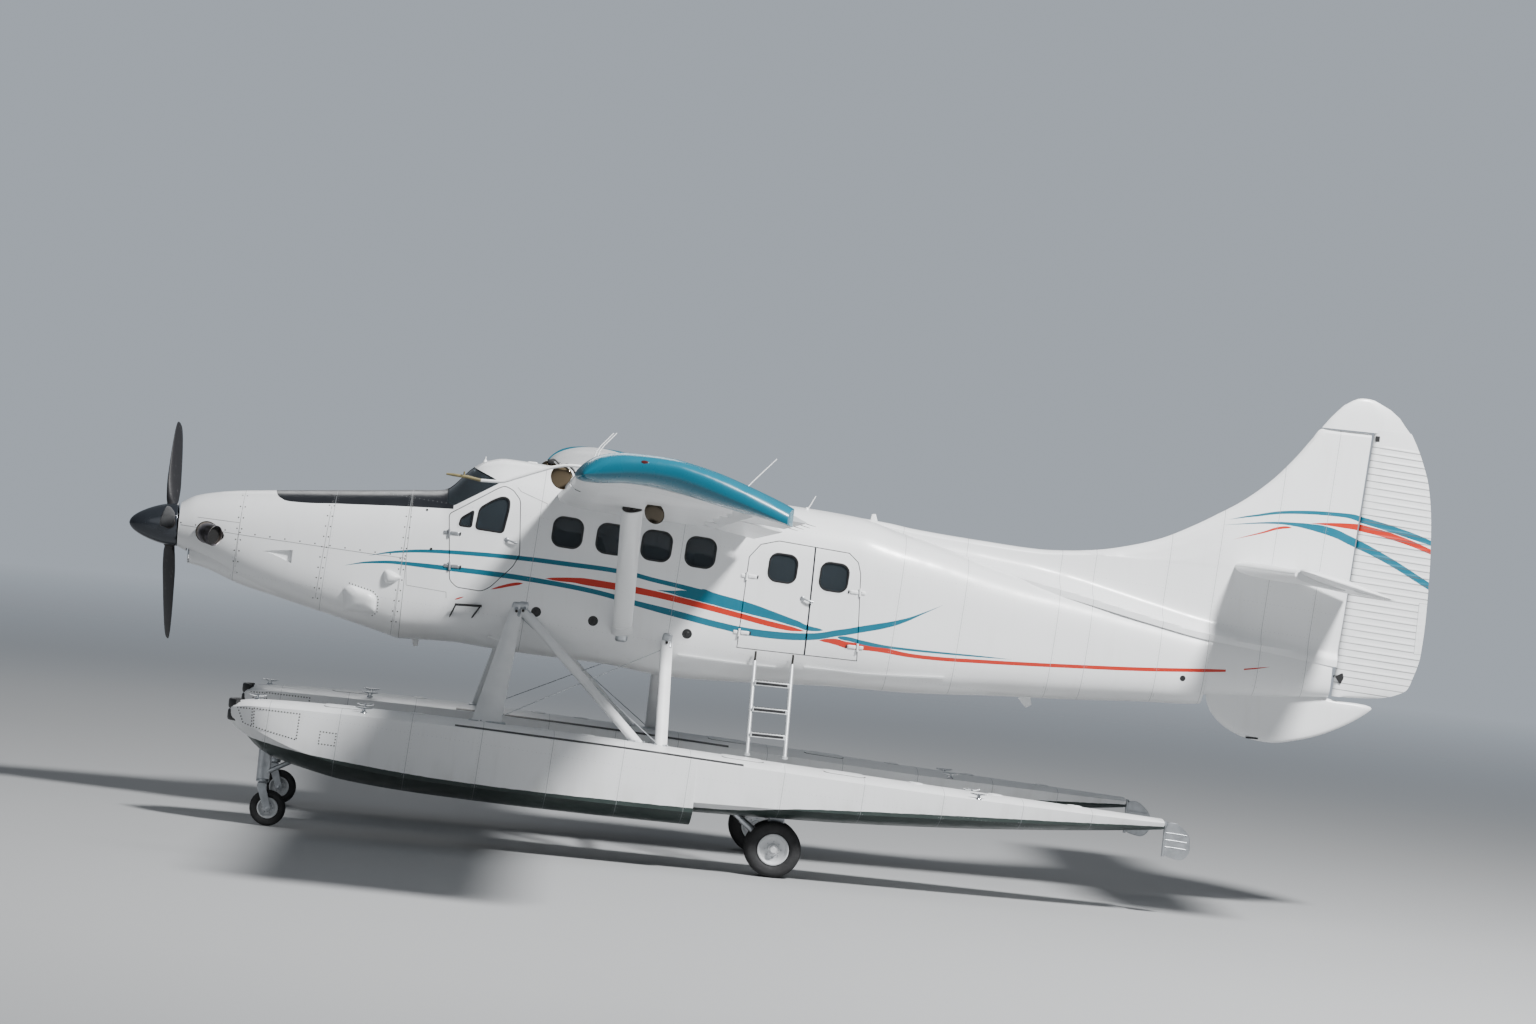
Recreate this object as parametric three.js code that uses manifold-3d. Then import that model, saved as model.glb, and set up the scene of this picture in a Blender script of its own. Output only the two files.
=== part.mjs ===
// High-wing single-engine turbine floatplane on amphibious floats, parked on its wheels.
// Millimetres. +X runs aft, +Y to starboard, +Z up. The origin is on the ground, midway along the length.
import * as THREE from 'three';
import { mergeVertices } from 'three/addons/utils/BufferGeometryUtils.js';
import Module from 'manifold-3d';

const wasm = await Module();
wasm.setup();

// Driving dimensions
const GAP = 0.4; // between pieces that touch on the real aircraft
const DOOR_GAP = 8; // round a door

const THRUST_TILT = 2.7; // degrees, nose down
const HUB = { x: -6238, z: 2828 };
const PROP_RADIUS = 1280;
const BLADE_AZIMUTHS = [36.5, 156.5, 276.5]; // degrees from straight up, towards starboard

const FIREWALL_X = -3818;
const CABIN_REAR_X = 1500;
const SIDE_WALL = 45;
const ROOF_WALL = 60;
const FLOOR_Z = 2150;
const BULKHEAD = 50;
const DATUM_TILT = 3; // degrees, the cabin line is nose up when parked

const WING_CHORD = 2020;
const WING_LE_X = -2372;
const WING_LE_Z = 3512; // on the centreline, before dihedral
const WING_INCIDENCE = 5.3; // degrees
const DIHEDRAL = 2; // degrees
const WING_ROOT_Y = 640; // inside the cabin side, which cuts it back
const WING_CAP_Y = 8480; // where the tip cap starts
const WING_TIP_Y = 8840;
const WING_THICKNESS = 0.15;
const WING_CAMBER = 0.04;
const REAR_SPAR = 0.72; // share of the chord that is fixed
const FLAP_SPAN = [960, 5380];
const AILERON_SPAN = [5420, 8440];
const FLAP_DROOP = 13; // degrees
const AILERON_DROOP = 9;

const FLOAT_Y = 1500;
const STEP_X = -758;

const RUDDER_HINGE = { x: 5968, z: 5056, lean: 0.0524 };
const RUDDER_NOSE = 62;
const FIN_TOP_Z = 5028;
const ELEVATOR_HINGE = { x: 5342, z: 3475 };
const ELEVATOR_DROOP = 12; // degrees below level
const TAIL_SPAN = 3230;

const LEAF_HINGE = { pin: 8, hole: 8.9, eye: 16, web: 5, slot: 11 }; // radii, then half widths along the hinge
const FLAP_HINGES = [1500, 4800]; // span positions
const AILERON_HINGES = [5900, 7900];
const RUDDER_HINGES = [2900, 4500]; // heights

const WHITE = 0xe9ecee;
const TEAL = 0x0b8fb4;
const DARK = 0x2b2f33;
const BLACK = 0x15171a;
const GREY = 0x8b9196;
const STEEL = 0x9ea2a6;
const SEAT_COLOUR = 0x4a5560;
const RUBBER = 0x1c1c1d;

const rad = THREE.MathUtils.degToRad;

// Geometry helpers

// Closed geometry to a manifold solid: shared corners merged, flat triangles dropped, faces out.
function solid(geometry) {
  const bare = geometry.clone();
  bare.deleteAttribute('normal');
  bare.deleteAttribute('uv');
  const merged = mergeVertices(bare, 1e-3);
  const at = merged.attributes.position;
  const index = merged.index.array;
  const keep = [];
  let volume = 0;
  const a = new THREE.Vector3();
  const b = new THREE.Vector3();
  const c = new THREE.Vector3();
  for (let i = 0; i < index.length; i += 3) {
    const [p, q, r] = [index[i], index[i + 1], index[i + 2]];
    if (p === q || q === r || r === p) continue;
    keep.push(p, q, r);
    a.fromBufferAttribute(at, p);
    b.fromBufferAttribute(at, q);
    c.fromBufferAttribute(at, r);
    volume += a.dot(b.cross(c));
  }
  if (volume < 0) {
    for (let i = 0; i < keep.length; i += 3) [keep[i], keep[i + 1]] = [keep[i + 1], keep[i]];
  }
  const mesh = new wasm.Mesh({
    numProp: 3,
    vertProperties: new Float32Array(at.array),
    triVerts: Uint32Array.from(keep),
  });
  return new wasm.Manifold(mesh);
}

// Manifold solid back to a three.js geometry.
function geometryOf(body) {
  const mesh = body.getMesh();
  const geometry = new THREE.BufferGeometry();
  geometry.setAttribute('position', new THREE.BufferAttribute(new Float32Array(mesh.vertProperties), 3));
  geometry.setIndex(new THREE.BufferAttribute(new Uint32Array(mesh.triVerts), 1));
  return geometry;
}

// Skin over a row of closed rings with equal point counts, with a fan at each end.
function loft(rings) {
  const count = rings[0].length;
  const points = [];
  const index = [];
  for (const ring of rings) for (const p of ring) points.push(p.x, p.y, p.z);
  for (let i = 0; i + 1 < rings.length; i += 1) {
    for (let j = 0; j < count; j += 1) {
      const k = (j + 1) % count;
      const [a, b] = [i * count + j, i * count + k];
      index.push(a, b, b + count, a, b + count, a + count);
    }
  }
  for (const [row, turn] of [[0, 1], [rings.length - 1, 0]]) {
    const middle = new THREE.Vector3();
    for (const p of rings[row]) middle.addScaledVector(p, 1 / count);
    const hub = points.length / 3;
    points.push(middle.x, middle.y, middle.z);
    for (let j = 0; j < count; j += 1) {
      const [a, b] = [row * count + j, row * count + ((j + 1) % count)];
      index.push(hub, turn ? b : a, turn ? a : b);
    }
  }
  const geometry = new THREE.BufferGeometry();
  geometry.setAttribute('position', new THREE.Float32BufferAttribute(points, 3));
  geometry.setIndex(index);
  return solid(geometry);
}

// Outline in the XZ plane, given as [x, z] corners, carried along Y from y0 to y1.
function slab(outline, y0, y1) {
  const shape = new THREE.Shape(outline.map(([x, z]) => new THREE.Vector2(x, z)));
  const geometry = new THREE.ExtrudeGeometry(shape, { depth: y1 - y0, bevelEnabled: false });
  geometry.rotateX(Math.PI / 2);
  geometry.translate(0, y1, 0);
  return solid(geometry);
}

function block(x0, x1, y0, y1, z0, z1) {
  const geometry = new THREE.BoxGeometry(x1 - x0, y1 - y0, z1 - z0);
  geometry.translate((x0 + x1) / 2, (y0 + y1) / 2, (z0 + z1) / 2);
  return solid(geometry);
}

// Round bar between two points.
function rod(from, to, radius, sides = 12) {
  const [a, b] = [new THREE.Vector3(...from), new THREE.Vector3(...to)];
  const geometry = new THREE.CylinderGeometry(radius, radius, a.distanceTo(b), sides);
  const turn = new THREE.Quaternion().setFromUnitVectors(
    new THREE.Vector3(0, 1, 0), b.clone().sub(a).normalize());
  geometry.applyQuaternion(turn);
  geometry.translate((a.x + b.x) / 2, (a.y + b.y) / 2, (a.z + b.z) / 2);
  return solid(geometry);
}

// Streamlined bar between two points: square to its run, its chord as near to X as that allows.
function fairedBar(from, to, chordFrom, chordTo, thickness, sides = 14) {
  const run = new THREE.Vector3(...to).sub(new THREE.Vector3(...from)).normalize();
  const chordway = new THREE.Vector3(1, 0, 0).addScaledVector(run, -run.x).normalize();
  const across = run.clone().cross(chordway);
  const rings = [[from, chordFrom], [to, chordTo]].map(([end, chord]) => {
    const ring = [];
    for (let i = 0; i < sides; i += 1) {
      const angle = (2 * Math.PI * i) / sides;
      const along = Math.cos(angle);
      ring.push(new THREE.Vector3(...end)
        .addScaledVector(chordway, (chord / 2) * along)
        .addScaledVector(across, (thickness / 2) * Math.sin(angle) * (1 - 0.35 * along)));
    }
    return ring;
  });
  return loft(rings);
}

// Round pipe along a row of points, each ring square to the run there.
function pipe(points, radius, sides = 14) {
  const path = points.map((p) => new THREE.Vector3(...p));
  return loft(path.map((point, i) => {
    const run = path[Math.min(i + 1, path.length - 1)].clone().sub(path[Math.max(i - 1, 0)]).normalize();
    const up = new THREE.Vector3(0, 0, 1).addScaledVector(run, -run.z).normalize();
    const side = run.clone().cross(up);
    return Array.from({ length: sides }, (_, k) => {
      const angle = (2 * Math.PI * k) / sides;
      return point.clone()
        .addScaledVector(up, radius * Math.cos(angle))
        .addScaledVector(side, radius * Math.sin(angle));
    });
  }));
}

// Piece cut back to its neighbour's face, with a hair gap along the direction it leaves the neighbour.
function seat(piece, neighbour, [x, y, z]) {
  return piece.subtract(neighbour).subtract(neighbour.translate([x * GAP, y * GAP, z * GAP]));
}

// Solid of revolution about the X axis, from [x, radius] corners that start and end on the axis.
function turned(profile, sides) {
  const geometry = new THREE.LatheGeometry(profile.map(([x, r]) => new THREE.Vector2(r, x)), sides);
  geometry.rotateZ(-Math.PI / 2);
  return solid(geometry);
}

// Wheel about the Y axis from [y, radius] corners.
function wheel(profile, x, y, z, sides = 28) {
  const geometry = new THREE.LatheGeometry(profile.map(([w, r]) => new THREE.Vector2(r, w)), sides);
  geometry.translate(x, y, z);
  return solid(geometry);
}

const mirrored = (body) => body.mirror([0, 1, 0]);

// Straight-line reading of a table: rows of numbers, the first column rising.
function read(table, x) {
  let i = 0;
  while (i + 2 < table.length && x > table[i + 1][0]) i += 1;
  const [a, b] = [table[i], table[i + 1]];
  const t = (x - a[0]) / (b[0] - a[0]);
  return a.map((value, k) => value + (b[k] - value) * t);
}

// Square with rounded corners about (x, z), turned with the cabin line.
function roundedSquare(x, z, side, corner) {
  const points = [];
  const flat = side / 2 - corner;
  const quarters = [[1, 1, 0], [-1, 1, 90], [-1, -1, 180], [1, -1, 270]]; // side in x, side in z, start angle
  for (const [sx, sz, start] of quarters) {
    for (let k = 0; k <= 2; k += 1) {
      const angle = rad(start + k * 45);
      points.push([sx * flat + corner * Math.cos(angle), sz * flat + corner * Math.sin(angle)]);
    }
  }
  const turn = rad(DATUM_TILT);
  return points.map(([u, v]) => [
    x + u * Math.cos(turn) + v * Math.sin(turn),
    z - u * Math.sin(turn) + v * Math.cos(turn),
  ]);
}

// Outline moved outwards by a distance at every corner (inwards when it is negative).
function offset(outline, distance) {
  const area = outline.reduce((sum, [x, z], i) => {
    const [x2, z2] = outline[(i + 1) % outline.length];
    return sum + x * z2 - x2 * z;
  }, 0);
  const way = area > 0 ? 1 : -1;
  return outline.map((point, i) => {
    const before = outline[(i + outline.length - 1) % outline.length];
    const after = outline[(i + 1) % outline.length];
    const d1 = new THREE.Vector2(point[0] - before[0], point[1] - before[1]).normalize();
    const d2 = new THREE.Vector2(after[0] - point[0], after[1] - point[1]).normalize();
    const n1 = new THREE.Vector2(d1.y, -d1.x);
    const n2 = new THREE.Vector2(d2.y, -d2.x);
    const mitre = n1.clone().add(n2);
    mitre.multiplyScalar((way * distance) / Math.max(0.5, 1 + n1.dot(n2)));
    return [point[0] + mitre.x, point[1] + mitre.y];
  });
}

// Pinned hinge along Y or Z at one point: a fixed plate with an eye, and the slot and pin of what turns.
function pinnedHinge(pointAt, station, upright) {
  const { pin, hole, eye, web, slot } = LEAF_HINGE;
  const [x, y, z] = pointAt(station);
  const arm = [[x - 130, -26], [x, -eye], [x + eye, -eye * 0.5], [x + eye, eye * 0.5], [x, eye], [x - 130, 26]];
  let plate = slab(arm, -web, web);
  let room = block(x - 110, x + 26, -slot, slot, -110, 110);
  const turnAndMove = (body) => (upright ? body.rotate([90, 0, 0]) : body).translate([0, y, z]);
  [plate, room] = [turnAndMove(plate), turnAndMove(room)];
  const along = (reach, radius) => rod(pointAt(station - reach), pointAt(station + reach), radius, 8);
  return { plate: plate.subtract(along(web + 8, hole)), room, pin: along(slot + 8, pin) };
}

// Fixed and turning bodies joined by a row of pinned hinges.
function hang(fixed, turning, pointAt, stations, upright = false) {
  let [held, hung] = [fixed, turning];
  for (const station of stations) {
    const { plate, room, pin } = pinnedHinge(pointAt, station, upright);
    held = held.add(plate);
    hung = hung.subtract(room).add(pin);
  }
  return [held, hung];
}

// Fuselage

// Cabin: x, half width, top z, bottom z
const CABIN = [
  [-3818, 690, 3430, 1922],
  [-3513, 725, 3465, 1935],
  [-3233, 745, 3727, 1940],
  [-3103, 755, 3802, 1932],
  [-2923, 770, 3842, 1918],
  [-2512, 785, 3823, 1897],
  [-1758, 790, 3777, 1878],
  [-1004, 790, 3732, 1812],
  [-240, 790, 3685, 1836],
  [702, 785, 3625, 1886],
  [1142, 750, 3520, 1891],
  [1500, 700, 3438, 1903],
];

// Tail cone: x, half width, top z, bottom z, corner exponent. The belly steps up behind the cabin door.
const TAIL = [
  [1500, 700, 3438, 1903, 3.8],
  [2242, 600, 3250, 1953, 3.5],
  [3042, 490, 3105, 1995, 3.2],
  [3742, 400, 2965, 2046, 3.0],
  [4397, 320, 2850, 2087, 2.8],
  [4417, 318, 2848, 2181, 2.8],
  [5042, 225, 2783, 2230, 2.6],
  [5722, 120, 2708, 2285, 2.4],
];

// Cowling: x, half width, top z, bottom z, corner exponent
const COWL = [
  [-6143, 225, 3064, 2615, 2.0],
  [-6015, 275, 3142, 2560, 2.1],
  [-5853, 330, 3188, 2500, 2.2],
  [-5652, 385, 3228, 2425, 2.4],
  [-5466, 430, 3253, 2340, 2.6],
  [-5116, 505, 3292, 2230, 2.9],
  [-4640, 590, 3342, 2112, 3.2],
  [-4202, 650, 3388, 2012, 3.5],
  [-3944, 680, 3416, 1951, 3.7],
  [-3818.4, 690, 3430, 1923, 3.8],
];

// Chin inlet under the cowling: x, half width, top z, bottom z
const CHIN = [
  [-6010, 165, 2650, 2458],
  [-5853, 205, 2640, 2428],
  [-5466, 260, 2600, 2296],
  [-5116, 310, 2500, 2217],
  [-4640, 340, 2300, 2109],
];

const CABIN_CORNER = 3.8; // exponent of the rounded cabin section
const ROOM_SPAN = 900; // half width that passes every side wall
const BODY_SIDES = 24;

// Rounded section: a superellipse across the body at one x.
function bodyRing(x, halfWidth, top, bottom, exponent, sides = BODY_SIDES) {
  const ring = [];
  const [middle, half] = [(top + bottom) / 2, (top - bottom) / 2];
  for (let i = 0; i < sides; i += 1) {
    const angle = (2 * Math.PI * i) / sides;
    const [c, s] = [Math.cos(angle), Math.sin(angle)];
    ring.push(new THREE.Vector3(
      x,
      halfWidth * Math.sign(c) * Math.abs(c) ** (2 / exponent),
      middle + half * Math.sign(s) * Math.abs(s) ** (2 / exponent),
    ));
  }
  return ring;
}

// Outside of the cabin, grown by a distance all round.
function cabinBody(grow = 0) {
  return loft(CABIN.map(([x, w, top, bottom], i) => {
    const end = i === 0 ? -grow : i === CABIN.length - 1 ? grow : 0;
    return bodyRing(x + end, w + grow, top + grow, bottom - grow, CABIN_CORNER);
  }));
}

// Room inside the cabin: walls and roof inset, a level floor, a bulkhead at each end.
function cabinRoom(inset = 0) {
  const front = FIREWALL_X + BULKHEAD + inset;
  const rear = CABIN_REAR_X - BULKHEAD - inset;
  const xs = [front, ...CABIN.slice(1, -1).map((row) => row[0]), rear];
  const room = loft(xs.map((x) => {
    const [, w, top, bottom] = read(CABIN, x);
    return bodyRing(x, w - SIDE_WALL - inset, top - ROOF_WALL - inset, bottom + SIDE_WALL, CABIN_CORNER);
  }));
  return room.intersect(block(front - 10, rear + 10, -ROOM_SPAN, ROOM_SPAN, FLOOR_Z + inset, 4200));
}

function tailBody(grow = 0) {
  return loft(TAIL.map(([x, w, top, bottom, n], i) => {
    const end = i === 0 ? -grow : i === TAIL.length - 1 ? grow : 0;
    return bodyRing(x + end, w + grow, top + grow, bottom - grow, n);
  }));
}

function cowlBody(grow = 0) {
  const main = loft(COWL.map(([x, w, top, bottom, n]) => bodyRing(x, w + grow, top + grow, bottom - grow, n)));
  const chin = loft(CHIN.map(([x, w, top, bottom]) => bodyRing(x, w + grow, top + grow, bottom - grow, 3, 20)));
  return main.add(chin);
}

const grownCabin = cabinBody(GAP);
const grownTail = tailBody(GAP);

// Openings in the cabin side, as [x, z] outlines
const WINDOW_SIDE = 305;
const WINDOW_CORNER = 75;
const CABIN_WINDOWS = [[-2236, 3175], [-1790, 3155], [-1334, 3135], [-886, 3115]]; // centre x, centre z
const DOOR_WINDOW_SIDE = 290;
const DOOR_WINDOWS = { front: [-46, 3042], rear: [478, 3005] };
const PILOT_DOOR = [
  [-3370, 2577], [-3292, 2510], [-3038, 2496], [-2953, 2545], [-2745, 2778], [-2688, 2901],
  [-2736, 3451], [-2819, 3545], [-2910, 3580], [-2980, 3545], [-3441, 3240],
];
const QUARTER_WINDOW = [[-3332, 3129], [-3316, 3212], [-3191, 3302], [-3202, 3124]];
const SIDE_WINDOW = [
  [-3165, 3114], [-3140, 3330], [-3010, 3425], [-2914, 3470], [-2844, 3445], [-2841, 3349], [-2879, 3100],
];
const WINDSHIELD = [
  [-3468, 3345], [-3400, 3322], [-2960, 3600], [-3024, 3641], [-3235, 3727], [-3300, 3775], [-3480, 3560],
];
const WINDSHIELD_POST = 28; // half width of the centre post
const CABIN_DOOR = [
  [-428, 2197], [800, 2185], [745, 3068], [711, 3179], [610, 3266], [-110, 3316], [-293, 3262], [-399, 3125],
];
function sideCut(outline, side) {
  return side < 0 ? slab(outline, -ROOM_SPAN, -300) : slab(outline, 300, ROOM_SPAN);
}

const seamX = 262; // where the two cabin door leaves meet
const seamTop = 3316 + ((seamX + 110) / 720) * (3266 - 3316);
const seamBottom = 2197 + ((seamX + 428) / 1228) * (2185 - 2197);
const FRONT_LEAF = [
  [-428, 2197], [seamX, seamBottom], [seamX, seamTop], [-110, 3316], [-293, 3262], [-399, 3125],
];
const REAR_LEAF = [
  [seamX, seamBottom], [800, 2185], [745, 3068], [711, 3179], [610, 3266], [seamX, seamTop],
];

function fuselageShell(wall) {
  let shell = wall;
  for (const side of [-1, 1]) {
    for (const [x, z] of CABIN_WINDOWS) {
      shell = shell.subtract(sideCut(roundedSquare(x, z, WINDOW_SIDE, WINDOW_CORNER), side));
    }
    shell = shell.subtract(sideCut(PILOT_DOOR, side));
    const [y0, y1] = side < 0 ? [-ROOM_SPAN, -WINDSHIELD_POST] : [WINDSHIELD_POST, ROOM_SPAN];
    shell = shell.subtract(slab(WINDSHIELD, y0, y1).intersect(block(-4000, -2000, y0, y1, 3300, 4100)));
  }
  shell = shell.subtract(sideCut(CABIN_DOOR, -1));
  shell = shell.subtract(sideCut(FRONT_LEAF, 1));
  return shell;
}

function doorPanel(wall, outline, side, windows) {
  let panel = wall.intersect(sideCut(offset(outline, -DOOR_GAP), side));
  for (const opening of windows) panel = panel.subtract(sideCut(opening, side));
  return panel;
}

// Door hinges: two points on each port hinge line, and the way the door lies from it
const DOOR_HINGES = {
  pilot: { points: [[-3381, -748, 2720], [-3417, -741, 3050]], way: 1 },
  front: { points: [[-419, -796, 2357], [-401, -802, 2929]], way: 1 },
  rear: { points: [[787, -779, 2325], [753, -792, 2876]], way: -1 },
};
// Lug seen along the hinge line, which is at 0, 0: along the skin, inboard
const LUG = [[-10, -4], [-4, -10], [50, -10], [50, 36], [18, 36], [18, 6], [4, 10], [-4, 10], [-10, 4]];
const LUG_HALF = 14; // half height of the door's lug; a shell lug sits above and one below

// Lugs of one door hinge line: those on the door and those on the shell, which meet end to end.
function doorLugs({ points, way }) {
  const [low, high] = points;
  const rise = high[2] - low[2];
  const tilt = [-Math.atan((high[1] - low[1]) / rise), Math.atan((high[0] - low[0]) / rise), 0]
    .map((angle) => THREE.MathUtils.radToDeg(angle));
  const lug = (side, from, to) => {
    const shape = new THREE.Shape(LUG.map(([u, v]) => new THREE.Vector2(side * u, v)));
    const geometry = new THREE.ExtrudeGeometry(shape, { depth: to - from, bevelEnabled: false });
    geometry.translate(0, 0, from);
    return solid(geometry).rotate(tilt);
  };
  const ends = [LUG_HALF + GAP, 2.4 * LUG_HALF];
  const all = (make) => make.translate(low).add(make.translate(high));
  return {
    door: all(lug(way, -LUG_HALF, LUG_HALF)),
    shell: all(lug(-way, ...ends)).add(all(lug(-way, -ends[1], -ends[0]))),
  };
}

// Wing

const HINGE_BACK = 96; // hinge line behind the fixed part's rear face
const tanDihedral = Math.tan(rad(DIHEDRAL));

// Section of the wing as thickness and camber at a share of the chord.
function wingSurface(s, upper, thickness = WING_THICKNESS) {
  const half = 5 * thickness * (0.2969 * Math.sqrt(s) - 0.126 * s - 0.3516 * s ** 2 + 0.2843 * s ** 3
    - 0.1015 * s ** 4);
  const peak = 0.4;
  const camber = s < peak
    ? (WING_CAMBER / peak ** 2) * (2 * peak * s - s * s)
    : (WING_CAMBER / (1 - peak) ** 2) * (1 - 2 * peak + 2 * peak * s - s * s);
  return camber + (upper ? half : -half);
}

// Point of the wing: share of the chord, height as a share of the chord, and span position.
function wingPoint(s, h, y) {
  const angle = rad(WING_INCIDENCE);
  const [u, v] = [s * WING_CHORD, h * WING_CHORD];
  return new THREE.Vector3(
    WING_LE_X + u * Math.cos(angle) + v * Math.sin(angle),
    -y,
    WING_LE_Z - u * Math.sin(angle) + v * Math.cos(angle) + y * tanDihedral,
  );
}

const CHORD_STEPS = [0, 0.012, 0.04, 0.09, 0.17, 0.28, 0.42, 0.57]; // shares of the chord

// The outer panel is raised towards the tip cap, from one span position, by up to these shares of the chord
const TIP_LIFT = { start: 7400, upper: 0.032, lower: 0.05 };

function tipLift(s, y, most) {
  const t = Math.max(0, (y - TIP_LIFT.start) / (WING_CAP_Y - TIP_LIFT.start));
  return most * t * t * (3 - 2 * t) * Math.sin(Math.PI * Math.min(1, s / REAR_SPAR) ** 0.65);
}

function wingRing(y, last = REAR_SPAR) {
  const steps = [...CHORD_STEPS, last];
  const upper = steps.map((s) => wingPoint(s, wingSurface(s, true) + tipLift(s, y, TIP_LIFT.upper), y));
  const lower = steps.slice(1).reverse()
    .map((s) => wingPoint(s, wingSurface(s, false) + tipLift(s, y, TIP_LIFT.lower), y));
  return [...upper, ...lower];
}

// Fixed part of the left wing, from the root to the tip cap.
function wingBody() {
  const middle = (TIP_LIFT.start + WING_CAP_Y) / 2;
  const panel = loft([WING_ROOT_Y, TIP_LIFT.start, middle, WING_CAP_Y].map((y) => wingRing(y)));
  const inboard = loft([wingRing(WING_ROOT_Y, 0.97), wingRing(FLAP_SPAN[0] - 12, 0.97)]);
  return panel.add(inboard).subtract(grownCabin);
}

// Tip cap seen from the side: x, top z, bottom z and the z of its outer edge, at one span position
const TIP_CAP_Y = 8660;
const TIP_CAP = [
  [-2384, 3836, 3806, 3822], [-2366, 3866, 3788, 3830], [-2302, 3935, 3770, 3850], [-2202, 4000, 3766, 3876],
  [-2080, 4034, 3776, 3898], [-1957, 4047, 3788, 3916], [-1778, 4048, 3790, 3928], [-1563, 4038, 3768, 3920],
  [-1344, 4000, 3724, 3875], [-1160, 3957, 3686, 3816], [-975, 3900, 3650, 3754], [-751, 3823, 3612, 3672],
  [-563, 3752, 3580, 3604], [-489, 3720, 3566, 3580],
];

// Tip cap: the section draws in towards its outer edge in three rings.
function wingTip() {
  const rings = [[WING_CAP_Y + GAP, 1, 0], [8700, 0.92, 4], [8800, 0.62, 24], [WING_TIP_Y, 0.25, 70]];
  const [front, back] = [TIP_CAP[0][0], TIP_CAP[TIP_CAP.length - 1][0]];
  return loft(rings.map(([y, shrink, inset]) => { // span, share of the thickness, length cut off each end
    const at = (x, z, edge) => new THREE.Vector3(
      front + inset + (x - front) * (1 - (2 * inset) / (back - front)),
      -y,
      edge + (z - edge) * shrink + (y - TIP_CAP_Y) * tanDihedral,
    );
    return [...TIP_CAP.map(([x, top, , edge]) => at(x, top, edge)),
      ...[...TIP_CAP].reverse().map(([x, , bottom, edge]) => at(x, bottom, edge))];
  }));
}

// Hinge line of the flap and aileron at one span position.
function hingePoint(y) {
  const s = REAR_SPAR + HINGE_BACK / WING_CHORD;
  const middle = (wingSurface(REAR_SPAR, true) + wingSurface(REAR_SPAR, false)) / 2;
  return wingPoint(s, middle, y);
}

// Flap or aileron: a round nose on the hinge line, then a wedge to the trailing edge, drooped.
function trailingSurface([inner, outer], droop) {
  const nose = 80;
  const length = (1 - REAR_SPAR) * WING_CHORD - HINGE_BACK;
  const angle = rad(WING_INCIDENCE + droop);
  const rings = [inner, outer].map((y) => {
    const hinge = hingePoint(y);
    const local = [];
    for (let k = 0; k <= 8; k += 1) {
      const turn = rad(75 + k * 26.25);
      local.push([nose * Math.cos(turn), nose * Math.sin(turn)]);
    }
    local.push([length, -5], [length, 5]);
    return local.map(([u, v]) => new THREE.Vector3(
      hinge.x + u * Math.cos(angle) + v * Math.sin(angle),
      hinge.y,
      hinge.z - u * Math.sin(angle) + v * Math.cos(angle),
    ));
  });
  return loft(rings);
}

// Tail

const rudderHingeX = (z) => RUDDER_HINGE.x - (RUDDER_HINGE.z - z) * RUDDER_HINGE.lean;

// Upright streamlined section from xFront to xBack, thickest a third of the way back.
function uprightRing(z, xFront, xBack, halfThick, backShare) {
  const steps = [[0, 0.22], [0.05, 0.55], [0.15, 0.84], [0.35, 1], [0.7, 0.95], [1, backShare]];
  const sides = [1, -1].map((way) => steps.map(([s, t]) => new THREE.Vector3(
    xFront + s * (xBack - xFront), way * t * halfThick, z)));
  return [...sides[0], ...sides[1].reverse()];
}

// Fin: z, leading edge x, half thickness
const FIN = [
  [2650, 3000, 92],
  [3200, 2760, 90],
  [3494, 2600, 84],
  [3511, 2886, 84],
  [3550, 3203, 82],
  [3623, 3511, 80],
  [3729, 3827, 78],
  [3901, 4162, 75],
  [4044, 4396, 72],
  [4201, 4633, 70],
  [4442, 4910, 66],
  [4704, 5135, 60],
  [4920, 5289, 54],
  [FIN_TOP_Z, 5365, 50],
];

// Fairing from the fin forward along the back: x, top z, half width of its crest, spread on the body
const RIDGE = [
  [700, 3624, 60, 0.1],
  [850, 3612, 70, 0.12],
  [1047, 3596, 80, 0.15],
  [1298, 3565, 90, 0.2],
  [1938, 3522, 105, 0.45],
  [2600, 3492, 100, 0.7],
  [3200, 3440, 84, 0.8],
  [3900, 3240, 80, 0.8],
  [4500, 3060, 70, 0.8],
  [4900, 2950, 60, 0.7],
];
// Side of the fairing: share of its spread, share of its height above the body
const FLARE = [[1, -0.5], [0.82, 0], [0.5, 0.14], [0.26, 0.36], [0.08, 0.66]];

function finBody(tailplane) {
  const fin = loft(FIN.map(([z, front, half]) =>
    uprightRing(z, front, rudderHingeX(z) - RUDDER_NOSE - 14, half, 0.75)));
  const ridge = loft(RIDGE.map(([x, top, crest, spread]) => {
    const [, bodyHalf, bodyTop] = read(x < CABIN_REAR_X ? CABIN : TAIL, x);
    const height = top - bodyTop;
    const side = FLARE.map(([out, up]) => [crest + out * (spread * bodyHalf - crest), bodyTop + up * height]);
    const half = [[side[0][0], bodyTop - 500], ...side, [0.5 * crest, top - 0.04 * height]];
    return [...half.map(([y, z]) => new THREE.Vector3(x, y, z)), new THREE.Vector3(x, 0, top),
      ...half.reverse().map(([y, z]) => new THREE.Vector3(x, -y, z))];
  }));
  const torqueTube = rod([ELEVATOR_HINGE.x, -200, ELEVATOR_HINGE.z], [ELEVATOR_HINGE.x, 200, ELEVATOR_HINGE.z],
    35, 16);
  let body = fin.add(ridge).subtract(grownCabin).subtract(grownTail).subtract(torqueTube);
  for (const way of [-1, 1]) {
    body = seat(body, tailplane, [0, 0, way]);
    body = seat(body, tailplane, [way, 0, 0]);
  }
  return body;
}

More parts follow.
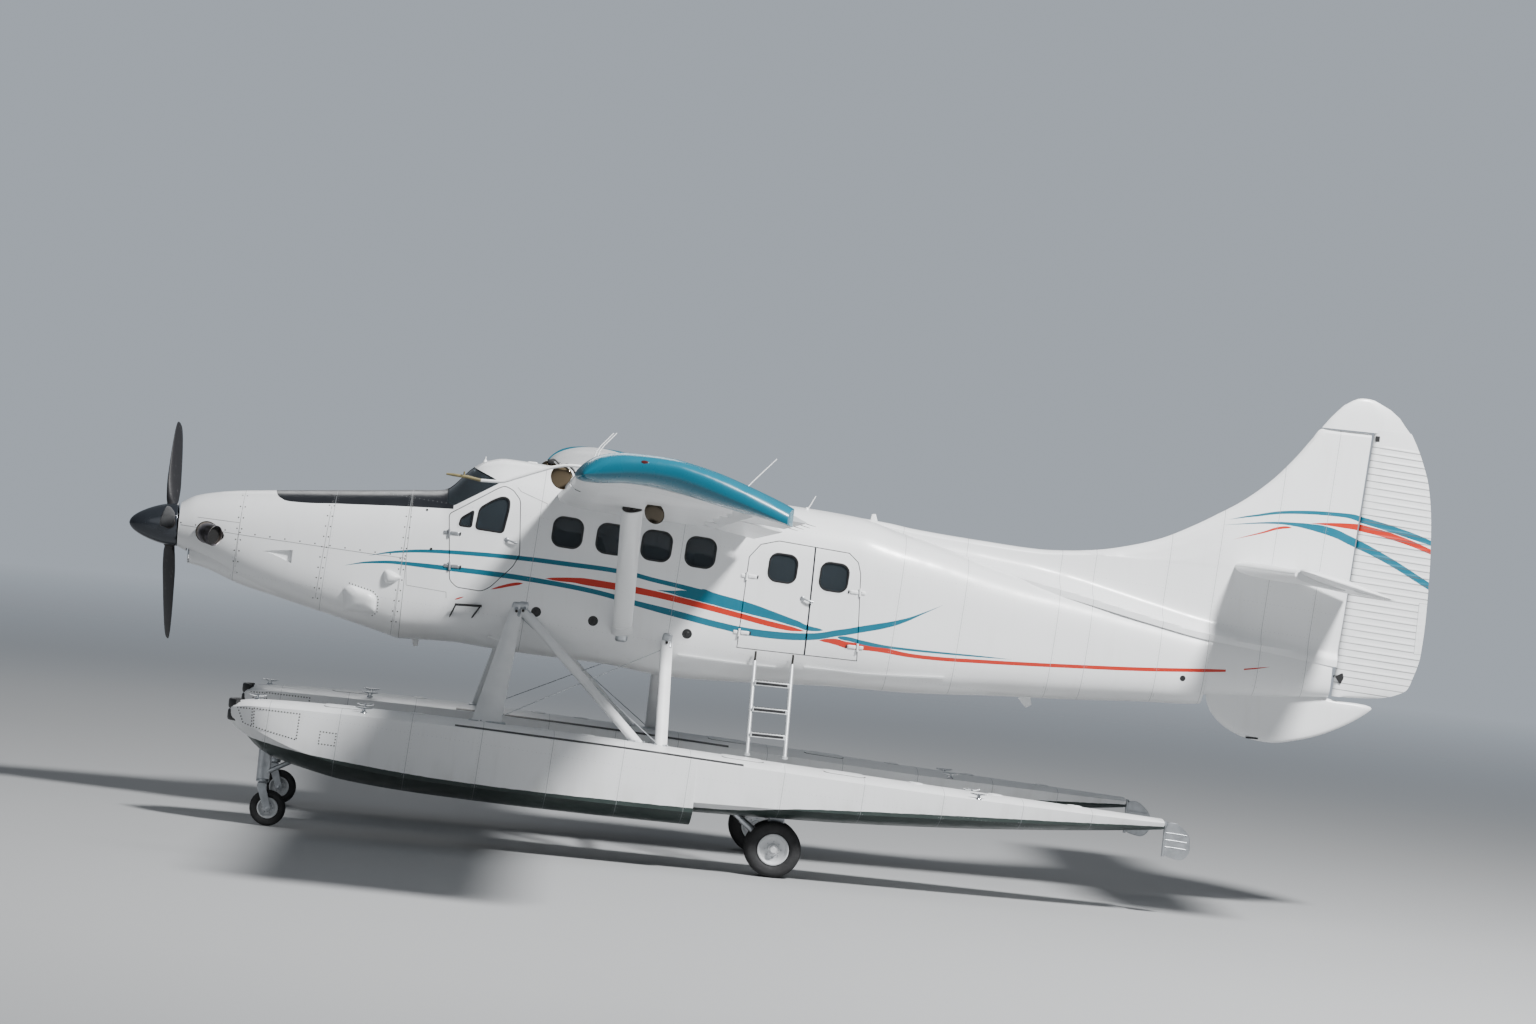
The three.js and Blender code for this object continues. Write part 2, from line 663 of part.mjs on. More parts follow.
// Rudder trailing edge: z, x
const RUDDER_BACK = [
  [2305, 5940], [2321, 6197], [2366, 6394], [2446, 6535], [2548, 6576], [2805, 6638], [3158, 6652],
  [3658, 6641], [4156, 6604], [4527, 6543], [4816, 6438], [5054, 6312],
];
// Rudder horn above the fin: z, front x, back x, half thickness
const HORN = [
  [5046, 5378, 6316, 48],
  [5137, 5443, 6232, 44],
  [5214, 5507, 6168, 38],
  [5290, 5577, 6065, 30],
  [5345, 5660, 5945, 18],
  [5380, 5740, 5850, 8],
];

function rudderRing(z, back) {
  const hinge = rudderHingeX(z);
  const share = THREE.MathUtils.clamp((5056 - z) / 2750, 0, 1);
  const nose = 46 + (RUDDER_NOSE - 46) * share;
  const ring = [];
  for (let k = 0; k <= 6; k += 1) {
    const turn = rad(80 + k * (200 / 6));
    ring.push(new THREE.Vector3(hinge + nose * Math.cos(turn), nose * Math.sin(turn), z));
  }
  ring.push(new THREE.Vector3(back, -5, z), new THREE.Vector3(back, 5, z));
  return ring;
}

function rudderBody() {
  const blade = loft([...RUDDER_BACK.map(([z, back]) => rudderRing(z, back)), rudderRing(5070, 6300)]);
  const horn = loft(HORN.map(([z, front, back, half]) => uprightRing(z, front, back, half, 0.15)));
  return blade.add(horn);
}

// Ventral fin outline: x, z
const VENTRAL = [
  [4480, 2300], [4457, 2181], [4526, 2013], [4678, 1877], [4890, 1786], [5144, 1758], [5293, 1771], [5637, 1863],
  [5927, 2005], [6139, 2152], [6225, 2250], [5700, 2262], [5650, 2330],
];
const VENTRAL_HALF = 28;

// Tailplane: span y, leading edge x, half thickness, z of the leading edge
const TAILPLANE = [
  [-5, 4610, 78, 3530],
  [2920, 4772, 58, 3542],
];
const HORN_Y = 2935; // where the elevator's horn starts

function tailplaneHalf() {
  return loft(TAILPLANE.map(([y, front, half, zFront]) => {
    const back = ELEVATOR_HINGE.x - 58;
    const steps = [[0, 0.2], [0.05, 0.55], [0.16, 0.85], [0.4, 1], [0.75, 0.92], [1, 0.72]];
    const point = (s, h) => new THREE.Vector3(front + s * (back - front), -y,
      zFront + s * (ELEVATOR_HINGE.z - zFront) + h * half);
    return [...steps.map(([s, h]) => point(s, h)), ...steps.reverse().map(([s, h]) => point(s, -h))];
  }));
}

// Elevator half: span y, trailing edge length behind the hinge, nose radius
const ELEVATOR = [
  [150, 470, 50],
  [1000, 465, 48],
  [2940, 415, 42],
  [TAIL_SPAN - 40, 396, 38],
];

function elevatorBody() {
  const angle = rad(ELEVATOR_DROOP);
  const place = (u, y, v) => new THREE.Vector3(
    ELEVATOR_HINGE.x + u * Math.cos(angle) + v * Math.sin(angle), -y,
    ELEVATOR_HINGE.z - u * Math.sin(angle) + v * Math.cos(angle));
  const blade = loft(ELEVATOR.map(([y, length, nose]) => {
    const ring = [];
    for (let k = 0; k <= 6; k += 1) {
      const turn = rad(80 + k * (200 / 6));
      ring.push(place(nose * Math.cos(turn), y, nose * Math.sin(turn)));
    }
    ring.push(place(length, y, -5), place(length, y, 5));
    return ring;
  }));
  const hornRows = [[HORN_Y, -540, 52], [3120, -540, 46], [3200, -500, 30], [TAIL_SPAN, -420, 12]];
  const horn = loft(hornRows.map(([y, front, half]) => { // span y, front end, half thickness
    const steps = [[0, 0.25], [0.06, 0.6], [0.2, 0.9], [0.45, 1], [0.7, 0.7], [1, 0.1]];
    const back = 396 + (y > 3150 ? -60 : 0);
    const upper = steps.map(([s, h]) => place(front + s * (back - front), y, h * half));
    const lower = steps.map(([s, h]) => place(front + s * (back - front), y, -h * half)).reverse();
    return [...upper, ...lower];
  }));
  const half = blade.add(horn);
  const tube = rod([ELEVATOR_HINGE.x, -170, ELEVATOR_HINGE.z], [ELEVATOR_HINGE.x, 170, ELEVATOR_HINGE.z], 34, 16);
  return half.add(mirrored(half)).add(tube);
}

// Floats

// Float: x, deck z, deck edge z, chine z, keel z, deck half width, chine half width
const FLOAT = [
  [-5378, 1130, 1120, 1085, 1060, 40, 40],
  [-5340, 1190, 1150, 1050, 975, 190, 170],
  [-5200, 1228, 1180, 1000, 880, 330, 300],
  [-5024, 1240, 1190, 925, 730, 410, 390],
  [-4637, 1250, 1198, 793, 613, 470, 470],
  [-4129, 1254, 1200, 690, 520, 500, 515],
  [-3400, 1250, 1196, 630, 470, 505, 530],
  [-2300, 1222, 1165, 605, 440, 505, 530],
  [-1300, 1190, 1130, 590, 430, 500, 525],
  [STEP_X, 1165, 1105, 588, 430, 495, 520],
  [STEP_X + 1, 1165, 1105, 690, 560, 495, 505],
  [500, 1110, 1050, 715, 590, 470, 470],
  [1700, 1055, 1000, 765, 650, 415, 400],
  [2800, 1010, 965, 820, 735, 335, 310],
  [3650, 975, 940, 870, 820, 240, 215],
  [3940, 962, 935, 890, 855, 200, 180],
];

function floatBody() {
  return loft(FLOAT.map(([x, deck, edge, chine, keel, deckHalf, chineHalf]) => {
    const half = [
      [0.5 * deckHalf, deck - 0.22 * (deck - edge)], [0.88 * deckHalf, deck - 0.62 * (deck - edge)],
      [deckHalf, edge], [Math.max(deckHalf, chineHalf) * 1.01, (edge + chine) / 2], [chineHalf, chine],
      [0.55 * chineHalf, chine + 0.62 * (keel - chine)],
    ];
    const right = half.map(([y, z]) => new THREE.Vector3(x, y - FLOAT_Y, z));
    const left = half.map(([y, z]) => new THREE.Vector3(x, -y - FLOAT_Y, z)).reverse();
    return [new THREE.Vector3(x, -FLOAT_Y, deck), ...right, new THREE.Vector3(x, -FLOAT_Y, keel), ...left];
  }));
}

const FLOAT_STRUTS = {
  front: { top: [-2665, -735, 2350], foot: [-2862, -1480, 1330], chordTop: 125, chordFoot: 300, thick: 95 },
  diagonal: { top: [-2600, -735, 2360], foot: [-1330, -1450, 1205], chordTop: 100, chordFoot: 100, thick: 70 },
  rear: { top: [-1130, -730, 2190], foot: [-1112, -1470, 1200], chordTop: 125, chordFoot: 125, thick: 80 },
};

const SPREADERS = { front: -2900, rear: -1112 }; // x of each bar
const SPREADER_Z = 1010;

// Landing gear

const MAIN_WHEEL = { x: 92, z: 280, radius: 280, width: 150, half: 132 }; // half: centreline to each tyre
const MAIN_AXLE = 26; // radius
const NOSE_WHEEL = { x: -4915, z: 180, radius: 180, width: 110 };
const NOSE_AXLE = 16; // radius
const CASTOR_X = -4990;
const CASTOR_Z = 430; // top of the fork, where the leg starts

function tyreProfile(width, radius, bore) {
  const w = width / 2;
  return [
    [-w * 0.72, bore], [-w * 0.72, radius * 0.56], [-w, radius * 0.74], [-w * 0.62, radius * 0.97],
    [0, radius], [w * 0.62, radius * 0.97], [w, radius * 0.74], [w * 0.72, radius * 0.56],
    [w * 0.72, bore], [-w * 0.72, bore],
  ];
}

// Twin tyres on one axle that turns in the leg.
function mainWheels() {
  const { x, z, radius, width, half } = MAIN_WHEEL;
  const reach = half + width / 2 + 12;
  let pair = rod([x, -FLOAT_Y - reach, z], [x, -FLOAT_Y + reach, z], MAIN_AXLE, 16);
  for (const way of [-1, 1]) {
    pair = pair.add(wheel(tyreProfile(width, radius, MAIN_AXLE - 6), x, -FLOAT_Y + way * half, z, 20));
  }
  return pair;
}

function mainGearLeg(float) {
  const { x, z } = MAIN_WHEEL;
  const post = slab([[x - 60, z - 60], [x + 60, z - 60], [x + 110, 800], [x - 70, 800]],
    -FLOAT_Y - 34, -FLOAT_Y + 34);
  const arm = rod([x - 420, -FLOAT_Y, 660], [x - 30, -FLOAT_Y, z + 40], 30, 10);
  const bore = rod([x, -FLOAT_Y - 60, z], [x, -FLOAT_Y + 60, z], MAIN_AXLE + 1, 16);
  return seat(post.add(arm).subtract(bore), float, [0, 0, -1]);
}

function noseGearLeg(float) {
  const leg = fairedBar([CASTOR_X, -FLOAT_Y, CASTOR_Z + GAP], [CASTOR_X, -FLOAT_Y, 900], 130, 130, 80);
  const brace = rod([CASTOR_X + 20, -FLOAT_Y, CASTOR_Z + 90], [CASTOR_X + 420, -FLOAT_Y, 760], 24, 10);
  return seat(leg.add(brace), float, [0, 0, -1]);
}

// Castoring fork with its axle
function noseFork() {
  const { x, z, width } = NOSE_WHEEL;
  const [inner, outer] = [width / 2 + 10, width / 2 + 28];
  const arm = [[CASTOR_X - 45, CASTOR_Z], [CASTOR_X - 45, CASTOR_Z - 50], [x - 34, z - 20], [x + 20, z - 34],
    [x + 34, z + 10], [CASTOR_X + 45, CASTOR_Z - 50], [CASTOR_X + 45, CASTOR_Z]];
  let fork = block(CASTOR_X - 45, CASTOR_X + 45, -FLOAT_Y - outer, -FLOAT_Y + outer, CASTOR_Z - 30, CASTOR_Z);
  for (const way of [-1, 1]) {
    const [a, b] = [way * inner, way * outer].sort((p, q) => p - q);
    fork = fork.add(slab(arm, -FLOAT_Y + a, -FLOAT_Y + b));
  }
  return fork.add(rod([x, -FLOAT_Y - outer, z], [x, -FLOAT_Y + outer, z], NOSE_AXLE, 20));
}

function noseWheel() {
  const { x, z, radius, width } = NOSE_WHEEL;
  return wheel(tyreProfile(width, radius, NOSE_AXLE + 0.6), x, -FLOAT_Y, z, 20);
}

const STERN_X = FLOAT[FLOAT.length - 1][0];
const WATER_RUDDER_X = STERN_X + 42;

function waterRudder() {
  const plate = slab([[WATER_RUDDER_X, 935], [WATER_RUDDER_X + 120, 935], [WATER_RUDDER_X + 255, 820],
    [WATER_RUDDER_X + 270, 640], [WATER_RUDDER_X + 190, 560], [WATER_RUDDER_X, 600]],
  -FLOAT_Y - 9, -FLOAT_Y + 9);
  return plate.add(rod([WATER_RUDDER_X, -FLOAT_Y, 590], [WATER_RUDDER_X, -FLOAT_Y, 945], 16));
}

// Stern bracket that carries the water rudder
function sternBracket() {
  return block(STERN_X - 20, WATER_RUDDER_X - 16.5, -FLOAT_Y - 45, -FLOAT_Y + 45, 862, 940);
}

// Ladder from the door sill to the port float
const LADDER = { rails: [-229, 150], top: [-730, 2150], foot: [-1150, 1000] }; // x of each rail, [y, z] of the ends
const LADDER_TREADS = [1870, 1610, 1360]; // z of each tread
const TREAD_HALF = { depth: 45, height: 24 };

function ladder(float) {
  const { rails, top, foot } = LADDER;
  let body = null;
  for (const x of rails) {
    const rail = rod([x, ...top], [x, ...foot], 21, 12);
    body = body ? body.add(rail) : rail;
  }
  for (const z of LADDER_TREADS) {
    const y = top[0] + ((top[1] - z) / (top[1] - foot[1])) * (foot[0] - top[0]);
    body = body.add(block(rails[0], rails[1], y - TREAD_HALF.depth, y + TREAD_HALF.depth,
      z - TREAD_HALF.height, z + TREAD_HALF.height));
  }
  return seat(body.subtract(grownCabin), float, [0, 0, 1]);
}

// Engine and propeller

const SHAFT_START = 80.4; // behind the hub centre
// Engine block: distance behind the hub centre, radius
const ENGINE = [
  [SHAFT_START, 0], [SHAFT_START, 60], [280, 60], [280, 150], [500, 150], [540, 225], [1500, 235], [1560, 205],
  [2100, 205], [2140, 250], [2440, 250], [2440, 0],
];
// Spinner: distance behind the hub centre, radius
const SPINNER = [
  [-415, 0], [-404, 32], [-360, 80], [-280, 128], [-180, 170], [-80, 199], [10, 214], [74, 219], [74, 0],
];
const HUB_RADIUS = 120;
const HUB_BACK = 80;

// Blade: radius from the hub, chord, thickness, angle from the plane of rotation
const BLADE = [
  [90, 104, 104, 62],
  [235, 104, 100, 60],
  [330, 150, 60, 52],
  [560, 196, 36, 42],
  [850, 200, 26, 33],
  [1120, 172, 18, 27],
  [1235, 130, 13, 24],
  [PROP_RADIUS, 60, 9, 23],
];

const BLADE_SIDES = 10;

function onThrustLine(body) {
  return body.rotate([0, -THRUST_TILT, 0]).translate([HUB.x, 0, HUB.z]);
}

function blades() {
  let body = turned([[-70, 0], [-70, HUB_RADIUS], [HUB_BACK, HUB_RADIUS], [HUB_BACK, 0]], 16);
  const blade = loft(BLADE.map(([radius, chord, thick, pitch]) => {
    const ring = [];
    for (let k = 0; k < BLADE_SIDES; k += 1) {
      const angle = (2 * Math.PI * k) / BLADE_SIDES;
      const [u, v] = [(chord / 2) * Math.cos(angle), (thick / 2) * Math.sin(angle)];
      const turn = rad(pitch);
      ring.push(new THREE.Vector3(u * Math.sin(turn) - v * Math.cos(turn),
        u * Math.cos(turn) + v * Math.sin(turn), radius));
    }
    return ring;
  }));
  for (const azimuth of BLADE_AZIMUTHS) body = body.add(blade.rotate([-azimuth, 0, 0]));
  return body;
}

function spinner() {
  const hubRoom = turned([[-70.4, 0], [-70.4, HUB_RADIUS + 1.5], [HUB_BACK, HUB_RADIUS + 1.5], [HUB_BACK, 0]], 16);
  let body = turned(SPINNER, 20).subtract(hubRoom);
  for (const azimuth of BLADE_AZIMUTHS) {
    body = body.subtract(rod([0, 0, 80], [0, 0, 300], 62, 10).rotate([-azimuth, 0, 0]));
  }
  return body;
}

const EXHAUST = [[-5850, -120, 2802], [-5850, -250, 2798], [-5840, -340, 2790], [-5805, -410, 2780], [-5755, -455, 2770]];
const EXHAUST_RADIUS = 105;

function exhaust(engine) {
  const bore = pipe([...EXHAUST.slice(2), [-5720, -487, 2763]], EXHAUST_RADIUS - 9);
  return seat(pipe(EXHAUST, EXHAUST_RADIUS).subtract(bore), engine, [0, -1, 0]);
}

const COWL_WALL = 15;

function cowling() {
  const inner = (table, n) => table.map((row) => bodyRing(row[0], row[1] - COWL_WALL, row[2] - COWL_WALL,
    row[3] + COWL_WALL, n ?? row[4], n ? 20 : BODY_SIDES));
  const last = COWL[COWL.length - 1];
  const mainRoom = loft([...inner(COWL.filter((row, i) => i % 2)), ...inner([[last[0] + 50, ...last.slice(1)]])]);
  const chinRoom = loft(inner([[-6040, ...CHIN[0].slice(1)], ...CHIN.slice(1)], 3));
  const nose = onThrustLine(rod([60, 0, 0], [300, 0, 0], 150, 24));
  let body = cowlBody().subtract(mainRoom).subtract(chinRoom).subtract(nose);
  const port = pipe(EXHAUST, EXHAUST_RADIUS + 6);
  return body.subtract(port).subtract(mirrored(port));
}

// Cabin fittings

const SEAT = [ // seat outline from its front lower corner: x, z
  [40, 0], [360, 0], [360, 260], [470, 300], [560, 900], [480, 930], [400, 420], [0, 400], [0, 300], [60, 280],
];
const PILOT_SEAT_X = -3010;
const PASSENGER_ROWS = [-2200, -1500, -800];
const SEAT_HALF = 210;
const SEAT_RISE = 14; // thickness of the floor rails

function seatsAt(rows, y) {
  const floor = FLOOR_Z + GAP;
  let body = block(rows[0] + 40, rows[rows.length - 1] + 400, -y - 60, y + 60, floor, floor + SEAT_RISE);
  for (const x of rows) {
    for (const side of [-1, 1]) {
      const outline = SEAT.map(([u, v]) => [x + u, floor + v]);
      body = body.add(slab(outline, side * y - SEAT_HALF, side * y + SEAT_HALF));
    }
  }
  return body;
}

function instrumentPanel() {
  const outline = [[-3800, 3330], [-3800, 3260], [-3440, 3230], [-3400, 2800], [-3350, 2800], [-3360, 3290]];
  return slab(outline, -ROOM_SPAN, ROOM_SPAN).intersect(cabinRoom(GAP)).intersect(
    block(-4000, -3000, -610, 610, 2000, 4000));
}

// Assembly

const aircraft = new THREE.Group();

function add(name, body, colour, roughness = 0.5, metalness = 0) {
  const material = new THREE.MeshStandardMaterial({ color: colour, roughness, metalness });
  const mesh = new THREE.Mesh(geometryOf(body), material);
  mesh.name = name;
  aircraft.add(mesh);
}

function addPair(name, body, ...finish) {
  add(`${name}_left`, body, ...finish);
  add(`${name}_right`, mirrored(body), ...finish);
}

const wall = cabinBody().subtract(cabinRoom());
const lugs = { pilot: doorLugs(DOOR_HINGES.pilot), front: doorLugs(DOOR_HINGES.front), rear: doorLugs(DOOR_HINGES.rear) };
let shell = fuselageShell(wall).add(lugs.rear.shell);
for (const door of ['pilot', 'front']) shell = shell.add(lugs[door].shell).add(mirrored(lugs[door].shell));
add('fuselage_shell', shell, WHITE, 0.35);
add('tail_cone', tailBody().subtract(block(0, CABIN_REAR_X + GAP, -ROOM_SPAN, ROOM_SPAN, 1500, 4000)), WHITE, 0.35);

const pilotDoor = doorPanel(wall, PILOT_DOOR, -1, [QUARTER_WINDOW, SIDE_WINDOW]).add(lugs.pilot.door);
addPair('pilot_door', pilotDoor, WHITE, 0.35);
const doorGlass = (which) => roundedSquare(...DOOR_WINDOWS[which], DOOR_WINDOW_SIDE, WINDOW_CORNER);
const frontLeaf = doorPanel(wall, FRONT_LEAF, -1, [doorGlass('front')]).add(lugs.front.door);
add('cabin_door_front', frontLeaf, WHITE, 0.35);
add('cabin_door_rear', doorPanel(wall, REAR_LEAF, -1, [doorGlass('rear')]).add(lugs.rear.door), WHITE, 0.35);
add('cabin_door_right', mirrored(frontLeaf), WHITE, 0.35);
add('instrument_panel', instrumentPanel(), DARK, 0.8);
add('pilot_seats', seatsAt([PILOT_SEAT_X], 330), SEAT_COLOUR, 0.85);
add('passenger_seats', seatsAt(PASSENGER_ROWS, 380), SEAT_COLOUR, 0.85);

const engine = onThrustLine(turned(ENGINE, 18)).subtract(
  block(FIREWALL_X - GAP, FIREWALL_X + 300, -500, 500, 2000, 4000));
add('engine_cowling', cowling(), WHITE, 0.35);
add('engine_block', engine, GREY, 0.6, 0.6);
addPair('exhaust', exhaust(engine), STEEL, 0.45, 0.8);
add('propeller_blades', onThrustLine(blades()), BLACK, 0.45);
add('spinner', onThrustLine(spinner()), DARK, 0.3);

const tailHalf = tailplaneHalf();
const tailplane = tailHalf.add(mirrored(tailHalf));
const rudderAxis = (z) => [rudderHingeX(z), 0, z];
const [fin, rudder] = hang(finBody(tailplane), rudderBody(), rudderAxis, RUDDER_HINGES, true);
add('fin', fin, WHITE, 0.35);
add('tailplane', tailplane, WHITE, 0.35);
add('ventral_fin', slab(VENTRAL, -VENTRAL_HALF, VENTRAL_HALF).subtract(grownTail), WHITE, 0.35);
add('rudder', rudder, WHITE, 0.35);
add('elevator', elevatorBody(), WHITE, 0.35);

const wingAxis = (y) => hingePoint(-y).toArray();
const stationsLeft = (stations) => stations.map((y) => -y);
const [flapped, flap] = hang(wingBody(), trailingSurface(FLAP_SPAN, FLAP_DROOP), wingAxis,
  stationsLeft(FLAP_HINGES));
const [wing, aileron] = hang(flapped, trailingSurface(AILERON_SPAN, AILERON_DROOP), wingAxis,
  stationsLeft(AILERON_HINGES));
addPair('wing', wing, WHITE, 0.35);
addPair('wing_tip', wingTip(), TEAL, 0.35);
addPair('flap', flap, WHITE, 0.4);
addPair('aileron', aileron, WHITE, 0.4);
const WING_STRUT = { foot: [-1590, -700, 2218], head: [-1742, -4600, 3610], chord: 200, thick: 78 };
const wingStrut = fairedBar(WING_STRUT.foot, WING_STRUT.head, WING_STRUT.chord, WING_STRUT.chord, WING_STRUT.thick);
addPair('wing_strut', seat(wingStrut.subtract(grownCabin), wing, [0, 0, -1]), WHITE, 0.4);

const float = floatBody().add(sternBracket());
addPair('float', float, WHITE, 0.4);
const strutBar = ({ top, foot, chordTop, chordFoot, thick }) => fairedBar(top, foot, chordTop, chordFoot, thick);
for (const [name, strut] of Object.entries(FLOAT_STRUTS)) {
  let bar = seat(strutBar(strut).subtract(grownCabin), float, [0, 0, 1]);
  if (name === 'diagonal') bar = seat(bar, strutBar(FLOAT_STRUTS.front), [1, 0, 0]);
  addPair(`float_strut_${name}`, bar, WHITE, 0.4);
}
for (const [name, x] of Object.entries(SPREADERS)) {
  let bar = rod([x, -FLOAT_Y, SPREADER_Z], [x, FLOAT_Y, SPREADER_Z], 52, 14);
  bar = seat(bar, float, [0, 1, 0]);
  bar = seat(bar, mirrored(float), [0, -1, 0]);
  add(`spreader_bar_${name}`, bar, WHITE, 0.4);
}
addPair('main_gear_leg', mainGearLeg(float), GREY, 0.5, 0.5);
addPair('main_wheels', mainWheels(), RUBBER, 0.85);
addPair('nose_gear_leg', noseGearLeg(float), GREY, 0.5, 0.5);
addPair('nose_fork', noseFork(), GREY, 0.5, 0.5);
addPair('nose_wheel', noseWheel(), RUBBER, 0.85);
addPair('water_rudder', waterRudder(), GREY, 0.5, 0.3);
add('boarding_ladder', ladder(float), GREY, 0.5, 0.6);

export default aircraft;
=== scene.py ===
"""Looks of the floatplane: smooth skins, paint, glass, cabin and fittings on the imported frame."""

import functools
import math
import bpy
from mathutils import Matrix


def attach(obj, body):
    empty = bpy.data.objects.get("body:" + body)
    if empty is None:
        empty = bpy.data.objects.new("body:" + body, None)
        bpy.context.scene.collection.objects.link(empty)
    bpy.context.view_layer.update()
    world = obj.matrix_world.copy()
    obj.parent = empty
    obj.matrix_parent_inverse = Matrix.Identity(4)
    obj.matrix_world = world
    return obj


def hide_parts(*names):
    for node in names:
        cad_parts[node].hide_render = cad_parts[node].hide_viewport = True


bl_info = {
    "name": "Floatplane dressing",
    "version": (1, 0, 0),
    "blender": (4, 5, 0),
    "location": "View3D > Sidebar > Floatplane",
    "description": "Builds the painted skins, glass, cabin and fittings of a turbine floatplane",
    "category": "Object",
}

import bmesh
import bpy
import numpy as np
from bpy.props import FloatProperty, FloatVectorProperty, IntProperty, PointerProperty
from mathutils import Matrix, Vector

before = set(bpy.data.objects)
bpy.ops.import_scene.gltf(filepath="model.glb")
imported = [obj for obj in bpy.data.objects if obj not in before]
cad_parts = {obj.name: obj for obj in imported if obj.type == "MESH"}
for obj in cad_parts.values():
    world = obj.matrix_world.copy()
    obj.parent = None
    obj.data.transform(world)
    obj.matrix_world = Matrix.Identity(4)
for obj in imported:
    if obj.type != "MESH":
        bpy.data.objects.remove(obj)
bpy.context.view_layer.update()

AIRFRAME = "airframe"
PORT, STARBOARD = -1, 1
SIDES = (("left", PORT), ("right", STARBOARD))

# Body lines, in metres: x, half width, top z, bottom z, corner exponent
COWL = [(-6.143, 0.225, 3.064, 2.615, 2.0), (-6.015, 0.275, 3.142, 2.56, 2.1), (-5.853, 0.33, 3.188, 2.5, 2.2),
    (-5.652, 0.385, 3.228, 2.425, 2.4), (-5.466, 0.43, 3.253, 2.34, 2.6), (-5.116, 0.505, 3.292, 2.23, 2.9),
    (-4.64, 0.59, 3.342, 2.112, 3.2), (-4.202, 0.65, 3.388, 2.012, 3.5), (-3.944, 0.68, 3.416, 1.951, 3.7)]
CABIN = [(-3.818, 0.69, 3.43, 1.922, 3.8), (-3.513, 0.725, 3.465, 1.935, 3.8), (-3.233, 0.745, 3.727, 1.94, 3.8),
    (-3.103, 0.755, 3.802, 1.932, 3.8), (-2.923, 0.77, 3.842, 1.918, 3.8), (-2.512, 0.785, 3.823, 1.897, 3.8),
    (-1.758, 0.79, 3.777, 1.878, 3.8), (-1.004, 0.79, 3.732, 1.812, 3.8), (-0.24, 0.79, 3.685, 1.836, 3.8),
    (0.702, 0.785, 3.625, 1.886, 3.8), (1.142, 0.75, 3.52, 1.891, 3.8), (1.5, 0.7, 3.438, 1.903, 3.8)]
TAIL = [(2.242, 0.6, 3.25, 1.953, 3.5), (3.042, 0.49, 3.105, 1.995, 3.2), (3.742, 0.4, 2.965, 2.046, 3.0),
    (4.397, 0.32, 2.85, 2.087, 2.8), (4.417, 0.318, 2.848, 2.181, 2.8), (5.042, 0.225, 2.783, 2.23, 2.6),
    (5.722, 0.12, 2.708, 2.285, 2.4)]
SKIN = COWL + CABIN + TAIL
CHIN = [  # inlet under the cowling: x, half width, top z, bottom z, corner exponent
    (-6.01, 0.165, 2.65, 2.458, 3.0),
    (-5.853, 0.205, 2.64, 2.428, 3.0),
    (-5.466, 0.26, 2.6, 2.296, 3.0),
    (-5.116, 0.31, 2.5, 2.217, 3.0),
    (-4.64, 0.34, 2.3, 2.109, 3.0),
]
FIREWALL_X, CABIN_REAR_X = -3.818, 1.5
FLOOR_Z = 2.15
RUDDER_PITCH = 0.07  # between the beads of the rudder and the elevator
DATUM_TILT = math.radians(3)  # the cabin line is nose up when parked

# Openings in the body side, as [x, z] outlines
CABIN_WINDOWS = [(-2.236, 3.175), (-1.79, 3.155), (-1.334, 3.135), (-0.886, 3.115)]
DOOR_WINDOWS = {"front": (-0.046, 3.042), "rear": (0.478, 3.005)}
PILOT_DOOR = [(-3.37, 2.577), (-3.292, 2.51), (-3.038, 2.496), (-2.953, 2.545), (-2.745, 2.778), (-2.688, 2.901),
    (-2.736, 3.451), (-2.819, 3.545), (-2.91, 3.58), (-2.98, 3.545), (-3.441, 3.24)]
QUARTER_WINDOW = [(-3.332, 3.129), (-3.316, 3.212), (-3.191, 3.302), (-3.202, 3.124)]
SIDE_WINDOW = [(-3.165, 3.114), (-3.14, 3.33), (-3.01, 3.425), (-2.914, 3.47), (-2.844, 3.445), (-2.841, 3.349),
    (-2.879, 3.1)]
WINDSHIELD = [(-3.468, 3.345), (-3.4, 3.322), (-2.96, 3.6), (-3.024, 3.641), (-3.235, 3.727), (-3.3, 3.775),
    (-3.48, 3.56)]
SEAM_X = 0.262  # where the two cabin door leaves meet
FRONT_LEAF = [(-0.428, 2.197), (SEAM_X, 2.19), (SEAM_X, 3.29), (-0.11, 3.316), (-0.293, 3.262), (-0.399, 3.125)]
REAR_LEAF = [(SEAM_X, 2.19), (0.8, 2.185), (0.745, 3.068), (0.711, 3.179), (0.61, 3.266), (SEAM_X, 3.29)]

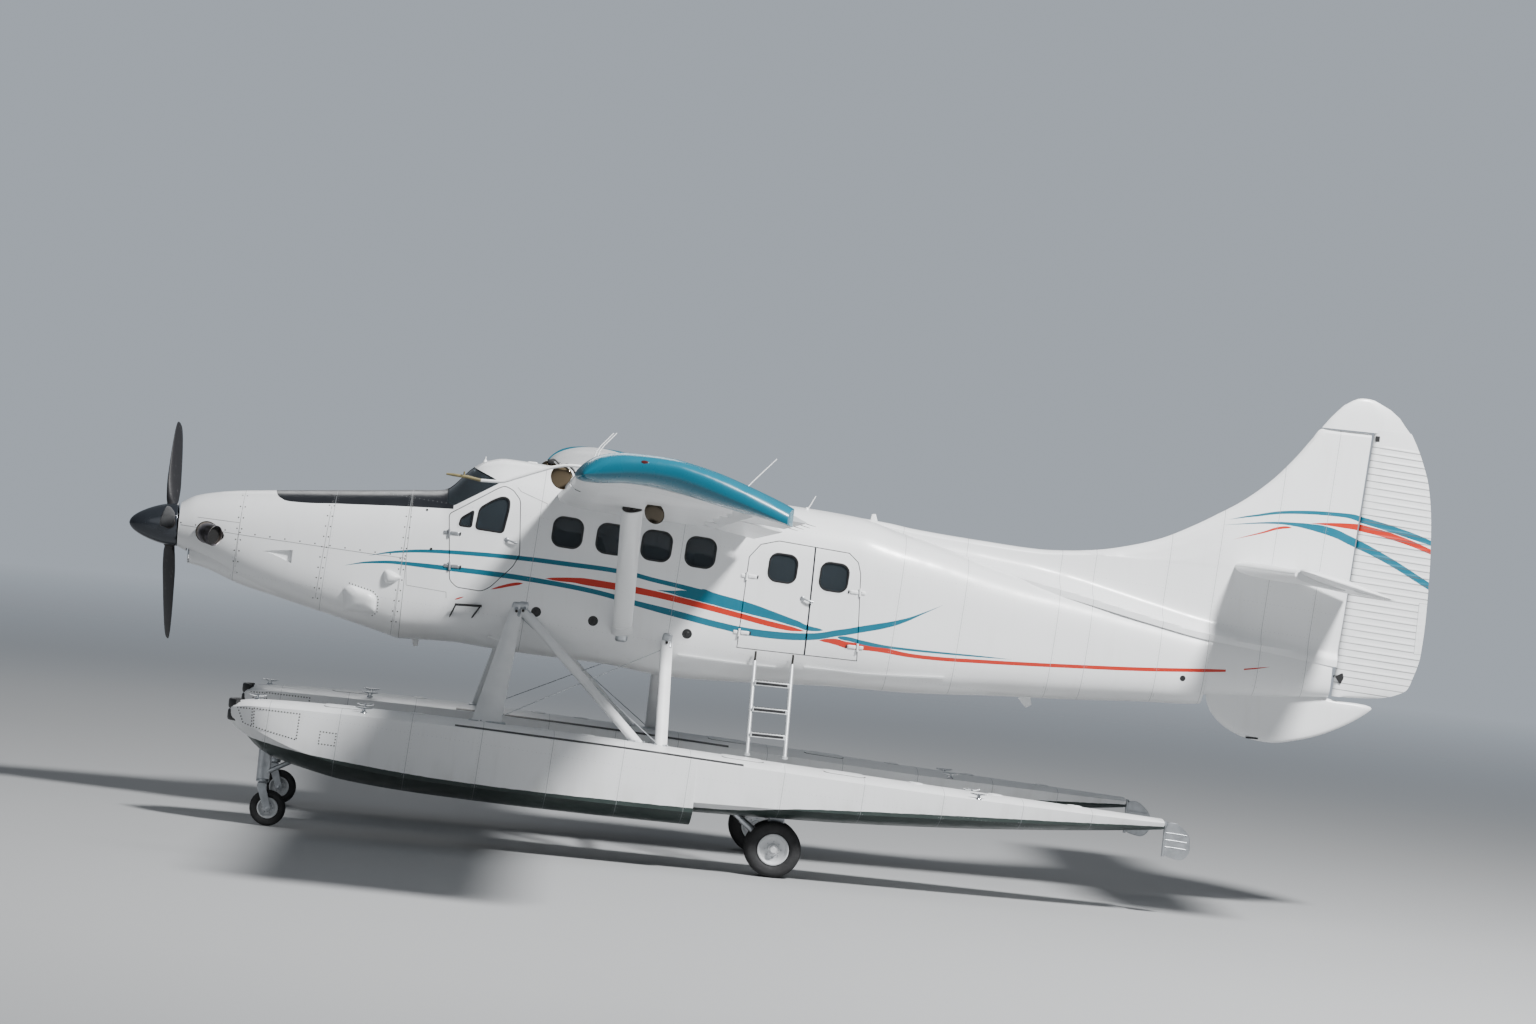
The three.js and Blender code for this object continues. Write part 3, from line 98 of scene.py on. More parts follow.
# Stripes: colour, then x, z and full width along the middle line
STRIPES = [
    ("teal", [(-4.212, 2.734, 0), (-3.888, 2.809, 0.025), (-3.589, 2.845, 0.035), (-3.222, 2.863, 0.042),
              (-2.719, 2.871, 0.045), (-2.214, 2.861, 0.048), (-1.707, 2.843, 0.047), (-1.314, 2.789, 0.046),
              (-0.981, 2.743, 0.05), (-0.849, 2.716, 0.065), (-0.712, 2.667, 0.12), (-0.402, 2.616, 0.114),
              (-0.127, 2.564, 0.088), (0.15, 2.502, 0.065), (0.357, 2.464, 0.035), (0.425, 2.464, 0)]),
    ("teal", [(-1.288, 2.695, 0), (-1.135, 2.688, 0.03), (-0.974, 2.681, 0.075), (-0.846, 2.664, 0.078),
              (-0.712, 2.64, 0.07), (-0.56, 2.62, 0)]),
    ("teal", [(-4.442, 2.611, 0), (-4.106, 2.68, 0.026), (-3.876, 2.696, 0.035), (-3.371, 2.692, 0.05),
              (-2.867, 2.683, 0.053), (-2.36, 2.656, 0.05), (-1.936, 2.616, 0.05), (-1.49, 2.541, 0.055),
              (-1.028, 2.469, 0.067), (-0.582, 2.4, 0.067), (-0.308, 2.37, 0.075), (-0.088, 2.364, 0.075),
              (0.164, 2.372, 0.073), (0.579, 2.452, 0.067), (0.826, 2.517, 0.067), (1.075, 2.585, 0.058),
              (1.25, 2.65, 0.038), (1.4, 2.725, 0.018), (1.62, 2.841, 0)]),
    ("red", [(-2.415, 2.695, 0), (-2.281, 2.699, 0.037), (-2.113, 2.706, 0.052), (-1.945, 2.7, 0.07),
             (-1.487, 2.67, 0.067), (-0.958, 2.605, 0.062), (-0.443, 2.525, 0.058), (-0.014, 2.458, 0.055),
             (0.157, 2.441, 0.03), (0.242, 2.435, 0)]),
    ("red", [(0.385, 2.359, 0), (0.504, 2.363, 0.047), (0.676, 2.34, 0.067),
            (0.932, 2.333, 0.06), (1.536, 2.293, 0.039), (2.051, 2.307, 0.039),
            (2.568, 2.328, 0.038), (3.086, 2.354, 0.038), (3.605, 2.382, 0.039),
            (4.281, 2.433, 0.036), (4.604, 2.46, 0.025)]),
    ("red", [(4.791, 2.492, 0.016), (4.916, 2.514, 0.014), (5.072, 2.544, 0)]),
    ("red", [(-2.951, 2.526, 0), (-2.854, 2.561, 0.025), (-2.724, 2.602, 0.032), (-2.625, 2.623, 0)]),
    ("red", [(-3.298, 2.388, 0), (-3.257, 2.404, 0.016), (-3.201, 2.427, 0)]),
    ("teal", [(0.575, 2.408, 0), (0.669, 2.403, 0.042), (0.841, 2.379, 0.042),
             (1.099, 2.36, 0.028), (1.529, 2.354, 0.022), (2.045, 2.357, 0.015),
             (2.382, 2.359, 0)]),
    ("teal", [(4.498, 3.997, 0), (4.746, 4.061, 0.02), (5.24, 4.15, 0.036), (5.66, 4.166, 0.043),
              (5.91, 4.13, 0.065), (6.32, 4.048, 0.07), (6.66, 3.965, 0.045)]),
    ("teal", [(4.448, 3.939, 0), (5.05, 4.019, 0.026), (5.14, 4.02, 0.033), (5.34, 4.012, 0.061),
              (5.56, 3.983, 0.087), (5.77, 3.915, 0.092), (6.119, 3.783, 0.082), (6.66, 3.525, 0.075)]),
    ("red", [(5.343, 4.048, 0), (5.56, 4.058, 0.033), (5.79, 4.06, 0.06), (5.92, 4.048, 0.07),
             (6.31, 3.976, 0.065), (6.66, 3.875, 0.05)]),
    ("red", [(4.557, 3.797, 0), (4.858, 3.9, 0.018), (5.058, 3.973, 0.027), (5.161, 3.986, 0)]),
]
GLARE_EDGE = [(-5.204, 3.287), (-5.14, 3.215), (-5.022, 3.191), (-4.541, 3.221), (-3.939, 3.261), (-3.4, 3.29)]


# ---- numpy geometry


def smooth(table, at):
    """Columns of a table read at many places of its first column. Cubic pieces join the rows, and each row's
    slope is the harmonic mean of the chords beside it, so nothing overshoots."""
    rows = np.asarray(table, float)
    x, y = rows[:, 0], rows[:, 1:]
    chord = np.diff(y, axis=0) / np.diff(x)[:, None]
    slope = np.zeros_like(y)
    same = chord[:-1] * chord[1:] > 0
    total = np.where(same, chord[:-1] + chord[1:], 1)
    slope[1:-1] = np.where(same, 2 * chord[:-1] * chord[1:] / total, 0)
    slope[0], slope[-1] = chord[0], chord[-1]
    at = np.asarray(at, float)
    i = np.clip(np.searchsorted(x, at, side="right") - 1, 0, len(x) - 2)
    h = (x[i + 1] - x[i])[..., None]
    t = np.clip((at[..., None] - x[i][..., None]) / h, 0, 1)
    return ((1 + 2 * t) * (1 - t) ** 2 * y[i] + t * (1 - t) ** 2 * h * slope[i] + t * t * (3 - 2 * t) * y[i + 1]
        + t * t * (t - 1) * h * slope[i + 1])


def unit(vectors):
    """Vectors made one long."""
    vectors = np.asarray(vectors, float)
    return vectors / np.linalg.norm(vectors, axis=-1, keepdims=True)


def ring_angles(sides):
    return np.linspace(0, 2 * np.pi, sides, endpoint=False)


def lobe(angle, power):
    """Radius of a superellipse at an angle: (|cos|^n + |sin|^n)^(-1/n)."""
    return (np.abs(np.cos(angle)) ** power + np.abs(np.sin(angle)) ** power) ** (-1 / power)


def corners(steps):
    """Angles round the four corners of a rectangle, and the signs of the corner that each belongs to."""
    turn = np.concatenate([np.linspace(q, q + np.pi / 2, steps + 1) for q in np.arange(4) * np.pi / 2])
    return turn, np.repeat([(1, 1), (-1, 1), (-1, -1), (1, -1)], steps + 1, axis=0)


def surface(grid, wrap=True, ends=True):
    """A grid of points as vertices and faces: each cell is one face, the columns close on themselves when
    wrapped, and each end row is closed by a fan about its middle."""
    rows, cols = grid.shape[:2]
    index = np.arange(rows * cols).reshape(rows, cols)
    left, right = (index, np.roll(index, -1, 1)) if wrap else (index[:, :-1], index[:, 1:])
    points = [grid.reshape(-1, 3)]
    faces = np.stack([left[:-1], right[:-1], right[1:], left[1:]], -1).reshape(-1, 4).tolist()
    if ends and wrap:
        for hub, row, order in ((0, 0, 1), (1, rows - 1, -1)):
            points.append(grid[row].mean(0)[None])
            fan = np.stack([np.full(cols, rows * cols + hub), np.roll(index[row], -1), index[row]], -1)
            faces += fan[:, ::order].tolist()
    return np.concatenate(points), faces


def joined(parts):
    """Several meshes as one list of vertices and faces."""
    points, faces, start = [], [], 0
    for p, f in parts:
        points.append(np.asarray(p, float))
        faces += [[k + start for k in face] for face in f]
        start += len(p)
    return np.concatenate(points), faces


def moved(part, offset, matrix=np.eye(3)):
    return part[0] @ np.asarray(matrix, float).T + np.asarray(offset, float), part[1]


def on_side(part, side):
    """A port piece, or its mirror image for the starboard side."""
    return part[0] * (1, -side, 1), part[1]


def frames(path):
    """Two directions square to a path at each of its points, from the middle reference direction."""
    run = unit(np.gradient(path, axis=0))
    across = unit(np.cross(run, np.eye(3)[np.argmin(np.abs(run.mean(0)))]))
    return across, np.cross(across, run)


def tube(path, radius, sides=16):
    """A round section carried along a path. The radius is one number or one for each point."""
    path = np.asarray(path, float)
    across, up = frames(path)
    a = ring_angles(sides)[None, :, None]
    r = np.broadcast_to(np.asarray(radius, float), len(path))[:, None, None]
    return surface(path[:, None] + r * (np.cos(a) * across[:, None] + np.sin(a) * up[:, None]))


def rod(point, axis, places, radius, sides=16):
    """A straight tube through a point, with a ring at each of some places along an axis."""
    return tube([np.asarray(point, float) + np.asarray(axis, float) * t for t in places], radius, sides)


def curve_through(points, count):
    """A smooth run of points through a few given ones, spaced by their number."""
    return smooth([(i, *p) for i, p in enumerate(points)], np.linspace(0, len(points) - 1, count))


def turned(profile, centre, axis, sides=48):
    """A profile of (distance along the axis, radius) turned about an axis through a centre."""
    axis = unit(axis)
    side = unit(np.cross(axis, np.eye(3)[np.argmin(np.abs(axis))]))
    up = np.cross(axis, side)
    along, radius = np.asarray(profile, float).T[:, :, None, None]
    a = ring_angles(sides)[None, :, None]
    return surface(np.asarray(centre, float) + along * axis + radius * (np.cos(a) * side + np.sin(a) * up),
        ends=False)


def faired(start, end, chord_start, chord_end, thickness, rows=8, sides=40):
    """A streamlined bar: an ellipse whose rear half thins, carried from start to end with the chord near X."""
    start, end = np.asarray(start, float), np.asarray(end, float)
    run = unit(end - start)
    chordway = unit(np.array([1.0, 0, 0]) - run * run[0])
    t = np.linspace(0, 1, rows)[:, None, None]
    a = ring_angles(sides)[None, :, None]
    return surface(start + (end - start) * t + (chord_start + (chord_end - chord_start) * t) / 2 * np.cos(a)
        * chordway + thickness / 2 * np.sin(a) * (1 - 0.35 * np.cos(a)) * np.cross(run, chordway))


def rounded_block(low, high, radius, steps=4):
    """A box with round upright edges and a small round at top and bottom, as a stack of rounded rectangles."""
    low, high = np.asarray(low, float), np.asarray(high, float)
    middle, half = (low + high) / 2, (high - low) / 2
    radius = min(radius, *(half * 0.98))
    turn, sign = corners(steps)
    lift = np.linspace(-np.pi / 2, np.pi / 2, 2 * steps + 2)
    round_off = (radius * np.cos(lift))[:, None, None] * np.stack([np.cos(turn), np.sin(turn)], 1)
    flat = middle[:2] + (half[:2] - radius) * sign + round_off
    z = middle[2] + np.sign(lift) * (half[2] - radius) + radius * np.sin(lift)
    return surface(np.concatenate([flat, np.broadcast_to(z[:, None, None], (*flat.shape[:2], 1))], -1))


def softened(outline, rounds=3):
    """An outline with its corners cut again and again at a quarter of each edge, which rounds them."""
    points = np.asarray(outline, float)
    for _ in range(rounds):
        after = np.roll(points, -1, axis=0)
        points = np.stack([0.75 * points + 0.25 * after, 0.25 * points + 0.75 * after], 1).reshape(-1, 2)
    return points


def shrunk(outline, distance):
    """An outline moved inwards along its mitred corners by a distance, or outwards when it is negative."""
    points = np.asarray(outline, float)
    before, after = points - np.roll(points, 1, 0), np.roll(points, -1, 0) - points
    area = np.sum(points[:, 0] * np.roll(points[:, 1], -1) - np.roll(points[:, 0], -1) * points[:, 1])
    n1, n2 = (unit(edge)[:, ::-1] * (1, -1) for edge in (before, after))
    mitre = (n1 + n2) / np.maximum(0.5, 1 + np.sum(n1 * n2, 1))[:, None]
    return points - np.sign(area) * distance * mitre


def rounded_square(centre, width, height, corner, steps=6):
    """A rectangle with round corners about a point, turned with the cabin line."""
    turn, sign = corners(steps)
    u = sign[:, 0] * (width / 2 - corner) + corner * np.cos(turn)
    v = sign[:, 1] * (height / 2 - corner) + corner * np.sin(turn)
    c, s = math.cos(DATUM_TILT), math.sin(DATUM_TILT)
    return np.stack([centre[0] + u * c + v * s, centre[1] - u * s + v * c], 1)


def rounded(outline, radius, steps=6):
    """An outline whose corners are parabolas that start and end one radius away along the two edges."""
    points = np.asarray(outline, float)
    before, after = np.roll(points, 1, 0) - points, np.roll(points, -1, 0) - points
    a, b = (np.linalg.norm(v, axis=1)[:, None] for v in (before, after))
    start = (points + before / a * np.minimum(radius, a * 0.48))[:, None]
    end = (points + after / b * np.minimum(radius, b * 0.48))[:, None]
    t = np.linspace(0, 1, steps)[None, :, None]
    return ((1 - t) ** 2 * start + 2 * t * (1 - t) * points[:, None] + t ** 2 * end).reshape(-1, 2)


def oblong(x, z, length, height, corner):
    """A rectangle with round corners about a point."""
    u, v = length / 2, height / 2
    return rounded([(x - u, z - v), (x + u, z - v), (x + u, z + v), (x - u, z + v)], corner)


def circle(x, z, radius, sides=32):
    a = ring_angles(sides)
    return np.stack([x + radius * np.cos(a), z + radius * np.sin(a)], 1)


def placed_along(points, places):
    """Points at some distances along a broken line, found by a function of the distances of its corners."""
    points = np.asarray(points, float)
    along = np.concatenate([[0], np.cumsum(np.linalg.norm(np.diff(points, axis=0), axis=1))])
    return np.stack([np.interp(places(along), along, column) for column in points.T], 1)


def resampled(points, step):
    """Points along a broken line, about a step apart, with its own corners kept."""
    return placed_along(points, lambda along: np.unique(np.concatenate([along, np.arange(0, along[-1], step)])))


def spaced(points, step):
    """Places one step apart along a broken line."""
    return placed_along(points, lambda along: np.linspace(0, along[-1], max(2, int(round(along[-1] / step)) + 1)))


def prism(outline, y0, y1):
    """An x, z outline carried along Y."""
    return surface(np.stack([np.insert(np.asarray(outline, float), 1, y, axis=1) for y in (y0, y1)]))


def plate(outline, y0, y1, bevel=0.003):
    """An x, z outline carried along Y, with its two rims drawn in by a small bevel."""
    small = shrunk(outline, bevel)
    rows = [(small, y0), (outline, y0 + bevel), (outline, y1 - bevel), (small, y1)]
    return surface(np.stack([np.insert(np.asarray(o, float), 1, y, axis=1) for o, y in rows]))


def studs(centres, normals, radius, height, sides=8):
    """Many low domes at once: for each centre a ring at its foot, a smaller one at its height and a middle."""
    centres = np.asarray(centres, float)[:, None]
    normals = np.broadcast_to(np.asarray(normals, float), (len(centres), 3))
    across = unit(np.cross(normals, (0.31, 0.17, 0.94)))
    up, normals = np.cross(normals, across), normals[:, None]
    a = ring_angles(sides)[None, :, None]
    ring = radius * (np.cos(a) * across[:, None] + np.sin(a) * up[:, None])
    points = np.concatenate([centres + ring - normals * height, centres + ring + normals * height * 0.4, centres
        + 0.55 * ring + normals * height], 1)
    k = np.arange(sides)
    k2 = (k + 1) % sides
    walls = np.concatenate([np.stack([k + low, k2 + low, k2 + low + sides, k + low + sides], 1)
        for low in (0, sides)])
    faces = []
    for start in range(0, len(centres) * 3 * sides, 3 * sides):
        faces += (walls + start).tolist() + [(k[::-1] + start).tolist(), (k + 2 * sides + start).tolist()]
    return points.reshape(-1, 3), faces


# ---- shapes on the body's skin


def skin_side(x, z, table=SKIN):
    """Half width of the body at x and z: the superellipse of that section solved for y."""
    w, top, bottom, n = np.moveaxis(smooth(table, x), -1, 0)
    t = np.clip(np.abs((2 * z - top - bottom) / (top - bottom)), 0, 1)
    return w * (1 - t ** n) ** (1 / n)


def skin_top(x, y):
    """Height of the body's back at x and y, from the same superellipse."""
    w, top, bottom, n = np.moveaxis(smooth(SKIN, x), -1, 0)
    t = np.clip(np.abs(y) / w, 0, 1)
    return (top + bottom) / 2 + (top - bottom) / 2 * (1 - t ** n) ** (1 / n)


def on_skin(flat, out):
    """Port points at x, z places and a distance out from the skin."""
    return np.stack([flat[..., 0], PORT * (skin_side(flat[..., 0], flat[..., 1]) + out), flat[..., 1]], -1)


def body_rings(xs, grow=0.0, sides=96, table=SKIN, walls=(0, 0, 0)):
    """Rings of the body at many x: superellipses drawn out by a growth, or in by walls at side, top and bottom."""
    w, top, bottom, n = (column[:, None] for column in smooth(table, xs).T)
    w, top, bottom = w - walls[0], top - walls[1], bottom + walls[2]
    a = ring_angles(sides)[None]
    r = lobe(a, n)
    y, z = (w + grow) * r * np.cos(a), (top + bottom) / 2 + ((top - bottom) / 2 + grow) * r * np.sin(a)
    return np.stack([np.broadcast_to(np.asarray(xs)[:, None], y.shape), y, z], -1)


def stations(start, end, step, table=SKIN):
    """x places from start to end, about a step apart, with the table's own rows among them."""
    own = [row[0] for row in table if start < row[0] < end]
    regular = np.linspace(start, end, int((end - start) / step) + 2)
    near = np.min(np.abs(regular[:, None] - np.array(own + [1e9])[None]), 1) < step / 3
    return np.unique(np.concatenate([regular[~near], own, [start, end]]))


def body_part(start, end, step, grow=0.0, sides=96, table=SKIN):
    return surface(body_rings(stations(start, end, step, table), grow, sides, table))


def inward(outline, shares):
    """Copies of an outline drawn in towards its middle."""
    outline = np.asarray(outline, float)
    return outline.mean(0) + shares * (outline - outline.mean(0))


def skin_plate(outline, out, inner, rings=5):
    """A plate that follows the body side over an outline: rings of it shrink towards its middle, at one
    distance out from the skin and again at another."""
    flat = inward(outline, np.linspace(1, 0.02, rings)[:, None, None])
    return surface(np.concatenate([on_skin(flat, out)[::-1], on_skin(flat, inner)]))


def skin_frame(outline, width, out, inner):
    """A band of one width along an outline on the body side, from one distance off the skin to another."""
    flat = np.stack([shrunk(outline, width * share) for share in (0, 0.5, 1)])
    outer = on_skin(flat, np.array([out * 0.6, out, out * 0.5])[:, None])
    return surface(np.concatenate([outer, on_skin(flat, inner)[::-1], outer[:1]]), ends=False)


def skin_dome(outline, height, power=2.0, rings=12):
    """A swelling on the body side: at a share of the way from its middle to its rim the height is one minus
    that share's own power."""
    share = np.append(np.sin(np.linspace(np.pi / 2, 0.03, rings)), 0.01)[:, None, None]
    flat = inward(outline, share)
    lift = height * (1 - share[..., 0] ** power) ** 0.6 - 0.002 * share[..., 0] ** 8
    return surface(np.concatenate([on_skin(flat, lift)[::-1], on_skin(flat, -0.006)]))


def ribbon(points, width, rise, out, inner, step):
    """A narrow strip along a line on a surface, between two distances off it. rise gives the surface's points."""
    path = resampled(points, step)
    normal = unit(np.gradient(path, axis=0))[:, ::-1] * (-1, 1) * width / 2
    edges = [(path - normal, inner), (path - normal, out), (path + normal, out), (path + normal, inner)]
    return surface(np.stack([rise(p, d) for p, d in edges], 1))


def skin_ribbon(points, width, out=0.0012, inner=-0.003, step=0.06):
    return ribbon(points, width, on_skin, out, inner, step)


def hoop(x, width, out=0.0012):
    """A narrow band right round the body at one x."""
    rows = [(x - width / 2, -0.002), (x - width / 2, out), (x + width / 2, out), (x + width / 2, -0.002)]
    rings = [body_rings(np.array([at]), grow, 96)[0] for at, grow in rows]
    return surface(np.stack(rings + rings[:1]), ends=False)


def skin_studs(points, side, radius=0.007, height=0.002, out=0.0):
    """Studs on the body side at x, z places, standing square to it."""
    p = np.asarray(points, float)
    x, z = p.T
    slope_z = (skin_side(x, z + 0.01) - skin_side(x, z - 0.01)) / 0.02
    slope_x = (skin_side(x + 0.01, z) - skin_side(x - 0.01, z)) / 0.02
    normal = unit(np.stack([-slope_x, np.full(len(p), float(side)), -slope_z], 1))
    return studs(on_skin(p, out) * (1, -side, 1), normal, radius, height)


# ---- pieces in the scene

FINISH = {}


def new_object(name, part, finish):
    mesh = bpy.data.meshes.new(name)
    points, faces = part
    mesh.from_pydata(np.asarray(points).tolist(), [], faces)
    mesh.materials.append(FINISH[finish])
    obj = bpy.data.objects.new(name, mesh)
    bpy.context.scene.collection.objects.link(obj)
    return obj


def tidied(obj, sharp=32):
    """Doubles merged, empty faces dropped, faces turned outwards, and edges sharper than an angle left hard."""
    work = bmesh.new()
    work.from_mesh(obj.data)
    bmesh.ops.remove_doubles(work, verts=work.verts, dist=2e-5)
    bmesh.ops.dissolve_degenerate(work, edges=work.edges, dist=1e-5)
    bmesh.ops.recalc_face_normals(work, faces=work.faces)
    work.to_mesh(obj.data)
    work.free()
    obj.data.shade_smooth()
    obj.data.set_sharp_from_angle(angle=math.radians(sharp))
    return obj


def solid(name, part, finish="body"):
    return tidied(new_object(name, part, finish))


def placed(obj, body=AIRFRAME, replaces=()):
    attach(obj, body)
    if replaces:
        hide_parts(*replaces)
    return obj


def piece(name, parts, finish, body=AIRFRAME, replaces=(), sharp=32, side=PORT):
    """One finished piece from its parts as they are to port, riding on a body."""
    part = on_side(joined(parts) if isinstance(parts, list) else parts, side)
    return placed(tidied(new_object(name, part, finish), sharp), body, replaces)


def both(name, parts, finish, body=AIRFRAME, replaces=None, sharp=32):
    """A piece on each side, the starboard one mirrored from the port one, or made by a function of the side. {} in
    a name stands for left or right."""
    for word, side in SIDES:
        own = callable(parts)
        piece(name.format(word), parts(side) if own else parts, finish, body.format(word),
            (replaces.format(word),) if replaces else (), sharp, PORT if own else side)


def carved(obj, part, finish="body", operation="DIFFERENCE"):
    """obj cut by, joined to or kept inside a part, whose finish shows on the new faces."""
    tool = solid("tool", part, finish)
    cut = obj.modifiers.new("cut", "BOOLEAN")
    cut.object, cut.operation, cut.solver, cut.material_mode = tool, operation, "EXACT", "TRANSFER"
    bpy.context.view_layer.update()
    shape = bpy.data.meshes.new_from_object(obj.evaluated_get(bpy.context.evaluated_depsgraph_get()))
    obj.modifiers.clear()
    old, obj.data = obj.data, shape
    bpy.data.meshes.remove(old)
    bpy.data.objects.remove(tool)
    return obj


def copied(obj, name):
    twin = obj.copy()
    twin.data = obj.data.copy()
    twin.name = twin.data.name = name
    bpy.context.scene.collection.objects.link(twin)
    return twin


# ---- materials


class Value:
    """A number that a node gives, so that finishes are written as plain sums."""

    def __init__(self, nodes, socket):
        self.nodes, self.socket = nodes, socket

    def __add__(self, other):
        return self.nodes.math("ADD", self, other)

    def __sub__(self, other):
        return self.nodes.math("SUBTRACT", self, other)

    def __rsub__(self, other):
        return self.nodes.math("SUBTRACT", other, self)

    def __mul__(self, other):
        return self.nodes.math("MULTIPLY", self, other)

    def __lt__(self, other):
        return self.nodes.math("LESS_THAN", self, other)

    def __gt__(self, other):
        return self.nodes.math("GREATER_THAN", self, other)

    def __abs__(self):
        return self.nodes.math("ABSOLUTE", self)


class Nodes:
    """The node tree of one material, with short calls for the nodes that the finishes share."""

    def __init__(self, name):
        self.material = bpy.data.materials.new(name)
        self.material.use_nodes = True
        self.tree = self.material.node_tree
        self.shader = self.tree.nodes["Principled BSDF"]
        self.place = self.tree.nodes.new("ShaderNodeTexCoord").outputs["Object"]

    def add(self, kind, links=(), **settings):
        node = self.tree.nodes.new(kind)
        for key, value in settings.items():
            setattr(node, key, value)
        for socket, value in links:
            self.put(node.inputs[socket], value)
        return node

    def put(self, socket, value):
        value = value.socket if isinstance(value, Value) else value
        if isinstance(value, bpy.types.NodeSocket):
            self.tree.links.new(value, socket)
        else:
            socket.default_value = value

    def value(self, kind, links, output=0, **settings):
        return Value(self, self.add(kind, links, **settings).outputs[output])

    def math(self, operation, a, b=0.0):
        return self.value("ShaderNodeMath", ((0, a), (1, b)), operation=operation)

    def most(self, values):
        """The largest of several values."""
        return functools.reduce(lambda a, b: self.math("MAXIMUM", a, b), values)

    def axes(self):
        node = self.add("ShaderNodeSeparateXYZ", ((0, self.place),))
        return [Value(self, socket) for socket in node.outputs]

    def noise(self, scale, detail=3.0, stretch=(1, 1, 1)):
        place = self.add("ShaderNodeMapping", (("Vector", self.place), ("Scale", stretch))).outputs[0]
        return self.value("ShaderNodeTexNoise", (("Vector", place), ("Scale", scale), ("Detail", detail),
            ("Roughness", 0.55)), "Fac")

    def ramp(self, value, low, high, to_low=0.0, to_high=1.0):
        return self.value("ShaderNodeMapRange", ((0, value), (1, low), (2, high), (3, to_low), (4, to_high)))

    def mix(self, share, a, b):
        node = self.add("ShaderNodeMix", data_type="RGBA")
        for socket, value in ((0, share), (6, a), (7, b)):
            self.put(node.inputs[socket], value)
        return node.outputs[2]

    def curve(self, value, xs, ys):
        """A curve through x, y places, read at a share from 0 to 1."""
        node = self.add("ShaderNodeFloatCurve", ((1, value),))
        curve = node.mapping.curves[0]
        curve.points[0].location, curve.points[1].location = (xs[0], ys[0]), (xs[-1], ys[-1])
        for x, y in zip(xs[1:-1], ys[1:-1]):
            curve.points.new(x, y)
        for point in curve.points:
            point.handle_type = "AUTO_CLAMPED"
        node.mapping.update()
        return Value(self, node.outputs[0])

    def near(self, value, places, half):
        """1 where a value lies within half of any of the places."""
        return self.most([self.value("ShaderNodeMath", ((0, value), (1, place), (2, half)), operation="COMPARE")
            for place in places])

    def dots(self, along, off, pitch=0.045, radius=0.0045):
        """1 inside round dots of a radius, a pitch apart along a line, from the distance off that line."""
        step = self.math("PINGPONG", along, pitch / 2)
        return self.ramp(self.math("SQRT", step * step + off * off), radius, radius * 0.6)

    def bump(self, height, distance, strength=1.0):
        self.put(self.shader.inputs["Normal"], self.add("ShaderNodeBump", (("Height", height),
            ("Distance", distance), ("Strength", strength))).outputs[0])

    def finish(self, colour, roughness, metallic=0.0, **others):
        for name, value in {"Base Color": colour, "Roughness": roughness, "Metallic": metallic, **others}.items():
            self.put(self.shader.inputs[name.replace("_", " ")], value)
        return self.material


def shade(colour, share=1.0):
    """A colour made darker or lighter by a share, or by one for each of its parts."""
    return (*np.minimum(np.array(colour[:3]) * share, 1.0), 1.0)


def painted(name, colour, panels=(), rows=(), rivet_axis="z", dirt=0.5, gloss=0.28, extra=None):
    """Gloss paint on riveted sheet: seams across X at the panel places, rivet rows beside them and along the
    rows, faint clouding, streaks that run down, and grime low on the body."""
    n = Nodes(name)
    x, y, z = n.axes()
    tilt = math.tan(DATUM_TILT)
    cloud = n.noise(0.9, 4)
    streak = n.noise(3.0, 3, (4, 4, 0.5))
    base = n.mix(n.ramp(cloud, 0.35, 0.7, 0, 0.35 * dirt), shade(colour), shade(colour, 0.86))
    base = n.mix(n.ramp(streak, 0.55, 0.8, 0, 0.3 * dirt), base, shade(colour, (0.74, 0.72, 0.68)))
    if extra:
        base = extra(n, x, y, z, base)
    height = cloud * 0.15
    if panels:
        if rivet_axis == "z":
            level, across, line = z - abs(y), x - (z - 2.75) * tilt, z + x * tilt
        else:
            level, across, line = x, abs(y), x
        seams = n.near(across, panels, 0.0027)
        rivets = n.most([n.dots(level, abs(across - place) - 0.022) for place in panels]
            + [n.dots(across, line - place) for place in rows])
        base = n.mix(seams * 0.7, base, (0.25, 0.26, 0.27, 1))
        base = n.mix(rivets * 0.45, base, (0.35, 0.36, 0.37, 1))
        height = height + rivets * 0.6 + seams * -1.0
    n.bump(height, 0.0015, 0.6)
    return n.finish(base, n.ramp(n.noise(6.0), 0.3, 0.7, gloss, gloss + 0.14), Coat_Weight=0.16,
        Coat_Roughness=0.14)


def livery(colours):
    """Stripes, the dull black panel ahead of the windshield and the grime of the belly, over the white."""

    def along(n, x, xs):
        """x as a share of the way from the first place to the last, the places as shares, and 1 between the two."""
        return n.ramp(x, xs[0], xs[-1]), (xs - xs[0]) / (xs[-1] - xs[0]), (x > xs[0]) * (x < xs[-1])

    def over(n, x, y, z, base):
        grime = n.ramp(z, 2.35, 1.85) * n.ramp(n.noise(2.2, 5, (0.35, 1, 1)), 0.38, 0.72, 0, 0.42)
        base = n.mix(grime, base, (0.36, 0.33, 0.29, 1))
        for name, points in STRIPES:
            xs, zs, widths = np.array(points).T
            share, places, within = along(n, x, xs)
            low, high, wide = zs.min() - 0.01, zs.max() + 0.01, widths.max()
            middle = n.ramp(n.curve(share, places, (zs - low) / (high - low)), 0, 1, low, high)
            half = n.curve(share, places, widths / wide) * (wide / 2)
            base = n.mix((abs(z - middle) < half) * within, base, shade(colours[name]))
        xs, zs = np.array(GLARE_EDGE).T
        share, places, within = along(n, x, xs)
        above = z > n.ramp(n.curve(share, places, (zs - 3.15) / 0.2), 0, 1, 3.15, 3.35)
        return n.mix(above * within, base, (0.012, 0.013, 0.016, 1))

    return over


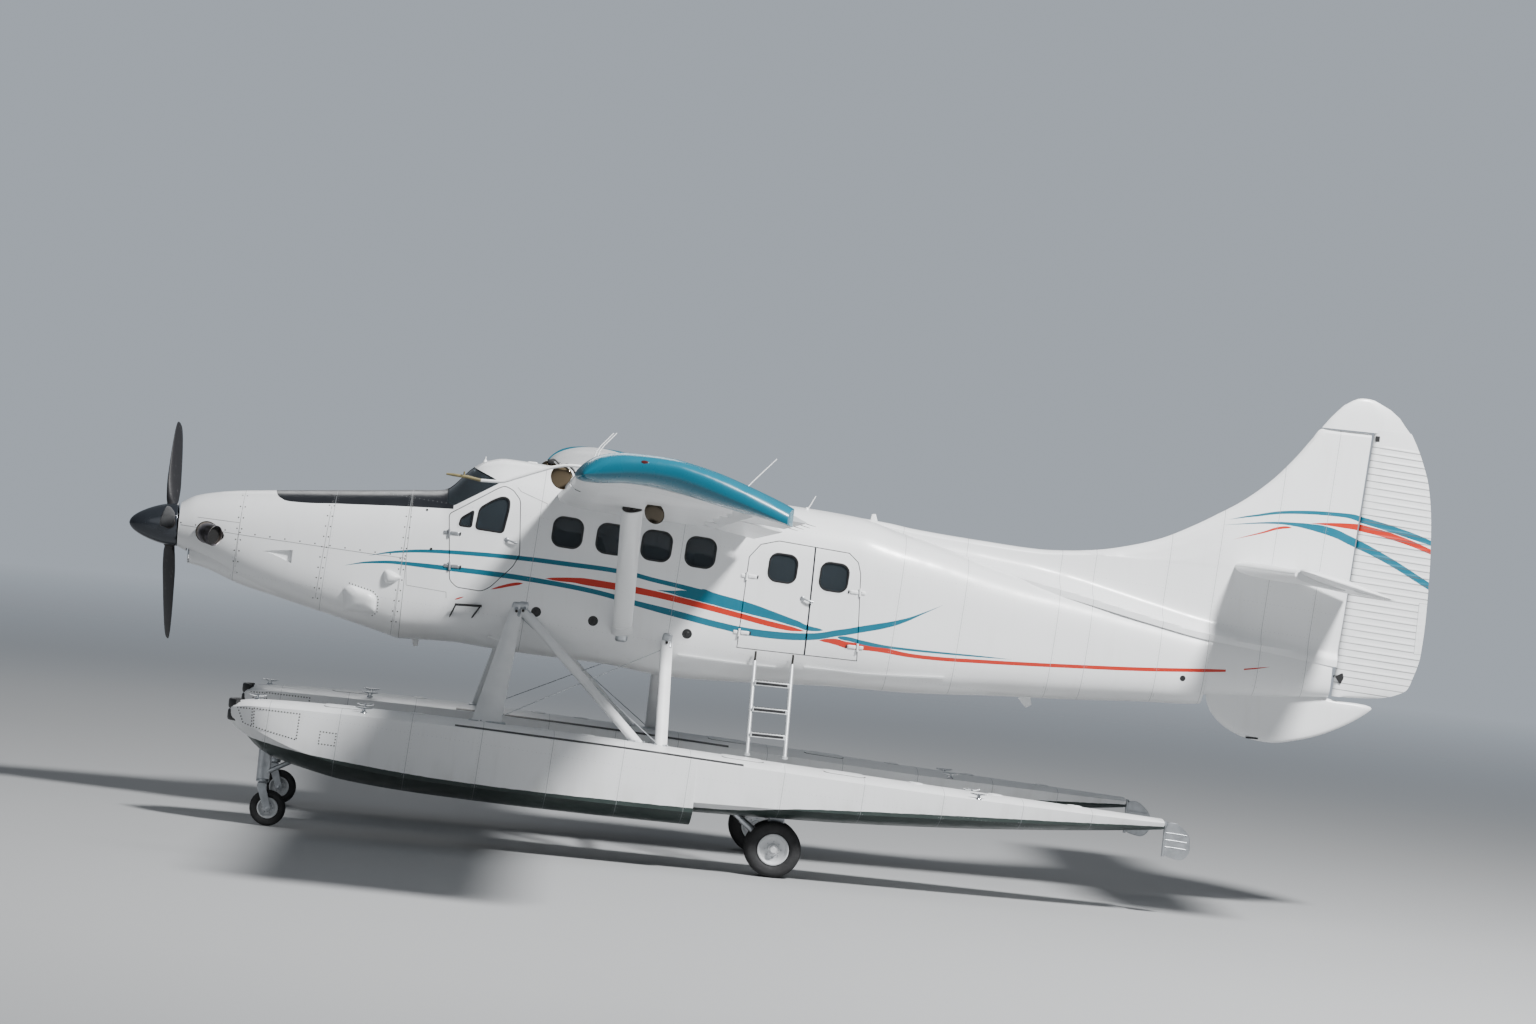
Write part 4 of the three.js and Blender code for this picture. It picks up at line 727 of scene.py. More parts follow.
def ribbed(colours):
    """The stripes of the rudder, a shade line under each of its beads and the outline of its trim tab."""
    stripes = livery(colours)
    tab_front, tab_low, tab_high = 6.566, 2.82, 3.345

    def over(n, x, y, z, base):
        base = stripes(n, x, y, z, base)
        off = n.math("PINGPONG", z + (x - 6.0) * math.tan(DATUM_TILT) + 0.0095, RUDDER_PITCH / 2)
        lines = n.ramp(off, 0.006, 0.0036) * n.near(z, [3.63], 1.28) * n.ramp(n.noise(2.0, 2), 0.3, 0.7, 0.5, 0.85)
        back, beside = x > tab_front, n.near(z, [3.082], 0.263)
        edges = n.most([n.near(x, [tab_front], 0.003) * beside, n.near(z, [tab_low, tab_high], 0.003) * back])
        return n.mix(n.most([lines * (1.0 - back * beside), edges * 0.6]), base, (0.1, 0.105, 0.11, 1))

    return over


def float_coat(colours):
    """White float sides over a dark bottom, with a worn line between them and salt stains above it."""

    def over(n, x, y, z, base):
        edge = n.curve(n.ramp(x, -5.4, 4.0), (0, 0.12, 0.3, 0.49, 0.62, 1), (0.62, 0.32, 0.12, 0.1, 0.3, 0.62))
        line = n.ramp(edge, 0, 1, 0.58, 1.1)
        below = z < line + (n.noise(9.0, 4) - 0.5) * 0.012
        stain = n.ramp(z - line, 0.22, 0.0) * n.ramp(n.noise(5.0, 5, (1, 1, 0.4)), 0.45, 0.75, 0, 0.35)
        base = n.mix(stain, base, (0.42, 0.42, 0.37, 1))
        return n.mix(below, base, n.mix(n.noise(7.0, 4), shade(colours["bottom"]), (0.035, 0.05, 0.045, 1)))

    return over


def plain(name, colour, roughness, metallic=0.0, grain=40.0, vary=0.12, depth=0.0004, stretch=(1, 1, 1), **others):
    """One colour that clouds a little, with a fine grain that changes its gloss and its surface."""
    n = Nodes(name)
    grains = n.noise(grain, 4, stretch)
    clouded = n.mix(n.ramp(n.noise(grain / 9, 3), 0.3, 0.7), shade(colour, 1 - vary), shade(colour, 1 + vary))
    n.bump(grains, depth, 0.5)
    return n.finish(clouded, n.ramp(grains, 0.3, 0.7, roughness * 0.85, min(1.0, roughness * 1.15)), metallic,
        **others)


def glass(name, tint, roughness=0.03):
    """Thin tinted glass with faint smears."""
    n = Nodes(name)
    return n.finish(shade(tint), n.ramp(n.noise(4.0, 4), 0.4, 0.8, roughness, roughness + 0.05),
        Transmission_Weight=0.92, IOR=1.45)


def heated(name):
    """Steel with straw and blue heat bands along the pipe and soot at its mouth."""
    n = Nodes(name)
    out = abs(n.axes()[1])
    band = n.noise(14.0, 4)
    colour = n.mix(n.ramp(out, 0.3, 0.42), (0.32, 0.26, 0.19, 1), (0.16, 0.15, 0.17, 1))
    colour = n.mix(n.ramp(out, 0.42, 0.47) * n.ramp(band, 0.3, 0.6, 0.4), colour, (0.03, 0.028, 0.026, 1))
    n.bump(band, 0.0006, 0.6)
    return n.finish(colour, n.ramp(band, 0.3, 0.7, 0.35, 0.6), 0.85)


def woven(name, colour, thread=0.004):
    """Cloth: two crossing thread waves, with lint and a soft sheen."""
    n = Nodes(name)
    across, down = (n.value("ShaderNodeTexWave", (("Vector", n.place), ("Scale", 0.5 / thread),
        ("Distortion", 0.6)), "Fac", bands_direction=axis) for axis in ("X", "Z"))
    weave, lint = across * down, n.noise(60.0, 4)
    n.bump(weave + lint * 0.5, 0.0008, 0.7)
    return n.finish(n.mix(weave, shade(colour, 0.6), shade(colour, 1.35)), n.ramp(lint, 0.3, 0.7, 0.75, 0.95),
        Sheen_Weight=0.3, Sheen_Roughness=0.5)


def blade_paint(name):
    """Satin black with a bare worn strip along the leading edges and pale nicks."""
    n = Nodes(name)
    worn = n.ramp(n.noise(24.0, 5), 0.62, 0.72)
    fine = n.noise(90.0, 3)
    n.bump(fine, 0.0003, 0.4)
    return n.finish(n.mix(worn * 0.35, (0.016, 0.016, 0.018, 1), (0.16, 0.16, 0.16, 1)),
        n.ramp(fine, 0.3, 0.7, 0.32, 0.5))


def dial_face(name):
    """Dark plastic for the instrument board, with a pebbled surface."""
    n = Nodes(name)
    pebble = n.value("ShaderNodeTexVoronoi", (("Vector", n.place), ("Scale", 260.0)), "Distance")
    n.bump(pebble, 0.0006, 0.6)
    return n.finish(n.mix(n.noise(12.0), (0.018, 0.018, 0.02, 1), (0.035, 0.035, 0.038, 1)),
        n.ramp(pebble, 0, 0.6, 0.5, 0.75))


def paved(name, colour, reach):
    """Pale matt floor with a very faint clouding, which thins out towards its rim and so meets the sky softly."""
    n = Nodes(name)
    cloud = n.noise(0.15, 4)
    x, y, _ = n.axes()
    rim = n.ramp(n.math("SQRT", x * x + y * y), reach * 0.13, reach * 0.6)
    clear = n.add("ShaderNodeBsdfTransparent").outputs[0]
    faded = n.add("ShaderNodeMixShader", ((0, rim), (1, n.shader.outputs[0]), (2, clear))).outputs[0]
    n.put(n.tree.nodes["Material Output"].inputs["Surface"], faded)
    return n.finish(n.mix(cloud, shade(colour, 0.985), shade(colour, 1.015)), 0.85)


def make_finishes(props):
    white, teal, red = tuple(props.white), tuple(props.teal), tuple(props.red)
    colours = {"teal": teal, "red": red, "bottom": tuple(props.float_bottom)}
    body_seams = [-5.53, -4.61, -3.86, -2.56, -1.1, 1.15, 1.82, 2.8, 3.15, 3.9, 4.4, 4.95, 5.45]
    FINISH.update(
        body=painted("body_paint", white, body_seams, [2.12, 3.16, 3.44], extra=livery(colours)),
        wing=painted("wing_paint", white, [0.9, 1.7, 2.5, 3.3, 4.1, 4.9, 5.7, 6.5, 7.3, 8.1],
                     [-2.15, -1.75, -1.25, -0.93], rivet_axis="y", dirt=0.6, gloss=0.32),
        rudder=painted("rudder_paint", white, dirt=0.6, gloss=0.3, extra=ribbed(colours)),
        plain_white=painted("plain_white_paint", white, dirt=0.7, gloss=0.3),
        float=painted("float_paint", white, [-4.9, -4.2, -3.5, -2.8, -2.1, -1.4, -0.74, 0.2, 1.0, 1.8, 2.6, 3.3],
                      [0.9], dirt=0.9, gloss=0.34, extra=float_coat(colours)),
        teal=painted("tip_paint", teal, dirt=0.25, gloss=0.2),
        spinner=plain("spinner_paint", tuple(props.spinner), 0.24, 0.55, grain=30, vary=0.08, Coat_Weight=0.4),
        blade=blade_paint("blade_paint"),
        glass=glass("window_glass", tuple(props.glass_tint)),
        seal=plain("window_rubber", (0.01, 0.01, 0.011), 0.42, grain=200),
        black=plain("satin_black", (0.014, 0.014, 0.015), 0.45, grain=120),
        tyre=plain("tyre_rubber", (0.02, 0.02, 0.021), 0.82, grain=160, vary=0.25, depth=0.001),
        strut=plain("strut_paint", [c * 0.93 for c in white], 0.36, 0.0, grain=22, vary=0.1, stretch=(1, 1, 0.3)),
        joint=plain("panel_joint", (0.2, 0.2, 0.2), 0.6, grain=60, vary=0.3),
        hub=plain("wheel_paint", (0.62, 0.63, 0.64), 0.38, 0.15, grain=60),
        metal=plain("gear_metal", (0.46, 0.48, 0.5), 0.36, 0.85, grain=90, vary=0.18),
        rail=plain("ladder_metal", (0.66, 0.68, 0.69), 0.33, 0.6, grain=80, vary=0.1),
        bright=plain("polished_metal", (0.75, 0.76, 0.77), 0.14, 1.0, grain=50, vary=0.05),
        mirror=plain("mirror_face", (0.22, 0.17, 0.11), 0.1, 1.0, grain=8, vary=0.06, depth=0.0001),
        # a darker copy of the mirror finish for the rear mirror: painted shade
        dark_mirror=plain("mirror_painted_shade", (0.1, 0.085, 0.065), 0.12, 1.0, grain=8, vary=0.2, depth=0.0001),
        khaki=plain("pitot_paint", (0.18, 0.15, 0.07), 0.45, grain=90, vary=0.2),
        dark_metal=plain("dark_fittings", (0.045, 0.042, 0.04), 0.5, 0.5, grain=110, vary=0.3),
        exhaust=heated("exhaust_steel"),
        # near-black plug inside each exhaust mouth: partly soot, partly painted shade for the pipe's dark depth
        soot=plain("exhaust_soot", (0.006, 0.006, 0.006), 0.85, grain=90, vary=0.4),
        trim=plain("cabin_trim", (0.075, 0.08, 0.088), 0.75, grain=70),
        carpet=woven("cabin_carpet", (0.03, 0.033, 0.04), 0.006),
        cloth=woven("seat_cloth", (0.045, 0.055, 0.075)),
        leather=plain("seat_leather", (0.045, 0.05, 0.06), 0.5, grain=180, vary=0.15, depth=0.0008),
        board=dial_face("instrument_board"),
        dial=plain("dial_glass", (0.008, 0.009, 0.012), 0.12, grain=20, Coat_Weight=0.6),
        marks=plain("dial_marks", (0.8, 0.8, 0.78), 0.5, grain=30),
        lamp=plain("lamp_lens", (0.85, 0.86, 0.84), 0.08, 0.0, grain=20, vary=0.04, Coat_Weight=0.8),
        red_lamp=plain("red_lens", (0.07, 0.01, 0.01), 0.1, grain=20, Coat_Weight=0.8),
        green_lamp=plain("green_lens", (0.008, 0.07, 0.022), 0.1, grain=20, Coat_Weight=0.8),
    )


def cushion(centre, size, lean=0.0, crown=2.4, corner=5.0, seams=(), seam_depth=0.01):
    """A crowned pad: a superellipse in plan and a softer one in height, its edges pulled in between the corners,
    with sewn channels across it. It leans about the Y axis."""
    a = ring_angles(64)[None]
    b = np.linspace(-np.pi / 2, np.pi / 2, 26)[:, None]
    out, up = lobe(b, crown) * np.cos(b), lobe(b, crown) * np.sin(b)
    half = np.asarray(size, float) / 2
    reach = out * lobe(a, corner) * (1 - 0.035 * np.cos(2 * a) ** 2)
    x, y = half[0] * reach * np.cos(a), half[1] * reach * np.sin(a)
    z = half[2] * up * (1 + 0.1 * (1 - out ** 2)) / 1.1 + 0 * x
    for place in seams:
        z = z - np.sign(up) * seam_depth * np.exp(-((x / half[0] - place) / 0.035) ** 2) * (np.abs(up) > 0.5)
    c, s = math.cos(lean), math.sin(lean)
    return surface(np.stack([x * c + z * s, y, z * c - x * s], -1) + np.asarray(centre, float))


# ---- body, doors and glass

WALL, ROOF = 0.045, 0.06
WINDOW_HOLE, WINDOW_CORNER = 0.305, 0.098
PILOT_OUTLINE = rounded(PILOT_DOOR, 0.035)
DOORS = (
    ("pilot_door_left", PILOT_OUTLINE, PORT),
    ("pilot_door_right", PILOT_OUTLINE, STARBOARD),
    ("cabin_door_front", FRONT_LEAF, PORT),
    ("cabin_door_rear", REAR_LEAF, PORT),
    ("cabin_door_right", FRONT_LEAF, STARBOARD),
)
CABIN_PANES = [rounded_square(centre, WINDOW_HOLE, WINDOW_HOLE, WINDOW_CORNER) for centre in CABIN_WINDOWS]


def cabin_room():
    """Room inside the cabin: the body's section drawn in by the wall and the roof, and cut level at the floor."""
    xs = stations(FIREWALL_X + 0.05, CABIN_REAR_X - 0.05, 0.07)
    grid = body_rings(xs, 0.0, 72, walls=(WALL, ROOF, WALL))
    return surface(np.maximum(grid, (-99, -99, FLOOR_Z)))


def through(outline, side, inner=0.3):
    """A prism through the body's wall on one side."""
    return prism(outline, *sorted((side * inner, side * 0.95)))


def front_glazing():
    """The windshield's two panes, as prisms from the centre post out through the cabin's nose."""
    return [through(rounded(WINDSHIELD, 0.03), side, 0.028) for side in (PORT, STARBOARD)]


def door_glazing(node):
    if node.startswith("pilot"):
        return [rounded(QUARTER_WINDOW, 0.03), rounded(SIDE_WINDOW, 0.045)]
    return [rounded_square(DOOR_WINDOWS["rear" if node == "cabin_door_rear" else "front"], 0.29, 0.29, 0.092)]


def make_body(props):
    """Fuselage skin from the firewall to the stern, hollow at the cabin, and its doors cut from the same wall."""
    wall, side_wall = (tidied(carved(solid(name, body_part(start, end, 0.045)), cabin_room(), "trim")) for name,
        start, end in (("fuselage_skin", FIREWALL_X, 5.722), ("side_wall", -3.7, 1.0)))
    for node, outline, side in DOORS:
        door = carved(copied(side_wall, node + "_skin"), through(shrunk(outline, 0.008), side), "trim", "INTERSECT")
        carved(door, joined([through(hole, side) for hole in door_glazing(node)]), "seal")
        placed(tidied(door), node, (node,))
        glaze(node, door_glazing(node), side, node, props)
    holes = [through(pane, side) for pane in CABIN_PANES for side in (PORT, STARBOARD)]
    carved(wall, joined(holes + front_glazing()), "seal")
    whole = FRONT_LEAF[:2] + REAR_LEAF[1:5] + FRONT_LEAF[3:]
    carved(wall, joined([through(PILOT_OUTLINE, PORT), through(PILOT_OUTLINE, STARBOARD), through(whole, PORT),
        through(FRONT_LEAF, STARBOARD)]))
    placed(tidied(wall), replaces=("fuselage_shell", "tail_cone"))
    bpy.data.objects.remove(side_wall)
    for word, side in SIDES:
        glaze("cabin_windows_" + word, CABIN_PANES, side, AIRFRAME, props)
    panes = carved(solid("front_glass", body_part(-3.56, -2.62, 0.03, -0.01), "glass"),
        body_part(-3.6, -2.58, 0.03, -0.018), "glass")
    placed(tidied(carved(panes, joined(front_glazing()), "glass", "INTERSECT")))


def glaze(name, outlines, side, body, props):
    """Panes that follow the skin a little way in, each in a rubber ring that covers the cut edge."""
    glass, rubber, rim = zip(*((skin_plate(shrunk(o, -0.002), -0.012, -0.012 - props.glass_thickness, 7),
        skin_frame(shrunk(o, -0.006), props.window_frame, 0.004, -0.022), skin_frame(shrunk(o, -0.017), 0.012,
        0.0035, -0.003)) for o in outlines))
    for word, parts, finish, sharp in (("glass", glass, "glass", 32), ("rubber", rubber, "seal", 50),
        ("rims", rim, "plain_white", 50)):
        piece(f"{name}_{word}", joined(parts), finish, body, sharp=sharp, side=side)


def make_cowling():
    """Engine cowling: the body's own section run forward to the spinner, with a chin inlet under it and bores
    for the spinner and the two exhaust pipes."""
    cowl = solid("engine_cowling_skin", body_part(-6.143, FIREWALL_X - 0.003, 0.04))
    carved(cowl, body_part(-6.01, -4.64, 0.05, 0, 48, CHIN), "body", "UNION")
    # The new faces inside the hollow, the chin inlet and the bores for the spinner and the exhausts are satin
    # black: painted shade for the dark inside of the cowling.
    carved(cowl, body_part(-6.015, -3.8, 0.08, -0.055, 48), "black")
    carved(cowl, body_part(-6.05, -5.6, 0.06, -0.016, 40, CHIN), "black")
    carved(cowl, tube(thrust_line([(0.05, 0, 0), (0.12, 0, 0), (0.3, 0, 0)]), 0.165, 48), "black")
    for side in (PORT, STARBOARD):
        pipe = tube(curve_through(EXHAUST + [(-5.72, -0.487, 2.763)], 24), 0.114, 48)
        carved(cowl, on_side(pipe, side), "black")
        carved(cowl, on_side(duct_cutter(), side))
    placed(tidied(cowl), replaces=("engine_cowling",))
    lip = ((0.0, 0.002), (-0.01, 0.004), (-0.016, -0.004), (-0.012, -0.014), (0.03, -0.018), (0.0, 0.002))
    rows = [body_rings(np.array([-6.0095]), grow, 64, CHIN)[0] + (ahead, 0, 0) for ahead, grow in lip]
    piece("inlet_lip", surface(np.stack(rows), ends=False), "bright")


def duct_cutter():
    """Wedge that opens a flush duct: its floor sinks evenly from the point to the wide end."""
    outline = resampled([(-5.262, 2.668), (-5.17, 2.684), (-5.06, 2.699), (-4.96, 2.711), (-4.964, 2.576),
        (-5.08, 2.622), (-5.18, 2.653), (-5.262, 2.668)], 0.03)[:-1]
    depth = 0.003 + 0.042 * np.clip((outline[:, 0] + 5.262) / 0.3, 0, 1)
    return surface(np.stack([np.insert(outline, 1, -0.9, axis=1), on_skin(outline, -depth)]))


# ---- propeller and exhaust

HUB = np.array([-6.238, 0.0, 2.828])
THRUST_TILT = math.radians(2.7)
BLADE_AZIMUTHS = (36.5, 156.5, 276.5)
SPINNER = [(-0.415, 0.0), (-0.404, 0.032), (-0.36, 0.08), (-0.28, 0.128), (-0.18, 0.17), (-0.08, 0.199),
    (0.01, 0.214), (0.074, 0.219)]
BLADE = [  # radius, chord, thickness, angle from the plane of rotation
    (0.09, 0.104, 0.104, 62), (0.235, 0.104, 0.1, 60), (0.33, 0.15, 0.06, 52), (0.56, 0.196, 0.036, 42),
    (0.85, 0.2, 0.026, 33), (1.12, 0.172, 0.018, 27), (1.235, 0.13, 0.013, 24), (1.272, 0.08, 0.009, 23.2),
    (1.28, 0.02, 0.004, 23),
]
EXHAUST = [(-5.85, -0.12, 2.802), (-5.85, -0.25, 2.798), (-5.84, -0.34, 2.79), (-5.805, -0.41, 2.78),
    (-5.755, -0.455, 2.77)]


def thrust_line(points):
    """Points given behind, beside and above the hub, tilted nose down with the engine and moved to the hub."""
    c, s = math.cos(THRUST_TILT), math.sin(THRUST_TILT)
    return np.asarray(points, float) @ np.array([[c, 0, s], [0, 1, 0], [-s, 0, c]]) + HUB


def spun(part, degrees):
    """A part about the hub turned by an angle from straight up towards starboard."""
    c, s = math.cos(math.radians(degrees)), math.sin(math.radians(degrees))
    return thrust_line(part[0] @ np.array([[1, 0, 0], [0, c, -s], [0, s, c]])), part[1]


def blade_part():
    """One blade: sections of a chord and a thickness, twisted by the pitch at each radius. The section is an
    ellipse whose rear half is drawn thin."""
    radii = np.unique(np.concatenate([np.linspace(0.09, 1.235, 40), np.linspace(1.235, 1.28, 8)]))[:, None]
    chord, thick, pitch = smooth(BLADE, radii[:, 0]).T[:, :, None]
    a, turn = ring_angles(28)[None], np.radians(pitch)
    u = chord / 2 * np.cos(a)
    v = thick / 2 * np.sin(a) * np.where(radii > 0.28, 1 - 0.3 * np.cos(a), 1)
    return surface(np.stack([u * np.sin(turn) - v * np.cos(turn), u * np.cos(turn) + v * np.sin(turn), radii
        + 0 * u], -1))


def make_propeller():
    xs = -0.415 + 0.489 * np.linspace(0, 1, 48) ** 1.7
    profile = np.stack([xs, smooth(SPINNER, xs)[:, 0]], 1)
    profile[0, 1] = 0
    shell = [*profile, (0.078, 0.217), (0.078, 0.195), (0.07, 0.19), (-0.05, 0.15), (-0.07, 0.0)]
    cone = solid("spinner_skin", turned(shell, (0, 0, 0), (1, 0, 0), 72), "spinner")
    for azimuth in BLADE_AZIMUTHS:
        out = np.array([0, math.sin(math.radians(azimuth)), math.cos(math.radians(azimuth))])
        # The walls of each blade's hole are satin black: painted shade in the gap round the blade root.
        carved(cone, rod((0, 0, 0), out, (0.08, 0.16, 0.3), 0.064, 40), "black")
    cone.data.transform(Matrix.Translation(HUB) @ Matrix.Rotation(-THRUST_TILT, 4, "Y"))
    placed(tidied(cone), "propeller", ("spinner",))
    hub = turned([(-0.07, 0), (-0.07, 0.11), (-0.05, 0.12), (0.06, 0.12), (0.08, 0.11), (0.08, 0)], (0, 0, 0),
        (1, 0, 0))
    cuff = turned([(0.2, 0.056), (0.205, 0.062), (0.222, 0.062), (0.228, 0.056)], (0, 0, 0), (0, 0, 1), 32)
    blades = [spun(blade_part(), azimuth) for azimuth in BLADE_AZIMUTHS] + [spun(hub, 0)]
    piece("propeller_blades_skin", blades, "blade", "propeller", ("propeller_blades",))
    piece("blade_clamps", [spun(cuff, azimuth) for azimuth in BLADE_AZIMUTHS], "dark_metal", "propeller")
    path = curve_through(EXHAUST, 26)
    outer, inner = (tube(path, radius, 48)[0][:26 * 48].reshape(26, 48, 3) for radius in (0.105, 0.097))
    lip = (outer[-1] + inner[-1]) / 2 + unit(path[-1] - path[-2]) * 0.004
    both("exhaust_pipe_{}", surface(np.concatenate([outer, lip[None], inner[:5:-1]])), "exhaust",
        replaces="exhaust_{}")
    # A near-black plug 35 mm inside each pipe's mouth closes it: partly soot, partly painted shade standing in for
    # the dark depth of the pipe.
    out = unit(path[-1] - path[-4])
    both("exhaust_bore_{}", turned([(0, 0), (-0.006, 0.06), (-0.002, 0.0965), (0.004, 0.0965), (0, 0.06),
        (0.004, 0)], path[-1] - out * 0.035, out), "soot")


# ---- wings

WING_CHORD, WING_LE_X, WING_LE_Z = 2.02, -2.372, 3.512
WING_INCIDENCE, DIHEDRAL = math.radians(5.3), math.radians(2)
REAR_SPAR, HINGE_BACK = 0.72, 0.096
FLAP_SPAN, AILERON_SPAN = (0.96, 5.38), (5.42, 8.44)
AILERON_DROOP, FLAP_DROOP = 9, 13  # degrees below the wing's own line
TIP_START, TIP_END = 8.48, 8.84
LIFT_START, LIFT_UPPER, LIFT_LOWER = 7.4, 0.032, 0.05
TIP_CAP_Y = 8.66
TIP_CAP = [  # x, top z, bottom z and the z of the outer edge, at one span position
    (-2.384, 3.836, 3.806, 3.822), (-2.366, 3.866, 3.788, 3.83), (-2.302, 3.935, 3.77, 3.85),
    (-2.202, 4.0, 3.766, 3.876), (-2.08, 4.034, 3.776, 3.898), (-1.957, 4.047, 3.788, 3.916),
    (-1.778, 4.048, 3.79, 3.928), (-1.563, 4.038, 3.768, 3.92), (-1.344, 4.0, 3.724, 3.875),
    (-1.16, 3.957, 3.686, 3.816), (-0.975, 3.9, 3.65, 3.754), (-0.751, 3.823, 3.612, 3.672),
    (-0.563, 3.752, 3.58, 3.604), (-0.489, 3.72, 3.566, 3.58),
]


def wing_height(s, upper, thickness=0.15, camber=0.04, peak=0.4):
    """Height of the wing section at a share of the chord: the four-digit camber line, plus or minus half of
    the four-digit thickness."""
    s = np.asarray(s, float)
    half = 5 * thickness * (0.2969 * np.sqrt(s) - 0.126 * s - 0.3516 * s ** 2 + 0.2843 * s ** 3 - 0.1015 * s ** 4)
    front = camber / peak ** 2 * (2 * peak * s - s * s)
    rear = camber / (1 - peak) ** 2 * (1 - 2 * peak + 2 * peak * s - s * s)
    return np.where(s < peak, front, rear) + (half if upper else -half)


def wing_place(s, h, y):
    """Points of the port wing from shares of the chord along and above it, at span positions."""
    u, v = s * WING_CHORD, h * WING_CHORD
    c, t = math.cos(WING_INCIDENCE), math.sin(WING_INCIDENCE)
    return np.stack(np.broadcast_arrays(WING_LE_X + u * c + v * t, -y, WING_LE_Z - u * t + v * c
        + y * math.tan(DIHEDRAL)), -1)


def chord_steps(last, count=34):
    return last * (1 - np.cos(np.linspace(0, np.pi / 2, count)))


def wing_panel(y0, y1, last, rows):
    """Fixed part of the port wing between two span positions. Its outer end rises towards the tip cap by a
    smooth step of the span times a sine of the chord."""
    s = chord_steps(last)
    shares = np.concatenate([s, s[:0:-1]])
    heights = np.concatenate([wing_height(s, True), wing_height(s, False)[:0:-1]])
    most = np.where(np.arange(len(shares)) < len(s), LIFT_UPPER, LIFT_LOWER)
    y = np.linspace(y0, y1, rows)[:, None]
    t = np.clip((y - LIFT_START) / (TIP_START - LIFT_START), 0, 1)
    lift = most * t * t * (3 - 2 * t) * np.sin(np.pi * np.minimum(1, shares / REAR_SPAR) ** 0.65)
    return surface(wing_place(shares[None], heights + lift, y))


def strip_cap(ring):
    """End face of a thin curved ring: a strip from its first half to its second half run backwards."""
    half = len(ring) // 2
    return surface(np.stack([ring[:half], ring[:half - 1:-1]]), wrap=False, ends=False)


def tip_part():
    """Wing tip: at each step out the section thins about its outer edge's height by the cube root of one minus
    the cube of the way, and both ends draw in."""
    t = np.sin(np.linspace(0, np.pi / 2, 20))[:, None]
    xs = TIP_CAP[0][0] + (TIP_CAP[-1][0] - TIP_CAP[0][0]) * (1 - np.cos(np.linspace(0, np.pi, 54))) / 2
    top, bottom, edge = smooth(TIP_CAP, xs).T
    x, z, middle = (np.concatenate([a, b[::-1]]) for a, b in ((xs, xs), (top, bottom), (edge, edge)))
    shrink = np.clip(1 - t ** 3, 0.00003, 1) ** (1 / 3)
    half_length = (xs[-1] - xs[0]) / 2
    across = (x - xs[0] - half_length) * (1 - 0.07 * t ** 2.2 / half_length) + xs[0] + half_length
    y = TIP_START + 0.0004 + (TIP_END - TIP_START - 0.0004) * t
    height = middle + (z - middle) * shrink + (y - TIP_CAP_Y) * math.tan(DIHEDRAL)
    grid = np.stack(np.broadcast_arrays(across, -y, height), -1)
    grid[-1, ::-1] = grid[-1] = (grid[-1] + grid[-1, ::-1]) / 2
    return joined([surface(grid, ends=False), strip_cap(grid[0])])


def root_part():
    """The wing's top skin, carried on into the body's roof: a strip of even thickness under the same curve."""
    s = chord_steps(0.7)
    upper = wing_height(s, True)
    shares, heights = np.concatenate([s, s[::-1]]), np.concatenate([upper, upper[::-1] - 0.02])
    grid = wing_place(shares[None], heights[None], np.array([[0.54], [0.642]]))
    return joined([surface(grid, ends=False), strip_cap(grid[0]), strip_cap(grid[-1][::-1])])


def hinge_at(y):
    middle = (wing_height(REAR_SPAR, True) + wing_height(REAR_SPAR, False)) / 2
    return wing_place(REAR_SPAR + HINGE_BACK / WING_CHORD, middle, np.asarray(y, float))


def trailing_part(span, droop):
    """Flap or aileron: an arc of one radius about the hinge line for a nose, then two flats to a thin edge."""
    nose, length = 0.08, (1 - REAR_SPAR) * WING_CHORD - HINGE_BACK
    arc = np.radians(np.linspace(75, 285, 22))
    ring = nose * np.stack([np.cos(arc), np.sin(arc)], 1)
    back = np.linspace(0, 1, 9)[1:, None]
    lower = ring[-1] * (1 - back) + (length, -0.005) * back
    u, v = np.concatenate([ring, lower, lower[::-1] * (1, -1)])[:-1].T
    angle, hinge = WING_INCIDENCE + math.radians(droop), hinge_at(np.linspace(*span, 40))[:, None]
    c, s = math.cos(angle), math.sin(angle)
    return surface(hinge + np.stack([u * c + v * s, 0 * u, v * c - u * s], -1))


def bracket_part(y):
    """Hinge arm under the wing's rear edge: a thin leaf from the rear spar to the hinge pin."""
    outline = softened([(-0.17, -0.03), (-0.17, -0.11), (-0.06, -0.125), (0.03, -0.1), (0.035, -0.07),
        (-0.02, -0.086), (-0.09, -0.085)], 2)
    return prism(outline + hinge_at(y)[[0, 2]], -y - 0.006, -y + 0.006)


def make_wings():
    panels = [wing_panel(0.64, TIP_START, REAR_SPAR, 34), wing_panel(0.64, 0.948, 0.97, 3), root_part()]
    both("wing_{}_skin", panels, "wing", replaces="wing_{}")
    both("wing_tip_{}_skin", tip_part(), "teal", replaces="wing_tip_{}", sharp=40)
    both("flap_{}_skin", trailing_part(FLAP_SPAN, FLAP_DROOP), "wing", "flap_{}", replaces="flap_{}")
    both("aileron_{}_skin", trailing_part(AILERON_SPAN, AILERON_DROOP), "wing", "aileron_{}", replaces="aileron_{}")
    strut = faired((-1.59, -0.7, 2.218), (-1.736, -4.44, 3.519), 0.2, 0.2, 0.078, 12)
    both("wing_strut_{}_skin", strut, "plain_white", replaces="wing_strut_{}")
    both("hinge_arms_{}", [bracket_part(y) for y in (1.5, 3.2, 4.8, 5.9, 7.2, 8.1)], "plain_white")


# ---- tail

